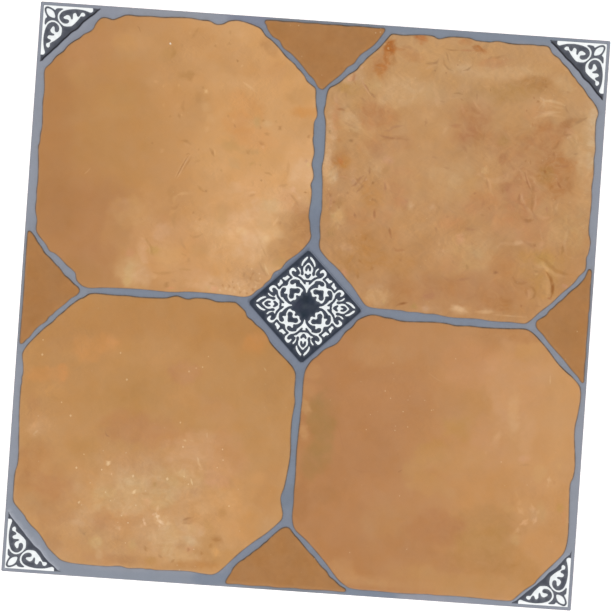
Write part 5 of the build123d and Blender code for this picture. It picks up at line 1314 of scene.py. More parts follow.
BACK_RIGHT = [
    (65, 172, 17, 13, 12, (204, 162, 116), 0.90, 0.7, 0.25),
    (54, 163, 12, 9, 0, (202, 160, 116), 0.60, 0.8, 0.3),
    (95, 197, 42, 16, 0, (195, 152, 105), 0.70, 0.9, 0.35),
    (150, 203, 46, 13, 0, (195, 151, 105), 0.70, 0.9, 0.3),
    (130, 195, 34, 5, 3, (202, 161, 116), 0.70, 0.8, 0.35),
    (165, 198, 14, 5, 0, (198, 158, 113), 0.50, 0.8, 0.4),
    (45, 154, 16, 12, -12, (187, 136, 92), 0.85, 0.6, 0.3),
    (58, 132, 20, 9, 8, (187, 136, 91), 0.60, 0.8, 0.35),
    (93, 145, 22, 17, 0, (193, 147, 100), 0.50, 0.9, 0.3),
    (122, 149, 17, 16, 20, (183, 132, 88), 0.80, 0.8, 0.35),
    (118, 160, 6, 7, 0, (178, 126, 84), 0.60, 0.8, 0.4),
    (147, 178, 22, 11, 8, (184, 140, 92), 0.80, 0.8, 0.35),
    (165, 187, 14, 6, 0, (179, 133, 86), 0.75, 0.8, 0.35),
    (150, 136, 20, 12, 0, (184, 134, 90), 0.55, 0.9, 0.35),
    (182, 150, 13, 10, 0, (183, 131, 87), 0.70, 0.7, 0.3),
    (190, 118, 15, 15, 0, (179, 126, 80), 0.85, 0.7, 0.35),
    (180, 117, 6, 5, 0, (184, 136, 82), 0.70, 0.7, 0.4),
    (163, 98, 15, 20, 0, (186, 134, 92), 0.75, 0.8, 0.4),
    (134, 92, 14, 13, 0, (188, 136, 93), 0.65, 0.8, 0.4),
    (106, 107, 24, 16, 0, (197, 154, 108), 0.80, 0.8, 0.35),
    (108, 107, 6, 7, 0, (202, 161, 115), 0.60, 0.7, 0.35),
    (70, 100, 14, 10, 0, (194, 142, 97), 0.55, 0.8, 0.4),
    (82, 74, 20, 13, 0, (194, 147, 100), 0.60, 0.8, 0.35),
    (114, 54, 13, 10, 0, (196, 152, 106), 0.75, 0.7, 0.4),
    (132, 54, 11, 11, 0, (196, 152, 106), 0.70, 0.7, 0.4),
    (110, 72, 11, 7, 0, (198, 142, 98), 0.45, 0.8, 0.4),
    (176, 70, 18, 10, 20, (194, 141, 98), 0.60, 0.8, 0.4),
    (158, 80, 12, 8, 0, (200, 150, 106), 0.45, 0.8, 0.5),
    (120, 20, 55, 17, 3, (184, 133, 89), 0.80, 0.8, 0.25),
    (182, 44, 21, 13, 15, (188, 140, 88), 0.80, 0.8, 0.3),
    (196, 28, 9, 10, 0, (187, 138, 90), 0.60, 0.8, 0.4),
    (44, 45, 12, 17, 0, (184, 134, 84), 0.85, 0.7, 0.35),
    (50, 62, 14, 7, 0, (187, 136, 88), 0.45, 0.8, 0.4),
    (57, 9, 10, 6, 0, (205, 161, 115), 0.85, 0.6, 0.35),
    (121, 5, 8, 3.0, -15, (205, 161, 114), 0.65, 0.6, 0.3),
    (96, 5, 8, 3.0, 0, (200, 152, 106), 0.50, 0.7, 0.4),
    (211, 145, 7, 30, 0, (205, 164, 118), 0.85, 0.7, 0.3),
    (203, 150, 7, 10, 0, (198, 158, 113), 0.60, 0.7, 0.45),
    (214, 118, 5, 14, 0, (198, 154, 110), 0.60, 0.8, 0.4),
    (197, 76, 9, 18, -10, (196, 154, 107), 0.70, 0.7, 0.45),
    (212, 86, 6, 22, 0, (196, 150, 104), 0.50, 0.8, 0.4),
    (199, 167, 8, 12, 30, (190, 148, 104), 0.60, 0.8, 0.4),
    (22, 113, 9, 10, 0, (183, 134, 89), 0.80, 0.8, 0.35),
    (25, 114.5, 6, 4.5, 0, (184, 131, 76), 0.75, 0.8, 0.4),
    (20.5, 115.5, 2.6, 2.2, 0, (196, 126, 80), 0.60, 0.8, 0.4),
    (10, 124, 4.5, 26, 0, (208, 166, 124), 0.80, 0.7, 0.3),
    (14, 103, 5, 7, 0, (206, 166, 122), 0.60, 0.7, 0.4),
    (13.5, 149, 2.6, 12, 3, (198, 143, 98), 0.55, 0.9, 0.4),
    (25, 146, 10, 5, -25, (205, 164, 118), 0.70, 0.7, 0.45),
    (26, 180, 8, 6, 40, (198, 156, 112), 0.65, 0.7, 0.45),
    (50, 117, 8, 6, 25, (204, 160, 114), 0.45, 0.7, 0.5),
    (21, 71, 6, 9, -15, (204, 164, 118), 0.70, 0.6, 0.4),
    (17, 84, 9, 9, 0, (184, 136, 94), 0.55, 0.7, 0.6),
    (34, 74, 8, 8, 0, (186, 134, 90), 0.50, 0.8, 0.4),
    (28, 48, 6, 6, 0, (196, 152, 108), 0.50, 0.7, 0.5),
    (45.5, 193, 5.8, 7.8, 0, (184, 126, 79), 0.88, 0.5, 0.25),
    (45, 184.5, 2.6, 4, -10, (197, 147, 96), 0.70, 0.8, 0.4),
    (39, 189.5, 3.5, 2, 0, (190, 136, 88), 0.60, 0.8, 0.4),
    (50.5, 205.5, 4.5, 6.5, -8, (179, 117, 66), 0.85, 0.7, 0.4),
    (75, 216.5, 4.5, 3.2, 0, (182, 118, 72), 0.80, 0.7, 0.35),
    (121.5, 212, 5, 2.6, -10, (181, 126, 80), 0.65, 0.8, 0.4),
    (110.5, 217.4, 5, 2, 0, (186, 130, 86), 0.70, 0.8, 0.4),
    (66, 204, 10, 4, -8, (191, 143, 97), 0.50, 0.8, 0.45),
    (133, 203, 12, 4, 8, (194, 140, 96), 0.55, 0.8, 0.45),
    (70, 202.5, 9, 3.5, -5, (186, 138, 93), 0.55, 0.8, 0.4),
    (21, 180, 5, 3, 40, (210, 170, 130), 0.80, 0.7, 0.4),
    (15.5, 172.5, 7, 4.5, -30, (186, 143, 91), 0.70, 0.8, 0.4),
    (64, 174, 13, 10, 15, (203, 163, 119), 0.60, 0.8, 0.3),
    (25, 148, 8, 4, -20, (203, 162, 119), 0.60, 0.7, 0.4),
    (48, 125, 8, 6, -20, (184, 136, 94), 0.55, 0.7, 0.4),
    (22, 83, 5, 4, 40, (176, 132, 86), 0.70, 0.7, 0.4),
    (46, 92, 6, 11, 10, (186, 136, 87), 0.80, 0.7, 0.35),
    (50.5, 110, 3.5, 5, 0, (202, 162, 120), 0.60, 0.7, 0.4),
    (57.5, 118.5, 4, 3, 0, (202, 150, 116), 0.55, 0.7, 0.4),
    (68, 92, 7, 11, 0, (184, 130, 92), 0.60, 0.8, 0.4),
    (16, 105, 4, 6, 0, (203, 167, 127), 0.75, 0.7, 0.35),
    (31, 106, 2.4, 9, 0, (196, 150, 112), 0.50, 0.7, 0.4),
    (177, 172.4, 5.5, 4, 0, (206, 160, 114), 0.80, 0.7, 0.4),
    (170, 161, 10, 7, 0, (196, 147, 102), 0.60, 0.8, 0.4),
    (192.5, 155, 6, 5, 0, (177, 124, 81), 0.50, 0.7, 0.35),
    (197, 152, 4, 2.4, -30, (200, 152, 112), 0.60, 0.7, 0.4),
    (119, 144, 8, 6, 0, (178, 126, 86), 0.60, 0.8, 0.35),
    (132.6, 115.6, 3, 2.6, 0, (204, 164, 118), 0.70, 0.7, 0.4),
    (93.4, 84, 3.4, 2, 35, (200, 158, 118), 0.50, 0.7, 0.4),
    (77, 84, 2.4, 2.0, 0, (206, 163, 121), 0.45, 0.7, 0.4),
    (148, 124, 5, 4, 0, (176, 124, 84), 0.60, 0.8, 0.4),
    (148, 139, 4, 4, 0, (174, 134, 84), 0.50, 0.8, 0.4),
    (149, 104, 4, 4, 0, (174, 120, 82), 0.60, 0.8, 0.4),
    (108, 130, 8, 4, 0, (182, 138, 94), 0.50, 0.8, 0.35),
    (180, 116.5, 8, 6, 0, (177, 130, 81), 0.70, 0.7, 0.35),
    (171.6, 97, 2.2, 9, 0, (174, 129, 84), 0.55, 0.6, 0.35),
    (199, 138, 6, 7, 0, (191, 152, 108), 0.60, 0.7, 0.35),
    (183, 45, 4, 2.6, 25, (206, 162, 116), 0.70, 0.7, 0.35),
    (175.6, 22, 3.4, 4, 0, (200, 152, 114), 0.60, 0.7, 0.4),
    (187, 20.4, 2, 1.4, 0, (204, 150, 92), 0.60, 0.7, 0.4),
    (202.6, 29.4, 2, 1.6, 0, (200, 148, 118), 0.50, 0.7, 0.4),
    (163.6, 61, 4, 2, 20, (206, 164, 122), 0.60, 0.7, 0.4),
    (181.5, 60, 2.6, 4, 0, (202, 154, 118), 0.30, 0.7, 0.4),
    (121, 6, 6, 2.4, -20, (208, 168, 126), 0.45, 0.6, 0.3),
    (143, 5.6, 5, 2.0, 15, (198, 155, 111), 0.45, 0.7, 0.35),
    (94.6, 6, 2.6, 3.4, 0, (202, 160, 124), 0.60, 0.7, 0.4),
    (84.6, 5.6, 2.6, 2, 0, (176, 144, 84), 0.40, 0.7, 0.4),
    (117, 61, 3, 4, 0, (204, 154, 118), 0.60, 0.7, 0.4),
    (95, 17, 5, 4, 0, (178, 124, 88), 0.50, 0.8, 0.4),
    (21, 72, 4.5, 3.4, 30, (206, 162, 112), 0.70, 0.7, 0.4),
    (16, 60, 3, 4, 0, (184, 142, 92), 0.50, 0.8, 0.4),
    (29, 49, 6, 3, 10, (200, 156, 118), 0.55, 0.8, 0.4),
    (29, 28, 3, 2.4, -40, (206, 150, 112), 0.70, 0.7, 0.4),
    (55, 17.5, 5, 3, 0, (196, 152, 110), 0.60, 0.8, 0.35),
    (176, 135, 10, 12, 0, (181, 130, 86), 0.70, 0.8, 0.35),
    (162, 84, 11, 16, 0, (187, 135, 92), 0.45, 0.8, 0.4),
    (208, 70, 6, 14, 0, (193, 151, 103), 0.60, 0.7, 0.35),
    (122, 48, 12, 11, 0, (193, 152, 104), 0.50, 0.7, 0.35),
    (185, 48, 8, 8, 0, (186, 142, 86), 0.55, 0.7, 0.35),
    (187, 29, 2.8, 6, 8, (206, 158, 110), 0.55, 0.6, 0.3),
    (197, 160, 6, 2.6, 20, (177, 128, 84), 0.50, 0.7, 0.35),
    (150, 178, 18, 8, 0, (188, 145, 96), 0.50, 0.8, 0.35),
    (50, 197, 6, 5, 0, (175, 123, 75), 0.65, 0.7, 0.4),
    (192, 190, 10, 8, -45, (199, 160, 116), 0.75, 0.8, 0.35),
    (216, 148, 4, 28, 0, (206, 172, 132), 0.75, 0.8, 0.3),
    (214, 82, 5, 22, 0, (192, 153, 110), 0.55, 0.8, 0.35),
    (150, 44, 11, 9, 0, (183, 132, 88), 0.60, 0.8, 0.35),
    (146, 13, 13, 6, 0, (179, 128, 83), 0.75, 0.8, 0.35),
    (108, 11, 16, 4, 0, (187, 138, 91), 0.60, 0.8, 0.35),
    (80, 66, 13, 8, 0, (196, 151, 106), 0.50, 0.8, 0.4),
    (40, 190, 6, 10, 0, (189, 141, 93), 0.45, 0.8, 0.4),
    (162, 78, 9, 6, 0, (184, 133, 89), 0.45, 0.8, 0.4),
    (40, 178, 7, 5, 0, (204, 166, 118), 0.60, 0.7, 0.4),
    (22, 172, 8, 7, 0, (192, 148, 92), 0.50, 0.8, 0.4),
    (180, 180, 13, 6, 20, (184, 140, 94), 0.60, 0.8, 0.4),
    (196, 118, 8, 9, 0, (190, 144, 104), 0.15, 0.7, 0.4),
    (163, 122, 9, 12, 0, (180, 130, 88), 0.50, 0.8, 0.4),
    (174, 95, 8, 9, 0, (196, 136, 88), 0.40, 0.8, 0.4),
    (75, 96, 13, 10, 0, (198, 154, 104), 0.50, 0.8, 0.4),
    (52, 77, 8, 7, 0, (200, 145, 99), 0.40, 0.8, 0.4),
    (111, 45, 9, 8, 0, (188, 138, 94), 0.60, 0.8, 0.4),
    (184, 28, 10, 12, 0, (187, 140, 84), 0.50, 0.8, 0.4),
    (150, 76, 10, 10, 0, (197, 143, 98), 0.40, 0.8, 0.4),
    (55, 138, 9, 9, 0, (193, 141, 90), 0.40, 0.8, 0.4),
    (49, 203, 2.6, 8, -12, (178, 118, 66), 0.60, 0.6, 0.35),
    (45.4, 196, 5.6, 8, -10, (189, 132, 84), 0.60, 0.6, 0.35),
    (46, 189, 3.6, 6, 8, (184, 126, 77), 0.45, 0.6, 0.35),
    (21.6, 180.6, 2.8, 2.2, 40, (219, 162, 118), 0.75, 0.6, 0.35),
    (24.8, 183, 1.5, 3.4, -10, (188, 132, 88), 0.50, 0.6, 0.35),
    (30, 86, 8, 9, 0, (201, 154, 108), 0.60, 0.8, 0.4),
    (36, 112, 7, 8, 0, (197, 151, 105), 0.60, 0.8, 0.4),
    (25, 161, 7, 7, 0, (186, 144, 96), 0.50, 0.8, 0.4),
    (110, 160, 8, 8, 0, (191, 144, 99), 0.55, 0.8, 0.4),
    (86, 175, 8, 8, 0, (191, 150, 103), 0.50, 0.8, 0.4),
    (128, 132, 9, 9, 0, (183, 136, 90), 0.55, 0.8, 0.4),
    (194, 114, 7, 8, 0, (178, 127, 82), 0.55, 0.8, 0.4),
    (174, 11, 8, 6, 0, (182, 131, 84), 0.45, 0.8, 0.4),
    (70, 40, 11, 9, 0, (182, 133, 84), 0.60, 0.9, 0.4),
    (30, 41, 7, 7, 0, (180, 131, 82), 0.60, 0.8, 0.4),
    (61, 91, 9, 8, 0, (196, 142, 96), 0.50, 0.8, 0.4),
    (91, 150, 10, 8, 0, (198, 154, 108), 0.50, 0.8, 0.4),
    (60, 60, 9, 8, 0, (193, 144, 99), 0.45, 0.9, 0.4),
    (60, 130, 8, 8, 0, (195, 147, 101), 0.40, 0.9, 0.4),
    (183, 132, 9, 10, 0, (179, 129, 84), 0.45, 0.9, 0.4),
    (46.8, 91.6, 8, 8, 0, (194, 146, 97), 0.45, 0.9, 0.4),
]
FRONT_LEFT = [
    (-110, -22, 90, 22, 0, (185, 134, 83), 0.55, 1.0, 0.2),
    (-50, -22, 16, 12, 0, (180, 130, 79), 0.55, 0.9, 0.3),
    (-36, -34, 9, 9, 0, (196, 138, 84), 0.75, 0.8, 0.4),
    (-20, -52, 14, 22, 0, (181, 133, 83), 0.55, 0.9, 0.3),
    (-188, -34, 14, 12, 0, (186, 137, 89), 0.55, 0.8, 0.4),
    (-163, -41, 16, 9, 0, (200, 143, 88), 0.75, 1.0, 0.45),
    (-152, -39, 5, 4, 0, (206, 148, 96), 0.50, 0.8, 0.5),
    (-198, -66, 18, 6, 8, (198, 143, 90), 0.80, 0.7, 0.4),
    (-186, -66, 3.5, 8, 0, (204, 142, 86), 0.55, 0.8, 0.5),
    (-175, -120, 14, 7, 0, (196, 141, 85), 0.30, 0.9, 0.4),
    (-140, -50, 18, 12, 0, (195, 145, 92), 0.40, 1.0, 0.3),
    (-108, -46, 20, 14, 0, (196, 146, 95), 0.50, 1.0, 0.3),
    (-135, -80, 26, 18, 0, (183, 135, 82), 0.60, 0.9, 0.3),
    (-134, -76, 11, 8, 20, (181, 132, 80), 0.55, 0.8, 0.4),
    (-93, -60, 12, 7, 0, (187, 134, 91), 0.80, 0.8, 0.35),
    (-67, -83, 14, 10, 0, (190, 140, 94), 0.50, 0.9, 0.4),
    (-90, -78, 12, 10, 0, (196, 145, 94), 0.50, 0.9, 0.4),
    (-210, -90, 6, 6, 0, (184, 134, 89), 0.55, 0.8, 0.35),
    (-206, -101, 8, 6, 0, (192, 143, 96), 0.60, 0.8, 0.4),
    (-199, -108, 9, 8, 0, (198, 151, 104), 0.60, 0.8, 0.35),
    (-207, -112, 5, 6, 0, (206, 158, 112), 0.50, 0.8, 0.5),
    (-128, -104, 26, 13, 5, (185, 133, 88), 0.85, 0.7, 0.35),
    (-102, -112, 24, 10, 0, (190, 138, 94), 0.65, 0.8, 0.35),
    (-166, -126, 14, 10, -15, (188, 140, 88), 0.60, 0.8, 0.4),
    (-205, -137, 14, 14, 0, (185, 134, 87), 0.70, 0.8, 0.3),
    (-190, -158, 14, 16, 0, (184, 131, 86), 0.70, 0.8, 0.35),
    (-204, -172, 9, 8, 0, (188, 142, 96), 0.70, 0.8, 0.35),
    (-167, -142, 12, 10, 0, (196, 144, 92), 0.40, 0.9, 0.4),
    (-108, -134, 32, 9, 0, (192, 143, 97), 0.70, 0.8, 0.35),
    (-58, -124, 16, 20, 0, (197, 143, 98), 0.55, 0.9, 0.4),
    (-112, -166, 50, 34, 0, (200, 154, 108), 0.70, 0.8, 0.35),
    (-140, -153, 22, 12, 15, (200, 157, 112), 0.75, 0.7, 0.4),
    (-104, -153, 16, 12, 0, (203, 161, 116), 0.75, 0.7, 0.4),
    (-90, -144, 18, 9, 0, (202, 160, 112), 0.70, 0.7, 0.4),
    (-88, -186, 18, 13, 5, (205, 162, 117), 0.85, 0.6, 0.35),
    (-100, -200, 14, 9, 0, (203, 158, 112), 0.60, 0.8, 0.4),
    (-148, -178, 16, 8, 0, (189, 137, 91), 0.70, 0.8, 0.45),
    (-128, -176, 10, 8, 0, (194, 144, 98), 0.50, 0.8, 0.5),
    (-150, -192, 18, 10, 0, (194, 149, 103), 0.65, 0.8, 0.4),
    (-163, -189, 4, 4, 0, (191, 147, 100), 0.40, 0.8, 0.4),
    (-120, -196, 12, 7, 0, (192, 146, 100), 0.50, 0.8, 0.45),
    (-50, -168, 24, 20, 0, (203, 152, 100), 0.75, 0.9, 0.35),
    (-48, -160, 14, 10, 0, (206, 155, 104), 0.50, 0.9, 0.45),
    (-36, -182, 9, 8, 0, (204, 150, 96), 0.55, 0.8, 0.4),
    (-20, -150, 12, 20, 0, (193, 141, 90), 0.55, 0.9, 0.3),
    (-57.8, -188.6, 4.4, 2.4, 0, (170, 120, 72), 0.65, 0.7, 0.3),
    (-80.5, -174.4, 5, 2.6, 8, (184, 138, 96), 0.55, 0.7, 0.35),
    (-50, -203, 22, 7, 0, (190, 142, 90), 0.75, 0.8, 0.4),
    (-58, -198, 4, 3, 0, (208, 158, 104), 0.60, 0.8, 0.4),
    (-175, -204, 12, 6, 0, (196, 148, 102), 0.55, 0.8, 0.4),
    (-145, -208, 18, 5, 0, (192, 141, 96), 0.50, 0.8, 0.4),
    (-160, -176, 15, 8, 0, (203, 160, 116), 0.75, 0.8, 0.4),
    (-131, -165, 14, 9, 0, (205, 165, 119), 0.65, 0.8, 0.4),
    (-79, -120, 17, 12, 0, (204, 156, 112), 0.75, 0.8, 0.4),
    (-62, -134, 12, 10, 0, (204, 154, 108), 0.60, 0.8, 0.4),
    (-35, -146, 12, 11, 0, (203, 152, 101), 0.75, 0.8, 0.4),
    (-64, -189, 9, 8, 0, (194, 144, 90), 0.60, 0.8, 0.4),
    (-90, -195, 12, 8, 0, (206, 165, 120), 0.45, 0.8, 0.4),
    (-189, -181, 12, 9, 0, (185, 136, 90), 0.75, 0.8, 0.4),
    (-211, -156, 7, 12, 0, (183, 132, 86), 0.60, 0.8, 0.4),
    (-190, -78, 8, 6, 0, (198, 145, 90), 0.55, 0.8, 0.4),
    (-189, -144, 10, 7, 0, (194, 145, 95), 0.65, 0.8, 0.4),
    (-27, -176, 9, 12, 0, (195, 143, 89), 0.60, 0.8, 0.4),
    (-120, -208, 12, 4, 0, (186, 136, 88), 0.50, 0.8, 0.4),
    (-114, -163, 3.4, 3.0, 45, (214, 166, 124), 0.60, 0.7, 0.35),
    (-78, -152, 2.8, 2.6, 0, (184, 138, 96), 0.55, 0.7, 0.35),
    (-86.5, -195, 4.4, 3.2, 0, (190, 146, 104), 0.60, 0.7, 0.35),
    (-57.4, -198.6, 2.0, 3.8, 0, (217, 161, 100), 0.50, 0.7, 0.35),
    (-79, -192, 5.6, 3.4, -25, (209, 173, 126), 0.35, 0.7, 0.35),
    (-96, -198, 4.2, 5, 0, (207, 169, 122), 0.55, 0.7, 0.35),
    (-95, -186, 6, 7, 0, (204, 164, 114), 0.45, 0.7, 0.4),
    (-76, -183, 8, 5, 0, (208, 163, 119), 0.50, 0.7, 0.35),
    (-151.4, -195.4, 5.2, 3.8, 0, (204, 164, 110), 0.70, 0.7, 0.35),
    (-148, -205, 2.6, 5, 0, (206, 164, 118), 0.60, 0.7, 0.35),
    (-122, -196, 3.6, 5, 0, (195, 157, 105), 0.50, 0.7, 0.35),
    (-134, -191, 4.4, 3.4, 0, (185, 139, 95), 0.50, 0.7, 0.35),
    (-147, -178, 8, 6, 0, (187, 137, 95), 0.55, 0.7, 0.4),
    (-130, -207, 11, 3.5, 0, (182, 134, 90), 0.60, 0.7, 0.35),
    (-108, -208, 5, 3, 0, (189, 141, 83), 0.55, 0.7, 0.35),
    (-72, -209, 14, 3, 0, (185, 133, 82), 0.65, 0.7, 0.35),
    (-66, -178, 3.4, 6, 15, (192, 146, 90), 0.50, 0.7, 0.4),
    (-60, -143, 9, 5, 0, (202, 150, 112), 0.45, 0.7, 0.4),
    (-84, -205, 14, 4, 0, (205, 160, 112), 0.40, 0.7, 0.4),
    (-68, -165, 7, 4, 0, (208, 162, 114), 0.40, 0.7, 0.4),
    (-82, -134, 13, 10, 0, (204, 158, 114), 0.60, 0.8, 0.4),
    (-186, -198, 9, 7, -45, (183, 136, 92), 0.70, 0.8, 0.4),
    (-153, -163, 10, 9, 0, (200, 160, 112), 0.50, 0.8, 0.4),
    (-137, -183, 10, 6, 0, (199, 154, 110), 0.50, 0.8, 0.4),
    (-86, -203, 12, 5, 0, (207, 166, 120), 0.55, 0.7, 0.4),
    (-50, -157, 9, 9, 0, (205, 160, 114), 0.40, 0.8, 0.4),
    (-54.6, -167.4, 4.2, 3.0, 0, (186, 137, 84), 0.55, 0.8, 0.4),
    (-78.6, -197.4, 2.6, 2.2, 0, (205, 150, 110), 0.50, 0.7, 0.35),
    (-102.2, -176.4, 5.6, 4.2, -35, (216, 178, 134), 0.45, 0.9, 0.4),
    (-126, -151, 12, 8, 0, (206, 167, 119), 0.50, 0.8, 0.4),
    (-105, -161, 9, 8, 0, (202, 164, 115), 0.50, 0.8, 0.4),
    (-100, -190, 9, 8, 0, (208, 168, 122), 0.50, 0.8, 0.4),
    (-93, -60, 9, 7, 0, (195, 145, 100), 0.50, 0.8, 0.4),
    (-174, -176, 6, 5, 0, (190, 141, 95), 0.65, 0.8, 0.4),
    (-150, -157, 11, 5, 10, (203, 166, 117), 0.50, 0.8, 0.4),
    (-124, -150, 6, 5, 0, (208, 169, 121), 0.40, 0.8, 0.4),
    (-95, -146, 5, 4, 0, (204, 167, 119), 0.55, 0.7, 0.4),
    (-86, -140, 4.4, 4, 0, (211, 173, 127), 0.55, 0.7, 0.4),
    (-78, -182, 4, 4, 0, (213, 173, 124), 0.50, 0.7, 0.4),
    (-130, -130, 6, 6, 0, (201, 151, 102), 0.45, 0.8, 0.4),
    (-119, -166.4, 5, 3.6, 0, (196, 155, 111), 0.50, 0.8, 0.4),
    (-151, -197, 4, 3.6, 0, (206, 168, 120), 0.50, 0.7, 0.4),
    (-60, -90, 12, 10, 0, (195, 145, 97), 0.45, 0.9, 0.4),
]
FRONT_RIGHT = [
    (45, -20, 16, 10, -35, (179, 128, 81), 0.70, 0.8, 0.3),
    (120, -22, 70, 18, 0, (186, 136, 91), 0.60, 0.9, 0.25),
    (150, -14, 16, 9, 0, (182, 132, 87), 0.45, 0.9, 0.3),
    (62, -70, 44, 34, 0, (183, 131, 88), 0.60, 0.9, 0.25),
    (50, -115, 34, 40, 0, (181, 129, 86), 0.70, 0.9, 0.25),
    (17, -95, 11, 27, 0, (170, 127, 79), 0.92, 0.6, 0.3),
    (16, -84, 7, 12, 0, (167, 126, 78), 0.50, 0.8, 0.4),
    (12, -122, 8, 12, 0, (169, 126, 79), 0.60, 0.7, 0.3),
    (10, -52, 6, 6.5, 0, (188, 137, 91), 0.85, 0.4, 0.3),
    (7, -66, 5, 5, 0, (187, 136, 90), 0.80, 0.5, 0.4),
    (5, -77.5, 3.9, 6.5, 12, (190, 143, 96), 0.90, 0.4, 0.35),
    (4.4, -99.5, 3.0, 6.5, 10, (193, 144, 97), 0.90, 0.4, 0.35),
    (4.6, -89, 2.2, 3.6, 0, (178, 124, 82), 0.45, 0.6, 0.3),
    (7, -152, 6, 18, 0, (174, 122, 78), 0.80, 0.8, 0.3),
    (24, -147, 10, 8, 0, (174, 124, 80), 0.60, 0.8, 0.35),
    (75, -170, 18, 24, 10, (186, 137, 92), 0.75, 0.8, 0.3),
    (70, -142, 24, 12, 0, (187, 135, 91), 0.55, 0.9, 0.3),
    (135, -40, 20, 18, 0, (197, 144, 100), 0.70, 0.9, 0.35),
    (150, -38, 9, 8, 0, (203, 150, 106), 0.70, 0.8, 0.4),
    (168, -52, 24, 30, 0, (201, 151, 106), 0.80, 0.9, 0.3),
    (170, -72, 4.4, 18, 3, (207, 161, 114), 0.62, 0.8, 0.35),
    (182, -90, 5, 17, 3, (205, 156, 111), 0.50, 0.7, 0.35),
    (156.6, -95, 3.4, 7.5, -8, (210, 163, 117), 0.66, 0.8, 0.35),
    (196, -42, 9, 10, 0, (200, 152, 106), 0.50, 0.8, 0.35),
    (207, -70, 11, 34, 0, (201, 151, 101), 0.75, 0.8, 0.25),
    (178, -24, 12, 8, 30, (196, 146, 94), 0.80, 0.8, 0.3),
    (136, -66, 11, 10, 20, (190, 140, 90), 0.80, 0.7, 0.4),
    (124, -86, 12, 11, 35, (189, 141, 86), 0.85, 0.7, 0.4),
    (106, -110, 15, 8, 30, (188, 139, 86), 0.80, 0.7, 0.4),
    (118, -68, 12, 14, 0, (186, 137, 92), 0.45, 0.9, 0.3),
    (148, -106, 20, 14, 10, (198, 147, 102), 0.65, 0.9, 0.35),
    (125, -114, 30, 11, 10, (195, 146, 96), 0.60, 0.9, 0.3),
    (95, -124, 9, 8, 0, (190, 141, 90), 0.60, 0.8, 0.4),
    (124, -139, 5, 5, 0, (196, 148, 100), 0.60, 0.8, 0.4),
    (165, -134, 40, 16, 0, (196, 144, 93), 0.75, 0.9, 0.3),
    (192, -126, 14, 14, 0, (199, 150, 104), 0.60, 0.9, 0.4),
    (188, -150, 12, 13, 0, (198, 150, 103), 0.50, 0.8, 0.4),
    (153, -158, 24, 12, 0, (184, 136, 86), 0.80, 0.8, 0.35),
    (150, -176, 24, 14, 0, (184, 137, 84), 0.70, 0.9, 0.3),
    (112, -168, 24, 13, 3, (182, 129, 86), 0.85, 0.7, 0.3),
    (92, -186, 24, 10, 0, (182, 130, 86), 0.65, 0.8, 0.3),
    (205, -170, 14, 22, 0, (193, 142, 92), 0.55, 0.9, 0.3),
    (183, -192, 18, 12, -45, (186, 137, 85), 0.65, 0.9, 0.3),
    (140, -207, 60, 9, 0, (188, 141, 90), 0.60, 0.9, 0.3),
    (46, -207, 12, 8, -35, (191, 140, 92), 0.80, 0.8, 0.3),
    (62, -213, 20, 4.5, 0, (192, 143, 96), 0.60, 0.8, 0.4),
    (206, -112, 8, 24, 0, (204, 154, 104), 0.45, 0.9, 0.3),
    (58, -34, 21, 13, 0, (189, 141, 96), 0.55, 0.8, 0.35),
    (25, -79, 7, 8, 0, (178, 129, 84), 0.60, 0.8, 0.4),
    (141, -88, 11, 12, 0, (196, 145, 101), 0.55, 0.8, 0.4),
    (106, -136, 15, 9, 0, (194, 146, 95), 0.60, 0.8, 0.35),
    (110, -194, 28, 8, 0, (180, 129, 84), 0.60, 0.8, 0.35),
    (151, -190, 23, 9, 0, (181, 132, 81), 0.75, 0.8, 0.35),
    (172, -13, 13, 6, 0, (183, 132, 86), 0.75, 0.8, 0.35),
    (193, -194, 8, 8, 45, (186, 137, 85), 0.60, 0.8, 0.35),
    (120, -215, 60, 3.5, 0, (192, 144, 96), 0.50, 0.8, 0.35),
    (190, -152, 2.8, 5, 0, (199, 157, 117), 0.60, 0.7, 0.35),
    (195.5, -149, 3.4, 8, 0, (196, 154, 104), 0.50, 0.7, 0.35),
    (177, -172, 3.2, 4, 0, (197, 157, 105), 0.50, 0.7, 0.35),
    (193.5, -117, 5, 6.5, 0, (202, 158, 108), 0.55, 0.7, 0.35),
    (208.4, -111.6, 1.8, 3.4, 0, (210, 160, 103), 0.45, 0.7, 0.35),
    (180.6, -108, 4, 2.8, 0, (207, 155, 115), 0.50, 0.7, 0.35),
    (210.4, -144.4, 2.8, 2.8, 0, (190, 147, 83), 0.50, 0.7, 0.35),
    (214.4, -151, 1.8, 8, 0, (200, 140, 91), 0.40, 0.7, 0.35),
    (169, -147, 5, 4, 0, (197, 149, 95), 0.50, 0.7, 0.35),
    (189, -134, 2.8, 6, 0, (188, 142, 96), 0.30, 0.7, 0.35),
    (176, -169.5, 3.4, 4.2, 0, (200, 154, 104), 0.50, 0.7, 0.35),
    (182, -146, 9, 12, 0, (201, 152, 102), 0.35, 0.9, 0.35),
]


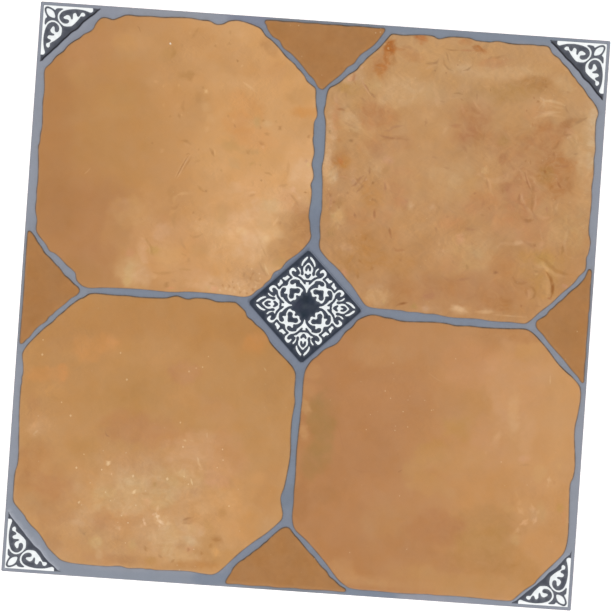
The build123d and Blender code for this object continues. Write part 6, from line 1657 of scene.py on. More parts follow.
FEEL = {
    "oct_back_left": ((0.10, 0.05, 0.12), [
        (-75, 130, 62, 95, 0, (0.22, 0.15, 0.90), 0.9, 1.0, 0.2),
        (-50, 50, 60, 52, 0, (0.40, 0.25, 0.85), 0.9, 1.0, 0.2),
        (-42, 24, 26, 16, 0, (0.50, 0.90, 0.90), 0.8, 0.9, 0.3)]),
    "oct_back_right": ((0.85, 0.20, 0.60), [
        (95, 145, 40, 30, 0, (0.40, 0.12, 0.30), 0.8, 1.0, 0.3),
        (100, 105, 34, 22, 0, (0.55, 0.15, 0.30), 0.8, 1.0, 0.3),
        (110, 25, 50, 20, 0, (0.45, 0.15, 0.40), 0.8, 1.0, 0.3),
        (80, 205, 55, 18, 0, (1.0, 0.30, 1.0), 0.9, 0.9, 0.3),
        (28, 110, 26, 75, 0, (1.0, 0.35, 0.9), 0.9, 0.9, 0.3),
        (190, 60, 30, 45, 0, (1.0, 0.25, 0.8), 0.8, 0.9, 0.3)]),
    "oct_front_left": ((0.22, 0.15, 0.35), [
        (-110, -168, 62, 45, 0, (0.50, 1.0, 0.80), 0.95, 0.9, 0.3),
        (-205, -95, 18, 55, 0, (0.50, 0.45, 0.80), 0.8, 0.9, 0.3),
        (-190, -50, 22, 26, 0, (0.40, 0.35, 0.60), 0.7, 0.9, 0.3)]),
    "oct_front_right": ((0.16, 0.08, 0.25), [
        (65, -75, 50, 40, 0, (0.20, 0.35, 0.55), 0.8, 1.0, 0.3),
        (188, -145, 26, 30, 0, (0.30, 0.40, 0.50), 0.8, 1.0, 0.3),
        (150, -60, 40, 40, 0, (0.30, 0.10, 0.20), 0.7, 1.0, 0.3)]),
}


def octagon_colour(name, x, y):
    """The ground of an octagon, the same with its patches, and the feel of its surface: plaster
    folds, sand and fine crackle, each 0 to 1."""
    feel = blots(np.tile(FEEL[name][0], (len(x), 1)).astype(float), x, y, FEEL[name][1], 3)
    if name == "oct_back_left":
        ground = blend(-212, 100, -35, 125, (181, 131, 84), (208, 158, 106), x, y)
        c = blots(ground, x, y, BACK_LEFT, 0)
        rough = 0.35 + 0.45 * step01((x + 130) / 60)
    elif name == "oct_back_right":
        ground = blend(110, 215, 110, 5, (194, 150, 104), (188, 141, 96), x, y)
        c = blots(ground, x, y, BACK_RIGHT, 2)
        rough = np.full(len(x), 1.0)
    elif name == "oct_front_left":
        ground = blend(-110, -10, -110, -215, (187, 138, 87), (196, 148, 99), x, y)
        c = blots(ground, x, y, FRONT_LEFT, 5)
        rough = 0.45 + 0.5 * step01((-110 - y) / 30)
    else:
        ground = blend(30, -110, 200, -90, (182, 130, 86), (199, 149, 100), x, y)
        c = blots(ground, x, y, FRONT_RIGHT, 7)
        rough = 0.40 + 0.15 * step01((x - 140) / 40)
    # mottling: light and dark clouds, warm and cool clouds, and a fine grain
    c += {"oct_back_left": (1.3, 1.4, 1.2), "oct_front_left": (0.7, 1.0, 0.9)}.get(name, (0.0, 0.0, 0.0))
    light = 3.2 * noise(x, y, 15, 1, 3, 0.6)
    warm = 2.2 * noise(x, y, 19, 3, 3, 0.6)
    more = (light * rough)[:, None] * [1.7, 1.7, 1.7] + (warm * rough)[:, None] * [1.1, -0.3, -1.9]
    return ground + 0.4 * more, c + more, feel


JOINTS = [
    (0, 0, 16, 190, 0, (127, 135, 149), 0.95, 0.5, 0.0),
    (0, 0, 190, 14, 0, (128, 135, 149), 0.95, 0.5, 0.0),
    (0, 0, 56, 56, 0, (125, 131, 146), 0.90, 0.6, 0.0),
    (22, 22, 22, 12, -45, (131, 137, 150), 0.80, 0.6, 0.0),
    (-27, 198, 42, 9, -45, (128, 133, 146), 0.85, 0.6, 0.0),
    (27, 196, 42, 9, 45, (130, 135, 147), 0.85, 0.6, 0.0),
    (-27, -196, 42, 9, 45, (128, 134, 148), 0.85, 0.6, 0.0),
    (27, -196, 42, 9, -45, (129, 134, 147), 0.85, 0.6, 0.0),
    (-197, 25, 40, 9, -45, (139, 142, 152), 0.8, 0.6, 0.0),
    (-197, -25, 40, 9, 45, (139, 143, 153), 0.8, 0.6, 0.0),
    (197, 25, 40, 9, 45, (140, 143, 153), 0.8, 0.6, 0.0),
    (197, -25, 40, 9, -45, (140, 143, 153), 0.8, 0.6, 0.0),
    (110, 222, 95, 5, 0, (130, 137, 150), 0.9, 0.5, 0.0),
    (-110, 222, 95, 5, 0, (145, 148, 159), 0.9, 0.5, 0.0),
    (0, 223.6, 44, 3.0, 0, (126, 130, 139), 0.9, 0.5, 0.0),
    (0, -223.6, 44, 3.0, 0, (126, 130, 139), 0.9, 0.5, 0.0),
    (-223.6, 0, 3.0, 40, 0, (138, 140, 148), 0.9, 0.5, 0.0),
    (223.6, 0, 3.0, 40, 0, (138, 140, 148), 0.9, 0.5, 0.0),
    (-110, -222, 95, 5, 0, (140, 145, 156), 0.9, 0.5, 0.0),
    (110, -222, 95, 5, 0, (143, 147, 158), 0.9, 0.5, 0.0),
    (-194, 194, 36, 7, 45, (140, 143, 155), 0.7, 0.6, 0.1),
    (194, 194, 36, 7, -45, (140, 144, 156), 0.7, 0.6, 0.1),
    (-194, -194, 36, 7, -45, (139, 144, 155), 0.8, 0.6, 0.1),
    (194, -194, 36, 7, 45, (140, 144, 156), 0.7, 0.6, 0.1),
    (-60, 223, 17, 6, 0, (129, 133, 150), 0.9, 0.5, 0.0),
    (-60, -221, 17, 6, 0, (128, 135, 149), 0.9, 0.5, 0.0),
    (63, -223, 22, 5, 0, (127, 135, 149), 0.9, 0.5, 0.0),
    (-125, 222.5, 36, 5, 0, (149, 151, 159), 0.8, 0.6, 0.0),
    (118, -223, 30, 4, 0, (151, 151, 161), 0.8, 0.6, 0.0),
    (2, 66, 5, 11, 0, (120, 127, 142), 0.8, 0.9, 0.0),
    (-1, -57, 5, 8, 0, (120, 128, 143), 0.8, 0.9, 0.0),
    (-2.5, -152, 6, 9, 0, (122, 129, 142), 0.8, 0.9, 0.0),
]


CENTRE = [
    (-0.3, -0.2, 2.0, 1.8, 0, (72, 78, 86), 0.8, 0.8, 0.2),
    (-0.2, 6.0, 2.4, 3.2, 0, (48, 59, 69), 0.9, 0.7, 0.2),
    (-0.3, -6.6, 2.4, 3.0, 0, (52, 62, 72), 0.7, 0.7, 0.2),
    (5.6, -0.6, 3.0, 2.4, 0, (66, 71, 81), 0.7, 0.8, 0.2),
    (-6.0, 0.6, 3.4, 2.6, 0, (67, 69, 83), 0.7, 0.8, 0.2),
]


def joint_colour(x, y):
    c = blots(np.tile([146.0, 149.0, 159.0], (len(x), 1)), x, y, JOINTS)
    return c + [0, 1.2, 1.6] + (1.6 * noise(x, y, 9, 2, 3) + 1.4 * noise(x, y, 2.6, 4, 2))[:, None] * [1, 1, 1.05]


def half_colour(x, y):
    c = np.tile([171.0, 122.0, 76.0], (len(x), 1))
    light = 5.0 * noise(x, y, 8, 5, 4, 0.65) + 2.5 * noise(x, y, 2.4, 1, 2)
    warm = 3.0 * noise(x, y, 12, 6, 3, 0.6)
    return c + light[:, None] * [1, 0.95, 0.9] + warm[:, None] * [0.8, -0.1, -1.0]


joint_tone = joint_colour(X, Y)
field_tone, ground_tone = np.array(joint_tone), np.array(joint_tone)
feel = np.zeros((len(flat), 3))
kind_here = np.where(field >= 0, kinds[np.clip(field, 0, None)], kind)
kind_here = np.where(on_edge, kind, kind_here)
names = np.array([n for n, _, _ in FIELDS])
name_here = np.where(on_edge | (field < 0), names[owner], names[np.clip(field, 0, None)])
for name, k, _ in FIELDS:
    at = (name_here == name) & (depth > -1e-6)
    if k == "octagon":
        ground_tone[at], field_tone[at], feel[at] = octagon_colour(name, X[at], Y[at])
    elif k == "half":
        field_tone[at] = half_colour(X[at], Y[at])
        ground_tone[at], feel[at] = (171, 122, 76), (0.25, 0.5, 0.4)
    elif k == "corner":
        field_tone[at] = [87, 90, 99] + (4 * noise(X[at], Y[at], 6, 2, 3))[:, None] * [1.1, 1.0, 0.8]
    else:
        field_tone[at] = blots(np.tile([61.0, 67.0, 79.0], (at.sum(), 1)), X[at], Y[at], CENTRE)

# marks on the fields
for line, width, colour, strength, pit in MARKS:
    lo, hi = line.min(0) - 4 * width, line.max(0) + 4 * width
    near = np.where((X > lo[0]) & (X < hi[0]) & (Y > lo[1]) & (Y < hi[1]) & (depth > 0.3) & ~inset)[0]
    if not len(near):
        continue
    p = flat[near]
    best, along = np.full(len(near), 1e9), np.zeros(len(near))
    spans = np.r_[0, np.cumsum(np.hypot(*np.diff(line, axis=0).T))]
    for k, (a, b) in enumerate(zip(line[:-1], line[1:])):
        d = b - a
        t = np.clip(((p - a) * d).sum(1) / max((d * d).sum(), 1e-9), 0, 1)
        far = np.hypot(*(p - a - t[:, None] * d).T)
        along = np.where(far < best, (spans[k] + t * (spans[k + 1] - spans[k])) / spans[-1], along)
        best = np.minimum(best, far)
    if spans[-1] > 1:                          # strokes taper and break up; dots do not
        thin_out = 0.45 + 0.55 * np.sin(math.pi * np.clip(along, 0.02, 0.98))
        strength = strength * (0.80 + 0.45 * noise(p[:, 0], p[:, 1], 3.0, 2, 2)) * thin_out ** 0.5
        width = width * thin_out
    w = np.clip(step01(1.45 - best / width) * strength, 0, 1)
    for tone in (field_tone, ground_tone):
        tone[near] += (colour - tone[near]) * w[:, None]
    if pit:
        Z[near] -= pit * step01(1.5 - best / width)

# painted shade: a thin dark line round each field, strongest on its back edge, standing in for the shadow along the
# raised field's edge
SHADE_LINE = ((-180, 0.70), (-135, 0.50), (-90, 0.42), (-45, 0.50), (0, 0.70), (45, 0.95), (90, 1.0), (135, 0.95), (180, 0.70))
shade_strength = np.interp(facing, [a for a, _ in SHADE_LINE], [s for _, s in SHADE_LINE])
shade_colour = np.array([84.0, 68.0, 56.0])
shade_band = np.exp(-(depth / 0.50) ** 2) * shade_strength * np.clip(0.86 + 0.5 * noise(X, Y, 5.0, 6, 3), 0.4, 1.1)
ring = ~inset
for tone in (joint_tone, field_tone, ground_tone):
    tone[ring] += (shade_colour - tone[ring]) * (shade_band[ring] * 0.85)[:, None]
# painted highlight: the half squares get a lighter, warmer band just inside the line, faint all round and strongest on
# their front edges
rim_highlight = np.exp(-((depth - 1.6) / 1.1) ** 2) * (depth > 0.2)
front_highlight = np.clip(np.cos(np.radians(facing + 90)), 0, 1)
at = (kind == "half") & ring
for tone in (field_tone, ground_tone):
    tone[at] += (np.array([192.0, 146.0, 102.0]) - tone[at]) * (rim_highlight[at] * (0.04 + 0.14 * front_highlight[at]))[:, None]
# insets, on the edge towards the joint: painted shade as a dark line along the back corners' slopes, and a painted
# highlight as a pale one along the front corners'
slope_edge = (kind == "corner") & (np.abs(np.abs(out[:, 0]) - np.abs(out[:, 1])) < 0.5)
shaded_slope = slope_edge & (Y > 0)
lit_slope = slope_edge & (Y < 0)
slope_shade_band = step01((depth + 0.4) / 0.4) * step01((1.30 - depth) / 0.50)
for tone in (joint_tone, field_tone):
    at = shaded_slope & (depth > -1.2)
    tone[at] += (np.array([34.0, 39.0, 58.0]) - tone[at]) * slope_shade_band[at][:, None]
# painted highlight: a pale line on the joint beside the front corners' slopes, stronger on the left
at = lit_slope & (depth <= 0)
joint_tone[at] += (np.array([186.0, 190.0, 200.0]) - joint_tone[at]) * (np.exp(-((depth[at] + 0.35) / 0.40) ** 2) * np.where(X[at] < 0, 0.85, 0.35))[:, None]
# the joint's colour runs a little way over the centre inset's edge, most on the back right
over = np.interp(facing, [-180, -135, -45, 45, 135, 180], [0.2, 0.15, 0.30, 0.75, 0.0, 0.2])
at = (kind == "centre") & (depth > -1e-6) & (field >= 0) | (kind == "centre") & on_edge
field_tone[at] += (np.array([125.0, 131.0, 144.0]) - field_tone[at]) * np.clip((over[at] - depth[at]) / 0.5 + 0.4, 0, 1)[:, None]
# painted shade: the joint is darker along the centre inset's edge, over a wider band on its back-left side
at = (kind == "centre") & (depth <= 0) & (facing > 90)
joint_tone[at] += (np.array([98.0, 104.0, 118.0]) - joint_tone[at]) * (0.9 * step01(1 + (depth[at] + 0.2) / 1.6))[:, None]
at = (kind == "centre") & (depth <= 0)
joint_tone[at] += (np.array([104.0, 112.0, 128.0]) - joint_tone[at]) * (np.exp(-(depth[at] / 0.6) ** 2) * 0.7)[:, None]
white_tone = np.tile([254.0, 256.0, 256.0], (len(flat), 1))
white_tone -= (11 * step01(1 - white_dist / 0.45))[:, None] * [1.2, 1.0, 0.9]
glow = step01(1 - white_dist / 1.1)[:, None]
at = inset & (depth > 0.6)
field_tone[at] += 10 * glow[at] - np.where(kind == "corner", 9.0, 5.0)[at][:, None] * (1 - glow[at])

# ---------------------------------------------------------------- the closed mesh
GLAZE_FIELD, GLAZE_HALF, GLAZE_JOINT, GLAZE_NAVY, GLAZE_WHITE, BODY = range(6)
verts = [(x, y, z) for x, y, z in zip(X, Y, Z)]
faces, slots, homes = [], [], []               # homes: which part of the texture a face uses

mid = flat[tris].mean(1)
tri_field, tri_white = locate(mid)
slot_of = {"octagon": GLAZE_FIELD, "half": GLAZE_HALF, "corner": GLAZE_NAVY, "centre": GLAZE_NAVY}
for (a, b, c), f, w in zip(tris, tri_field, tri_white):
    faces.append((int(a), int(b), int(c)))
    slots.append(GLAZE_JOINT if f < 0 else GLAZE_WHITE if w else slot_of[FIELDS[f][1]])
    homes.append("white" if w and f >= 0 else "top")

# round edge, sides and bevel: rows of the same number of points, from the rim down
for i in rim:
    x, y, _ = verts[i]
    verts[i] = (x, y, JOINT)
rows = []
for angle in (22.5, 45.0, 67.5):
    a = math.radians(angle)
    drop = ARRIS * (1 - math.cos(a))
    rows.append((ARRIS - ARRIS * math.sin(a), JOINT - drop))
rows += [(0.0, z) for z in (JOINT - ARRIS, 7.3, 6.4, 5.3, 4.0, 2.7, 1.6, FOOT)]
rows += [(FOOT / 2, FOOT / 2), (FOOT, 0.0)]
rings = [rim]
for inset_by, z in rows:
    ring_pts = perimeter(inset_by, UPRIGHT - inset_by)
    x, y = ring_pts[:, 0], ring_pts[:, 1]
    if FOOT < z < JOINT - ARRIS:               # the fired sides are not quite flat
        dip = 0.035 * (1 + noise(x + y, x - y + 30 * z, 9, 3, 3))
        near_corner = step01((SIDE / 2 - np.minimum(np.abs(x), np.abs(y)) - 2) / 4)
        shrink = 1 - dip * near_corner / (SIDE / 2)
        side_x = np.abs(x) > np.abs(y)
        x, y = np.where(side_x, x * shrink, x), np.where(side_x, y, y * shrink)
    rings.append(list(range(len(verts), len(verts) + len(x))))
    verts.extend((a, b, z) for a, b in zip(x, y))
n = len(rim)
for up, down in zip(rings[:-1], rings[1:]):
    level = (verts[up[0]][2] + verts[down[0]][2]) / 2
    for i in range(n):
        j = (i + 1) % n
        faces.append((up[i], down[i], down[j], up[j]))
        slots.append(GLAZE_JOINT if level > JOINT - ARRIS else BODY)
        homes.append("side")

# the underside: ribs between shallow pockets with round corners and sloping walls
foot_loop = arr([verts[i][:2] for i in rings[-1]])
pocket = (SIDE - 2 * RIM - (POCKETS - 1) * RIB) / POCKETS


def pocket_loop(cx, cy, inset_by):
    half, r, p = pocket / 2 - inset_by, 4.0 - inset_by, []
    for k in range(4):
        sx, sy = [(1, 1), (-1, 1), (-1, -1), (1, -1)][k]
        for a in np.linspace(90 * k, 90 * k + 90, 5):
            p.append((cx + sx * (half - r) + r * math.cos(math.radians(a)),
                      cy + sy * (half - r) + r * math.sin(math.radians(a))))
    return p


under, under_z, under_edges = [tuple(p) for p in foot_loop], [0.0] * n, []
under_edges += [(i, (i + 1) % n) for i in range(n)]
for ix in range(POCKETS):
    for iy in range(POCKETS):
        cx = -SIDE / 2 + RIM + pocket / 2 + ix * (pocket + RIB)
        cy = -SIDE / 2 + RIM + pocket / 2 + iy * (pocket + RIB)
        for inset_by, z in ((0.0, 0.0), (0.35, KEY * 0.82), (0.8, KEY)):
            loop = pocket_loop(cx, cy, inset_by)
            start = len(under)
            under += loop
            under_z += [z] * len(loop)
            under_edges += [(start + k, start + (k + 1) % len(loop)) for k in range(len(loop))]
        for gx in np.linspace(-0.32, 0.32, 4):     # the pockets' floors are a little uneven
            for gy in np.linspace(-0.32, 0.32, 4):
                under.append((cx + gx * pocket, cy + gy * pocket))
                under_z.append(KEY - 0.05 + 0.05 * float(rng.uniform(-1, 1)))
u_flat, _, u_tris, u_from, _, _ = delaunay_2d_cdt([Vector(p) for p in under], under_edges, [], 1, 1e-5, True)
index = {}
for new, olds in enumerate(u_from):
    ring_old = [o for o in olds if o < n]
    if ring_old:
        index[new] = rings[-1][ring_old[0]]
    else:
        index[new] = len(verts)
        verts.append((u_flat[new].x, u_flat[new].y, under_z[olds[0]] if olds else 0.0))
for tri in u_tris:
    faces.append(tuple(index[i] for i in reversed(tri)))
    slots.append(BODY)
    homes.append("back")

mesh = bpy.data.meshes.new("glazed_tile")
mesh.from_pydata([(x / 1000, y / 1000, z / 1000) for x, y, z in verts], [], faces)
tile = bpy.data.objects.new("glazed_tile", mesh)
bpy.context.scene.collection.objects.link(tile)

# colours on the mesh: one for each face corner, so that white and navy meet in a clean line
LIGHT = 1.38         # light on the tile, for an albedo of 1


def linear(rgb, gloss=0.035):
    """Albedo for a colour as it looks on a screen, less the light that the gloss adds."""
    c = np.clip(np.asarray(rgb, float), 0, 260) / 255
    c = np.where(c <= 0.04045, c / 12.92, ((c + 0.055) / 1.055) ** 2.4)
    return np.clip((c - gloss) / LIGHT, 0.002, 0.95)


count = len(flat)
tones = {GLAZE_FIELD: linear(field_tone), GLAZE_HALF: linear(field_tone), GLAZE_NAVY: linear(field_tone, 0.028),
         GLAZE_WHITE: linear(white_tone), GLAZE_JOINT: linear(joint_tone)}
under_tone = linear(ground_tone)
side_xy = arr([v[:2] for v in verts[count:]])
rim_tone = linear(joint_colour(side_xy[:, 0], side_xy[:, 1])) if len(side_xy) else None
corner_vert = np.empty(len(mesh.loops), int)
mesh.loops.foreach_get("vertex_index", corner_vert)
corner_slot = np.repeat(slots, [len(f) for f in faces])
paint = np.ones((len(mesh.loops), 4))
for s, table in tones.items():
    at = (corner_slot == s) & (corner_vert < count)
    paint[at, :3] = table[corner_vert[at]]
at = corner_vert >= count
paint[at, :3] = rim_tone[corner_vert[at] - count]
tone = mesh.color_attributes.new("tone", "FLOAT_COLOR", "CORNER")
tone.data.foreach_set("color", paint.ravel())

# the fields' even ground, which the patches of "tone" lie over, and the feel of the surface
paint[:] = 1
at = corner_vert < count
paint[at, :3] = under_tone[corner_vert[at]]
ground = mesh.color_attributes.new("ground", "FLOAT_COLOR", "CORNER")
ground.data.foreach_set("color", paint.ravel())
paint = np.ones((len(verts), 4))
paint[:count, :3], paint[count:, :3] = feel, 0
attribute = mesh.color_attributes.new("feel", "FLOAT_COLOR", "POINT")
attribute.data.foreach_set("color", paint.ravel())

# texture layout: the face of the tile, then the white ornament, the four sides and the underside
unwrap = mesh.uv_layers.new(name="OFBake")
co = arr(verts)[corner_vert]
corner_home = np.repeat(homes, [len(f) for f in faces])
uv = np.zeros((len(mesh.loops), 2))
at = corner_home == "top"
uv[at] = 0.005 + (co[at, :2] + SIDE / 2) / SIDE * 0.80
at = (corner_home == "white") & (np.abs(co[:, 0]) < 60)
turned = (co[at, :2] - [-0.3, -0.5]) @ np.array([[1, 1], [-1, 1]]) / math.sqrt(2)
uv[at] = [0.875, 0.065] + turned * 0.80 / SIDE
for k, (_, sx, sy, _) in enumerate(CORNERS.values()):
    at = (corner_home == "white") & (co[:, 0] * sx > 60) & (co[:, 1] * sy > 60)
    uv[at] = [0.815 + 0.09 * (k % 2), 0.135 + 0.09 * (k // 2)] + (SIDE / 2 - co[at, :2] * [sx, sy]) * 0.80 / SIDE
at = corner_home == "back"
uv[at] = [0.815, 0.33] + (co[at, :2] + SIDE / 2) / SIDE * [0.18, 0.66]
ring_of = {}
for r, members in enumerate(rings):
    for i, m in enumerate(members):
        ring_of.setdefault(m, (r, i))
run_down = [0.0]
for a, b in zip([(ARRIS, JOINT)] + rows[:-1], rows):
    run_down.append(run_down[-1] + math.hypot(a[0] - b[0], a[1] - b[1]))
starts = np.cumsum([0] + [len(f) for f in faces])
for f in [k for k, h in enumerate(homes) if h == "side"]:
    where = [ring_of[v] for v in faces[f]]
    first = min(i for _, i in where)
    wrap = max(i for _, i in where) - first > n // 2
    for k, (r, i) in enumerate(where):
        i = i + n if wrap and i < n // 2 else i
        begin = (first if not wrap else n - 1)
        strip = begin // (n // 4)
        along = (i - strip * (n // 4)) / (n / 4)
        uv[starts[f] + k] = (0.005 + along * 0.80, 0.82 + 0.032 * strip + run_down[r] / run_down[-1] * 0.022)
unwrap.data.foreach_set("uv", uv.ravel())

mesh.polygons.foreach_set("use_smooth", np.ones(len(faces), bool))
mesh.polygons.foreach_set("material_index", np.array(slots))
mesh.validate()
mesh.update()

# sharp edges on the underside and its bevel; everything else is softly rounded
edge_of = np.empty(len(mesh.loops), int)
mesh.loops.foreach_get("edge_index", edge_of)
face_normal = np.empty(len(mesh.polygons) * 3)
mesh.polygons.foreach_get("normal", face_normal)
face_normal = face_normal.reshape(-1, 3)
face_of = np.repeat(np.arange(len(faces)), [len(f) for f in faces])
order = np.argsort(edge_of, kind="stable")
pair = face_of[order].reshape(-1, 2)           # a closed mesh has two faces to an edge
bend = (face_normal[pair[:, 0]] * face_normal[pair[:, 1]]).sum(1)
below = np.array([h == "back" for h in homes])
sharp = (bend < math.cos(math.radians(28))) & (below[pair[:, 0]] | below[pair[:, 1]])
marks = mesh.attributes.new("sharp_edge", "BOOLEAN", "EDGE")
marks.data.foreach_set("value", sharp)


# ---------------------------------------------------------------- materials
def material(name, roughness=0.4, specular=0.4):
    m = bpy.data.materials.new(name)
    m.use_nodes = True
    nodes, links = m.node_tree.nodes, m.node_tree.links
    nodes.clear()
    outp = nodes.new("ShaderNodeOutputMaterial")
    shader = nodes.new("ShaderNodeBsdfPrincipled")
    shader.inputs["Roughness"].default_value = roughness
    shader.inputs["Specular IOR Level"].default_value = specular
    links.new(shader.outputs["BSDF"], outp.inputs["Surface"])
    return m, nodes, links, shader


class Net:
    """Short names for the nodes used below."""

    def __init__(self, nodes, links):
        self.nodes, self.links = nodes, links
        self.place = nodes.new("ShaderNodeTexCoord").outputs["Object"]

    def put(self, socket, value):
        if isinstance(value, (int, float)):
            socket.default_value = value
        else:
            self.links.new(value, socket)

    def noise(self, scale, detail=4.0, rough=0.55, warp=0.0, stretch=None, offset=(0, 0, 0)):
        v = self.place
        if stretch or any(offset):
            m = self.nodes.new("ShaderNodeMapping")
            m.inputs["Location"].default_value = offset
            if stretch:
                m.inputs["Rotation"].default_value = (0, 0, math.radians(stretch[2]))
                m.inputs["Scale"].default_value = (stretch[0], stretch[1], 1)
            self.links.new(v, m.inputs["Vector"])
            v = m.outputs["Vector"]
        t = self.nodes.new("ShaderNodeTexNoise")
        t.inputs["Scale"].default_value = scale
        t.inputs["Detail"].default_value = detail
        t.inputs["Roughness"].default_value = rough
        t.inputs["Distortion"].default_value = warp
        self.links.new(v, t.inputs["Vector"])
        return t.outputs["Fac"]

    def math(self, op, a, b=0.0, c=None, clamp=False):
        m = self.nodes.new("ShaderNodeMath")
        m.operation = op
        m.use_clamp = clamp
        self.put(m.inputs[0], a)
        self.put(m.inputs[1], b)
        if c is not None:
            self.put(m.inputs[2], c)
        return m.outputs[0]

    def span(self, value, a, b, to_a=0.0, to_b=1.0, smooth=True):
        m = self.nodes.new("ShaderNodeMapRange")
        m.interpolation_type = "SMOOTHSTEP" if smooth else "LINEAR"
        self.put(m.inputs["Value"], value)
        m.inputs["From Min"].default_value = a
        m.inputs["From Max"].default_value = b
        m.inputs["To Min"].default_value = to_a
        m.inputs["To Max"].default_value = to_b
        return m.outputs["Result"]

    def scaled(self, colour, factor):
        m = self.nodes.new("ShaderNodeVectorMath")
        m.operation = "SCALE"
        self.links.new(colour, m.inputs[0])
        self.put(m.inputs["Scale"], factor)
        return m.outputs["Vector"]

    def mix(self, factor, a, b, mode="MIX"):
        m = self.nodes.new("ShaderNodeMix")
        m.data_type = "RGBA"
        m.blend_type = mode
        self.put(m.inputs["Factor"], factor)
        rgba = [s for s in m.inputs if s.type == "RGBA"]
        for socket, value in zip(rgba, (a, b)):
            if isinstance(value, tuple):
                socket.default_value = (*value, 1)
            else:
                self.links.new(value, socket)
        return [s for s in m.outputs if s.type == "RGBA"][0]

    def over(self, ground, colour, strength):
        """ground + (colour - ground) * strength"""
        d = self.nodes.new("ShaderNodeVectorMath")
        d.operation = "SUBTRACT"
        self.links.new(colour, d.inputs[0])
        self.links.new(ground, d.inputs[1])
        m = self.nodes.new("ShaderNodeVectorMath")
        m.operation = "MULTIPLY_ADD"
        self.links.new(d.outputs[0], m.inputs[0])
        self.links.new(strength, m.inputs[1])
        self.links.new(ground, m.inputs[2])
        return m.outputs[0]

    def attribute(self, name, fac=False):
        a = self.nodes.new("ShaderNodeAttribute")
        a.attribute_name = name
        return a.outputs["Fac" if fac else "Color"]

    def bump(self, height, distance, strength=1.0, normal=None):
        b = self.nodes.new("ShaderNodeBump")
        b.inputs["Strength"].default_value = strength
        b.inputs["Distance"].default_value = distance
        self.put(b.inputs["Height"], height)
        if normal is not None:
            self.links.new(normal, b.inputs["Normal"])
        return b.outputs["Normal"]


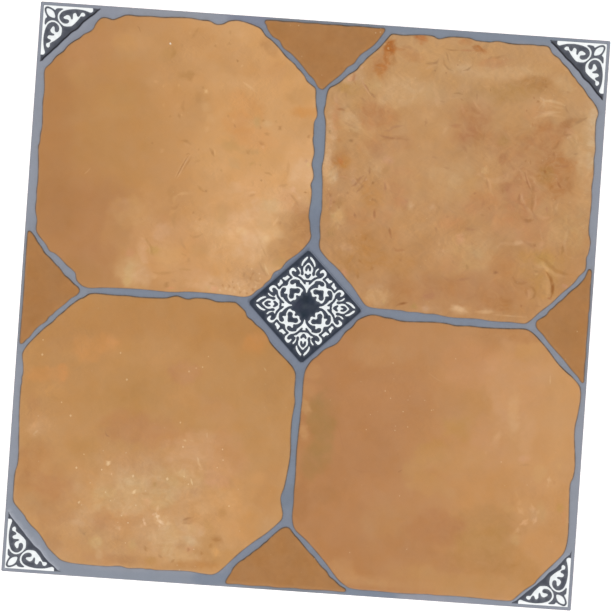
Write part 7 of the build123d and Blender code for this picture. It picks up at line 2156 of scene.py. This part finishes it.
def field_material(name, mottle, roughness):
    m, nodes, links, shader = material(name)
    net = Net(nodes, links)
    tone_in, ground_in = net.attribute("tone"), net.attribute("ground")
    parts = nodes.new("ShaderNodeSeparateColor")
    links.new(net.attribute("feel"), parts.inputs[0])
    folds, sand, crackle = parts.outputs[0], parts.outputs[1], parts.outputs[2]

    def centred(value, amount):
        return net.math("MULTIPLY", net.math("SUBTRACT", value, 0.5), amount)

    def emboss(scale, detail, shift, offset):
        """Painted light on one side of each swelling and painted shade on the other."""
        here = net.noise(scale, detail, 0.58, 1.1, (1.0, 1.35, 33), offset)
        there = net.noise(scale, detail, 0.58, 1.1, (1.0, 1.35, 33), (offset[0] + shift, offset[1] + shift * 0.7, 0))
        return net.math("SUBTRACT", here, there), here

    # the patches break up into wisps: their strength over the ground varies from place to place
    wisp = net.span(net.noise(85, 6, 0.62, 1.2, (1.0, 1.25, 20), (2, 3, 0)), 0.36, 0.64, -1.0, 1.0)
    much = net.math("MULTIPLY_ADD", folds, 0.30, 0.12)
    colour = net.over(ground_in, tone_in, net.math("MULTIPLY_ADD", wisp, much, 1.0))
    # plaster folds: painted highlight along pale fold lines, painted shade along dark fold lines, and painted light and
    # shade over the swellings
    soft = net.noise(60, 6, 0.60, 0.9, None, (7, 1, 0))
    gate_a = net.span(net.noise(46, 3, 0.5, 0.5, None, (9, 2, 0)), 0.47, 0.66)
    gate_b = net.span(net.noise(52, 3, 0.5, 0.5, None, (1, 9, 0)), 0.50, 0.68)
    fold_highlight = net.math("ABSOLUTE", net.math("SUBTRACT", net.noise(30, 4, 0.55, 1.5, (1.0, 1.5, 40), (4, 6, 0)), 0.5))
    fold_highlight = net.math("MULTIPLY", net.span(fold_highlight, 0.0, 0.030, 1.0, 0.0), gate_a)
    fold_shade = net.math("ABSOLUTE", net.math("SUBTRACT", net.noise(34, 5, 0.58, 1.5, (1.0, 1.4, -30), (3, 1, 0)), 0.5))
    fold_shade = net.math("MULTIPLY", net.span(fold_shade, 0.0, 0.020, 1.0, 0.0), gate_b)
    swell_shading, swell_height = emboss(64, 3.5, 0.0016, (1, 5, 0))
    total = net.math("ADD", centred(soft, mottle), net.math("MULTIPLY", fold_highlight, 0.055))
    total = net.math("SUBTRACT", total, net.math("MULTIPLY", fold_shade, 0.050))
    total = net.math("MULTIPLY", net.math("ADD", total, net.math("MULTIPLY", swell_shading, 0.42)), folds)
    # fine crackle with painted light and shade, and sand
    crackle_shading, _ = emboss(190, 3, 0.0007, (6, 2, 0))
    here = net.span(net.noise(24, 3, 0.5, 0.5, None, (5, 8, 0)), 0.44, 0.62)
    crackle_shading = net.math("MULTIPLY", net.math("MULTIPLY", crackle_shading, here), crackle)
    total = net.math("ADD", total, net.math("MULTIPLY", crackle_shading, 0.40))
    grit = net.noise(360, 4, 0.7, 0.2, None, (3, 3, 0))
    total = net.math("ADD", total, net.math("MULTIPLY", centred(grit, 0.20), sand))
    fine = net.noise(700, 2, 0.6, 0.0, None, (3, 1, 0))
    total = net.math("ADD", total, centred(fine, 0.045))
    colour = net.scaled(colour, net.math("ADD", total, 1.0))
    # warmer and cooler clouds
    hue = net.span(net.noise(70, 5, 0.6, 0.6, None, (4, 7, 0)), 0.36, 0.64)
    cool = net.mix(1.0, colour, (0.992, 1.003, 1.035), "MULTIPLY")
    warm = net.mix(1.0, colour, (1.010, 0.998, 0.968), "MULTIPLY")
    colour = net.mix(hue, cool, warm)
    # pits and pale flecks
    cells = nodes.new("ShaderNodeTexVoronoi")
    cells.inputs["Scale"].default_value = 105
    links.new(net.place, cells.inputs["Vector"])
    rare = net.noise(38, 2, 0.5, 0.0, None, (2, 8, 0))
    pit = net.math("MULTIPLY", net.span(cells.outputs["Distance"], 0.03, 0.075, 1.0, 0.0), net.span(rare, 0.58, 0.66))
    pit = net.math("MULTIPLY", pit, crackle)
    colour = net.mix(net.math("MULTIPLY", pit, 0.40), colour, (0.22, 0.12, 0.055))
    dots = nodes.new("ShaderNodeTexVoronoi")
    dots.inputs["Scale"].default_value = 150
    links.new(net.place, dots.inputs["Vector"])
    some = net.noise(90, 2, 0.5, 0.0, None, (8, 4, 0))
    fleck = net.math("MULTIPLY", net.span(dots.outputs["Distance"], 0.05, 0.12, 1.0, 0.0), net.span(some, 0.52, 0.60))
    fleck = net.math("MULTIPLY", fleck, sand)
    colour = net.mix(net.math("MULTIPLY", fleck, 0.55), colour, (0.60, 0.46, 0.29))
    links.new(colour, shader.inputs["Base Color"])
    worn = net.noise(48, 5, 0.6, 0.5, None, (6, 3, 0))
    links.new(net.span(worn, 0.3, 0.7, roughness - 0.07, roughness + 0.09), shader.inputs["Roughness"])
    h = net.math("ADD", net.math("MULTIPLY", soft, 0.5), net.math("MULTIPLY", grit, 0.12))
    h = net.math("ADD", h, net.math("MULTIPLY", net.math("MULTIPLY", swell_height, folds), 0.5))
    h = net.math("SUBTRACT", h, net.math("MULTIPLY", pit, 0.25))
    links.new(net.bump(h, 0.00022, 0.55), shader.inputs["Normal"])
    return m


def joint_material():
    m, nodes, links, shader = material("joint_glaze")
    net = Net(nodes, links)
    tone_in = net.attribute("tone")
    sand = net.noise(1100, 3, 0.65)
    cloud = net.noise(150, 4, 0.6, 0.3, None, (5, 5, 0))
    a = net.math("MULTIPLY", net.math("SUBTRACT", sand, 0.5), 0.10)
    b = net.math("MULTIPLY", net.math("SUBTRACT", cloud, 0.5), 0.07)
    colour = net.scaled(tone_in, net.math("ADD", net.math("ADD", a, b), 1.0))
    links.new(colour, shader.inputs["Base Color"])
    links.new(net.span(cloud, 0.3, 0.7, 0.52, 0.68), shader.inputs["Roughness"])
    h = net.math("ADD", net.math("MULTIPLY", sand, 0.35), net.math("MULTIPLY", cloud, 0.65))
    links.new(net.bump(h, 0.00030, 0.6), shader.inputs["Normal"])
    return m


def enamel_material(name, shade, roughness):
    m, nodes, links, shader = material(name)
    net = Net(nodes, links)
    tone_in = net.attribute("tone")
    pool = net.noise(260, 4, 0.55, 0.4)
    fine_grain = net.noise(1400, 2, 0.5, 0.0, None, (1, 1, 0))
    a = net.math("MULTIPLY", net.math("SUBTRACT", pool, 0.5), shade)
    b = net.math("MULTIPLY", net.math("SUBTRACT", fine_grain, 0.5), shade * 0.5)
    links.new(net.scaled(tone_in, net.math("ADD", net.math("ADD", a, b), 1.0)), shader.inputs["Base Color"])
    links.new(net.span(pool, 0.3, 0.7, roughness - 0.05, roughness + 0.07), shader.inputs["Roughness"])
    links.new(net.bump(pool, 0.00012, 0.5), shader.inputs["Normal"])
    return m


def body_material():
    m, nodes, links, shader = material("fired_body", 0.85, 0.35)
    net = Net(nodes, links)
    z = nodes.new("ShaderNodeSeparateXYZ")
    links.new(net.place, z.inputs["Vector"])
    level = z.outputs["Z"]
    cloud = net.noise(38, 5, 0.6, 0.5)
    grain = net.noise(900, 4, 0.7, 0.0, None, (2, 4, 0))
    clay = net.mix(net.span(cloud, 0.32, 0.68), (0.355, 0.176, 0.098), (0.262, 0.128, 0.075))
    clay = net.scaled(clay, net.math("ADD", net.math("MULTIPLY", net.math("SUBTRACT", grain, 0.5), 0.34), 1.0))
    grog = nodes.new("ShaderNodeTexVoronoi")
    grog.inputs["Scale"].default_value = 420
    links.new(net.place, grog.inputs["Vector"])
    light_bits = net.math("MULTIPLY", net.span(grog.outputs["Distance"], 0.12, 0.22, 1.0, 0.0),
                          net.span(net.noise(300, 2, 0.5, 0.0, None, (7, 7, 0)), 0.56, 0.62))
    clay = net.mix(net.math("MULTIPLY", light_bits, 0.55), clay, (0.52, 0.36, 0.25))
    # pale release wash on the ribs of the underside
    wash = net.span(level, 0.00003, 0.00032, 1.0, 0.0)
    rubbed = net.span(net.noise(75, 5, 0.65, 0.8, None, (3, 3, 0)), 0.40, 0.60)
    clay = net.mix(net.math("MULTIPLY", net.math("MULTIPLY", wash, rubbed), 0.72), clay, (0.60, 0.52, 0.44))
    # the joint glaze runs a little way over the arris and down the sides
    edge = net.math("ADD", level, net.math("MULTIPLY", net.math("SUBTRACT", net.noise(85, 5, 0.6, 0.4, None, (8, 1, 0)), 0.5), 0.0042))
    glaze = net.span(edge, 0.0066, 0.0071)
    clay = net.mix(glaze, clay, net.mix(net.span(grain, 0.3, 0.7), (0.225, 0.235, 0.275), (0.262, 0.272, 0.315)))
    links.new(clay, shader.inputs["Base Color"])
    links.new(net.span(glaze, 0.0, 1.0, 0.88, 0.55), shader.inputs["Roughness"])
    h = net.math("ADD", net.math("MULTIPLY", grain, 0.5), net.math("MULTIPLY", cloud, 0.5))
    h = net.math("SUBTRACT", h, net.math("MULTIPLY", light_bits, 0.15))
    links.new(net.bump(h, 0.00045, 0.6), shader.inputs["Normal"])
    return m


for m in (field_material("terracotta_glaze", 0.17, 0.42), field_material("brown_glaze", 0.30, 0.45),
          joint_material(), enamel_material("navy_glaze", 0.30, 0.36), enamel_material("white_enamel", 0.035, 0.32),
          body_material()):
    mesh.materials.append(m)

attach(tile, "root")
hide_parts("tile")

# ---------------------------------------------------------------- floor, light and camera
floor_mesh = bpy.data.meshes.new("floor")
floor_mesh.from_pydata([(-6, -6, -0.0002), (6, -6, -0.0002), (6, 6, -0.0002), (-6, 6, -0.0002)], [], [(0, 1, 2, 3)])
floor = bpy.data.objects.new("floor", floor_mesh)
bpy.context.scene.collection.objects.link(floor)
m, nodes, links, shader = material("floor_paper", 0.9, 0.2)
shader.inputs["Base Color"].default_value = (0.90, 0.90, 0.90, 1)
shader.inputs["Emission Color"].default_value = (1, 1, 1, 1)
shader.inputs["Emission Strength"].default_value = 0.40
floor_mesh.materials.append(m)

world = bpy.data.worlds.new("studio")
world.use_nodes = True
world.node_tree.nodes["Background"].inputs["Color"].default_value = (1, 1, 1, 1)
world.node_tree.nodes["Background"].inputs["Strength"].default_value = WORLD
bpy.context.scene.world = world


def soft_light(name, azimuth, elevation, distance, size, watts):
    a, e = math.radians(azimuth), math.radians(elevation)
    at_ = Vector((distance * math.cos(e) * math.sin(a), distance * math.cos(e) * math.cos(a), distance * math.sin(e)))
    lamp = bpy.data.lights.new(name, "AREA")
    lamp.shape = "DISK"
    lamp.size = size
    lamp.energy = watts
    ob = bpy.data.objects.new(name, lamp)
    ob.location = at_
    ob.rotation_euler = (-at_).to_track_quat("-Z", "Y").to_euler()
    bpy.context.scene.collection.objects.link(ob)


for name, azimuth, watts in LIGHTS:
    soft_light(name, azimuth, 50, 3.2, 1.5, watts)

scene = bpy.context.scene
scene.view_settings.view_transform = "Standard"
scene.view_settings.look = "None"
scene.view_settings.exposure = 0
scene.view_settings.gamma = 1

# the camera looks straight down with a long lens; the tile lies turned by 4 degrees in its view
lens = 200.0
camera_data = bpy.data.cameras.new("camera")
camera_data.type = "PERSP"
camera_data.sensor_fit = "AUTO"
camera_data.sensor_width = 36.0
camera_data.lens = lens
camera_data.clip_start = 0.05
camera_data.clip_end = 30
camera = bpy.data.objects.new("camera", camera_data)
scene.collection.objects.link(camera)
scene.camera = camera
away = 0.48195 * lens / 36.0
roll = math.radians(3.995)
right = Vector((math.cos(roll), math.sin(roll), 0))
up = Vector((-math.sin(roll), math.cos(roll), 0))
camera.location = -right * 0.00027 + up * 0.00002 + Vector((0, 0, 0.0095 + away))
camera.rotation_euler = (0, 0, roll)
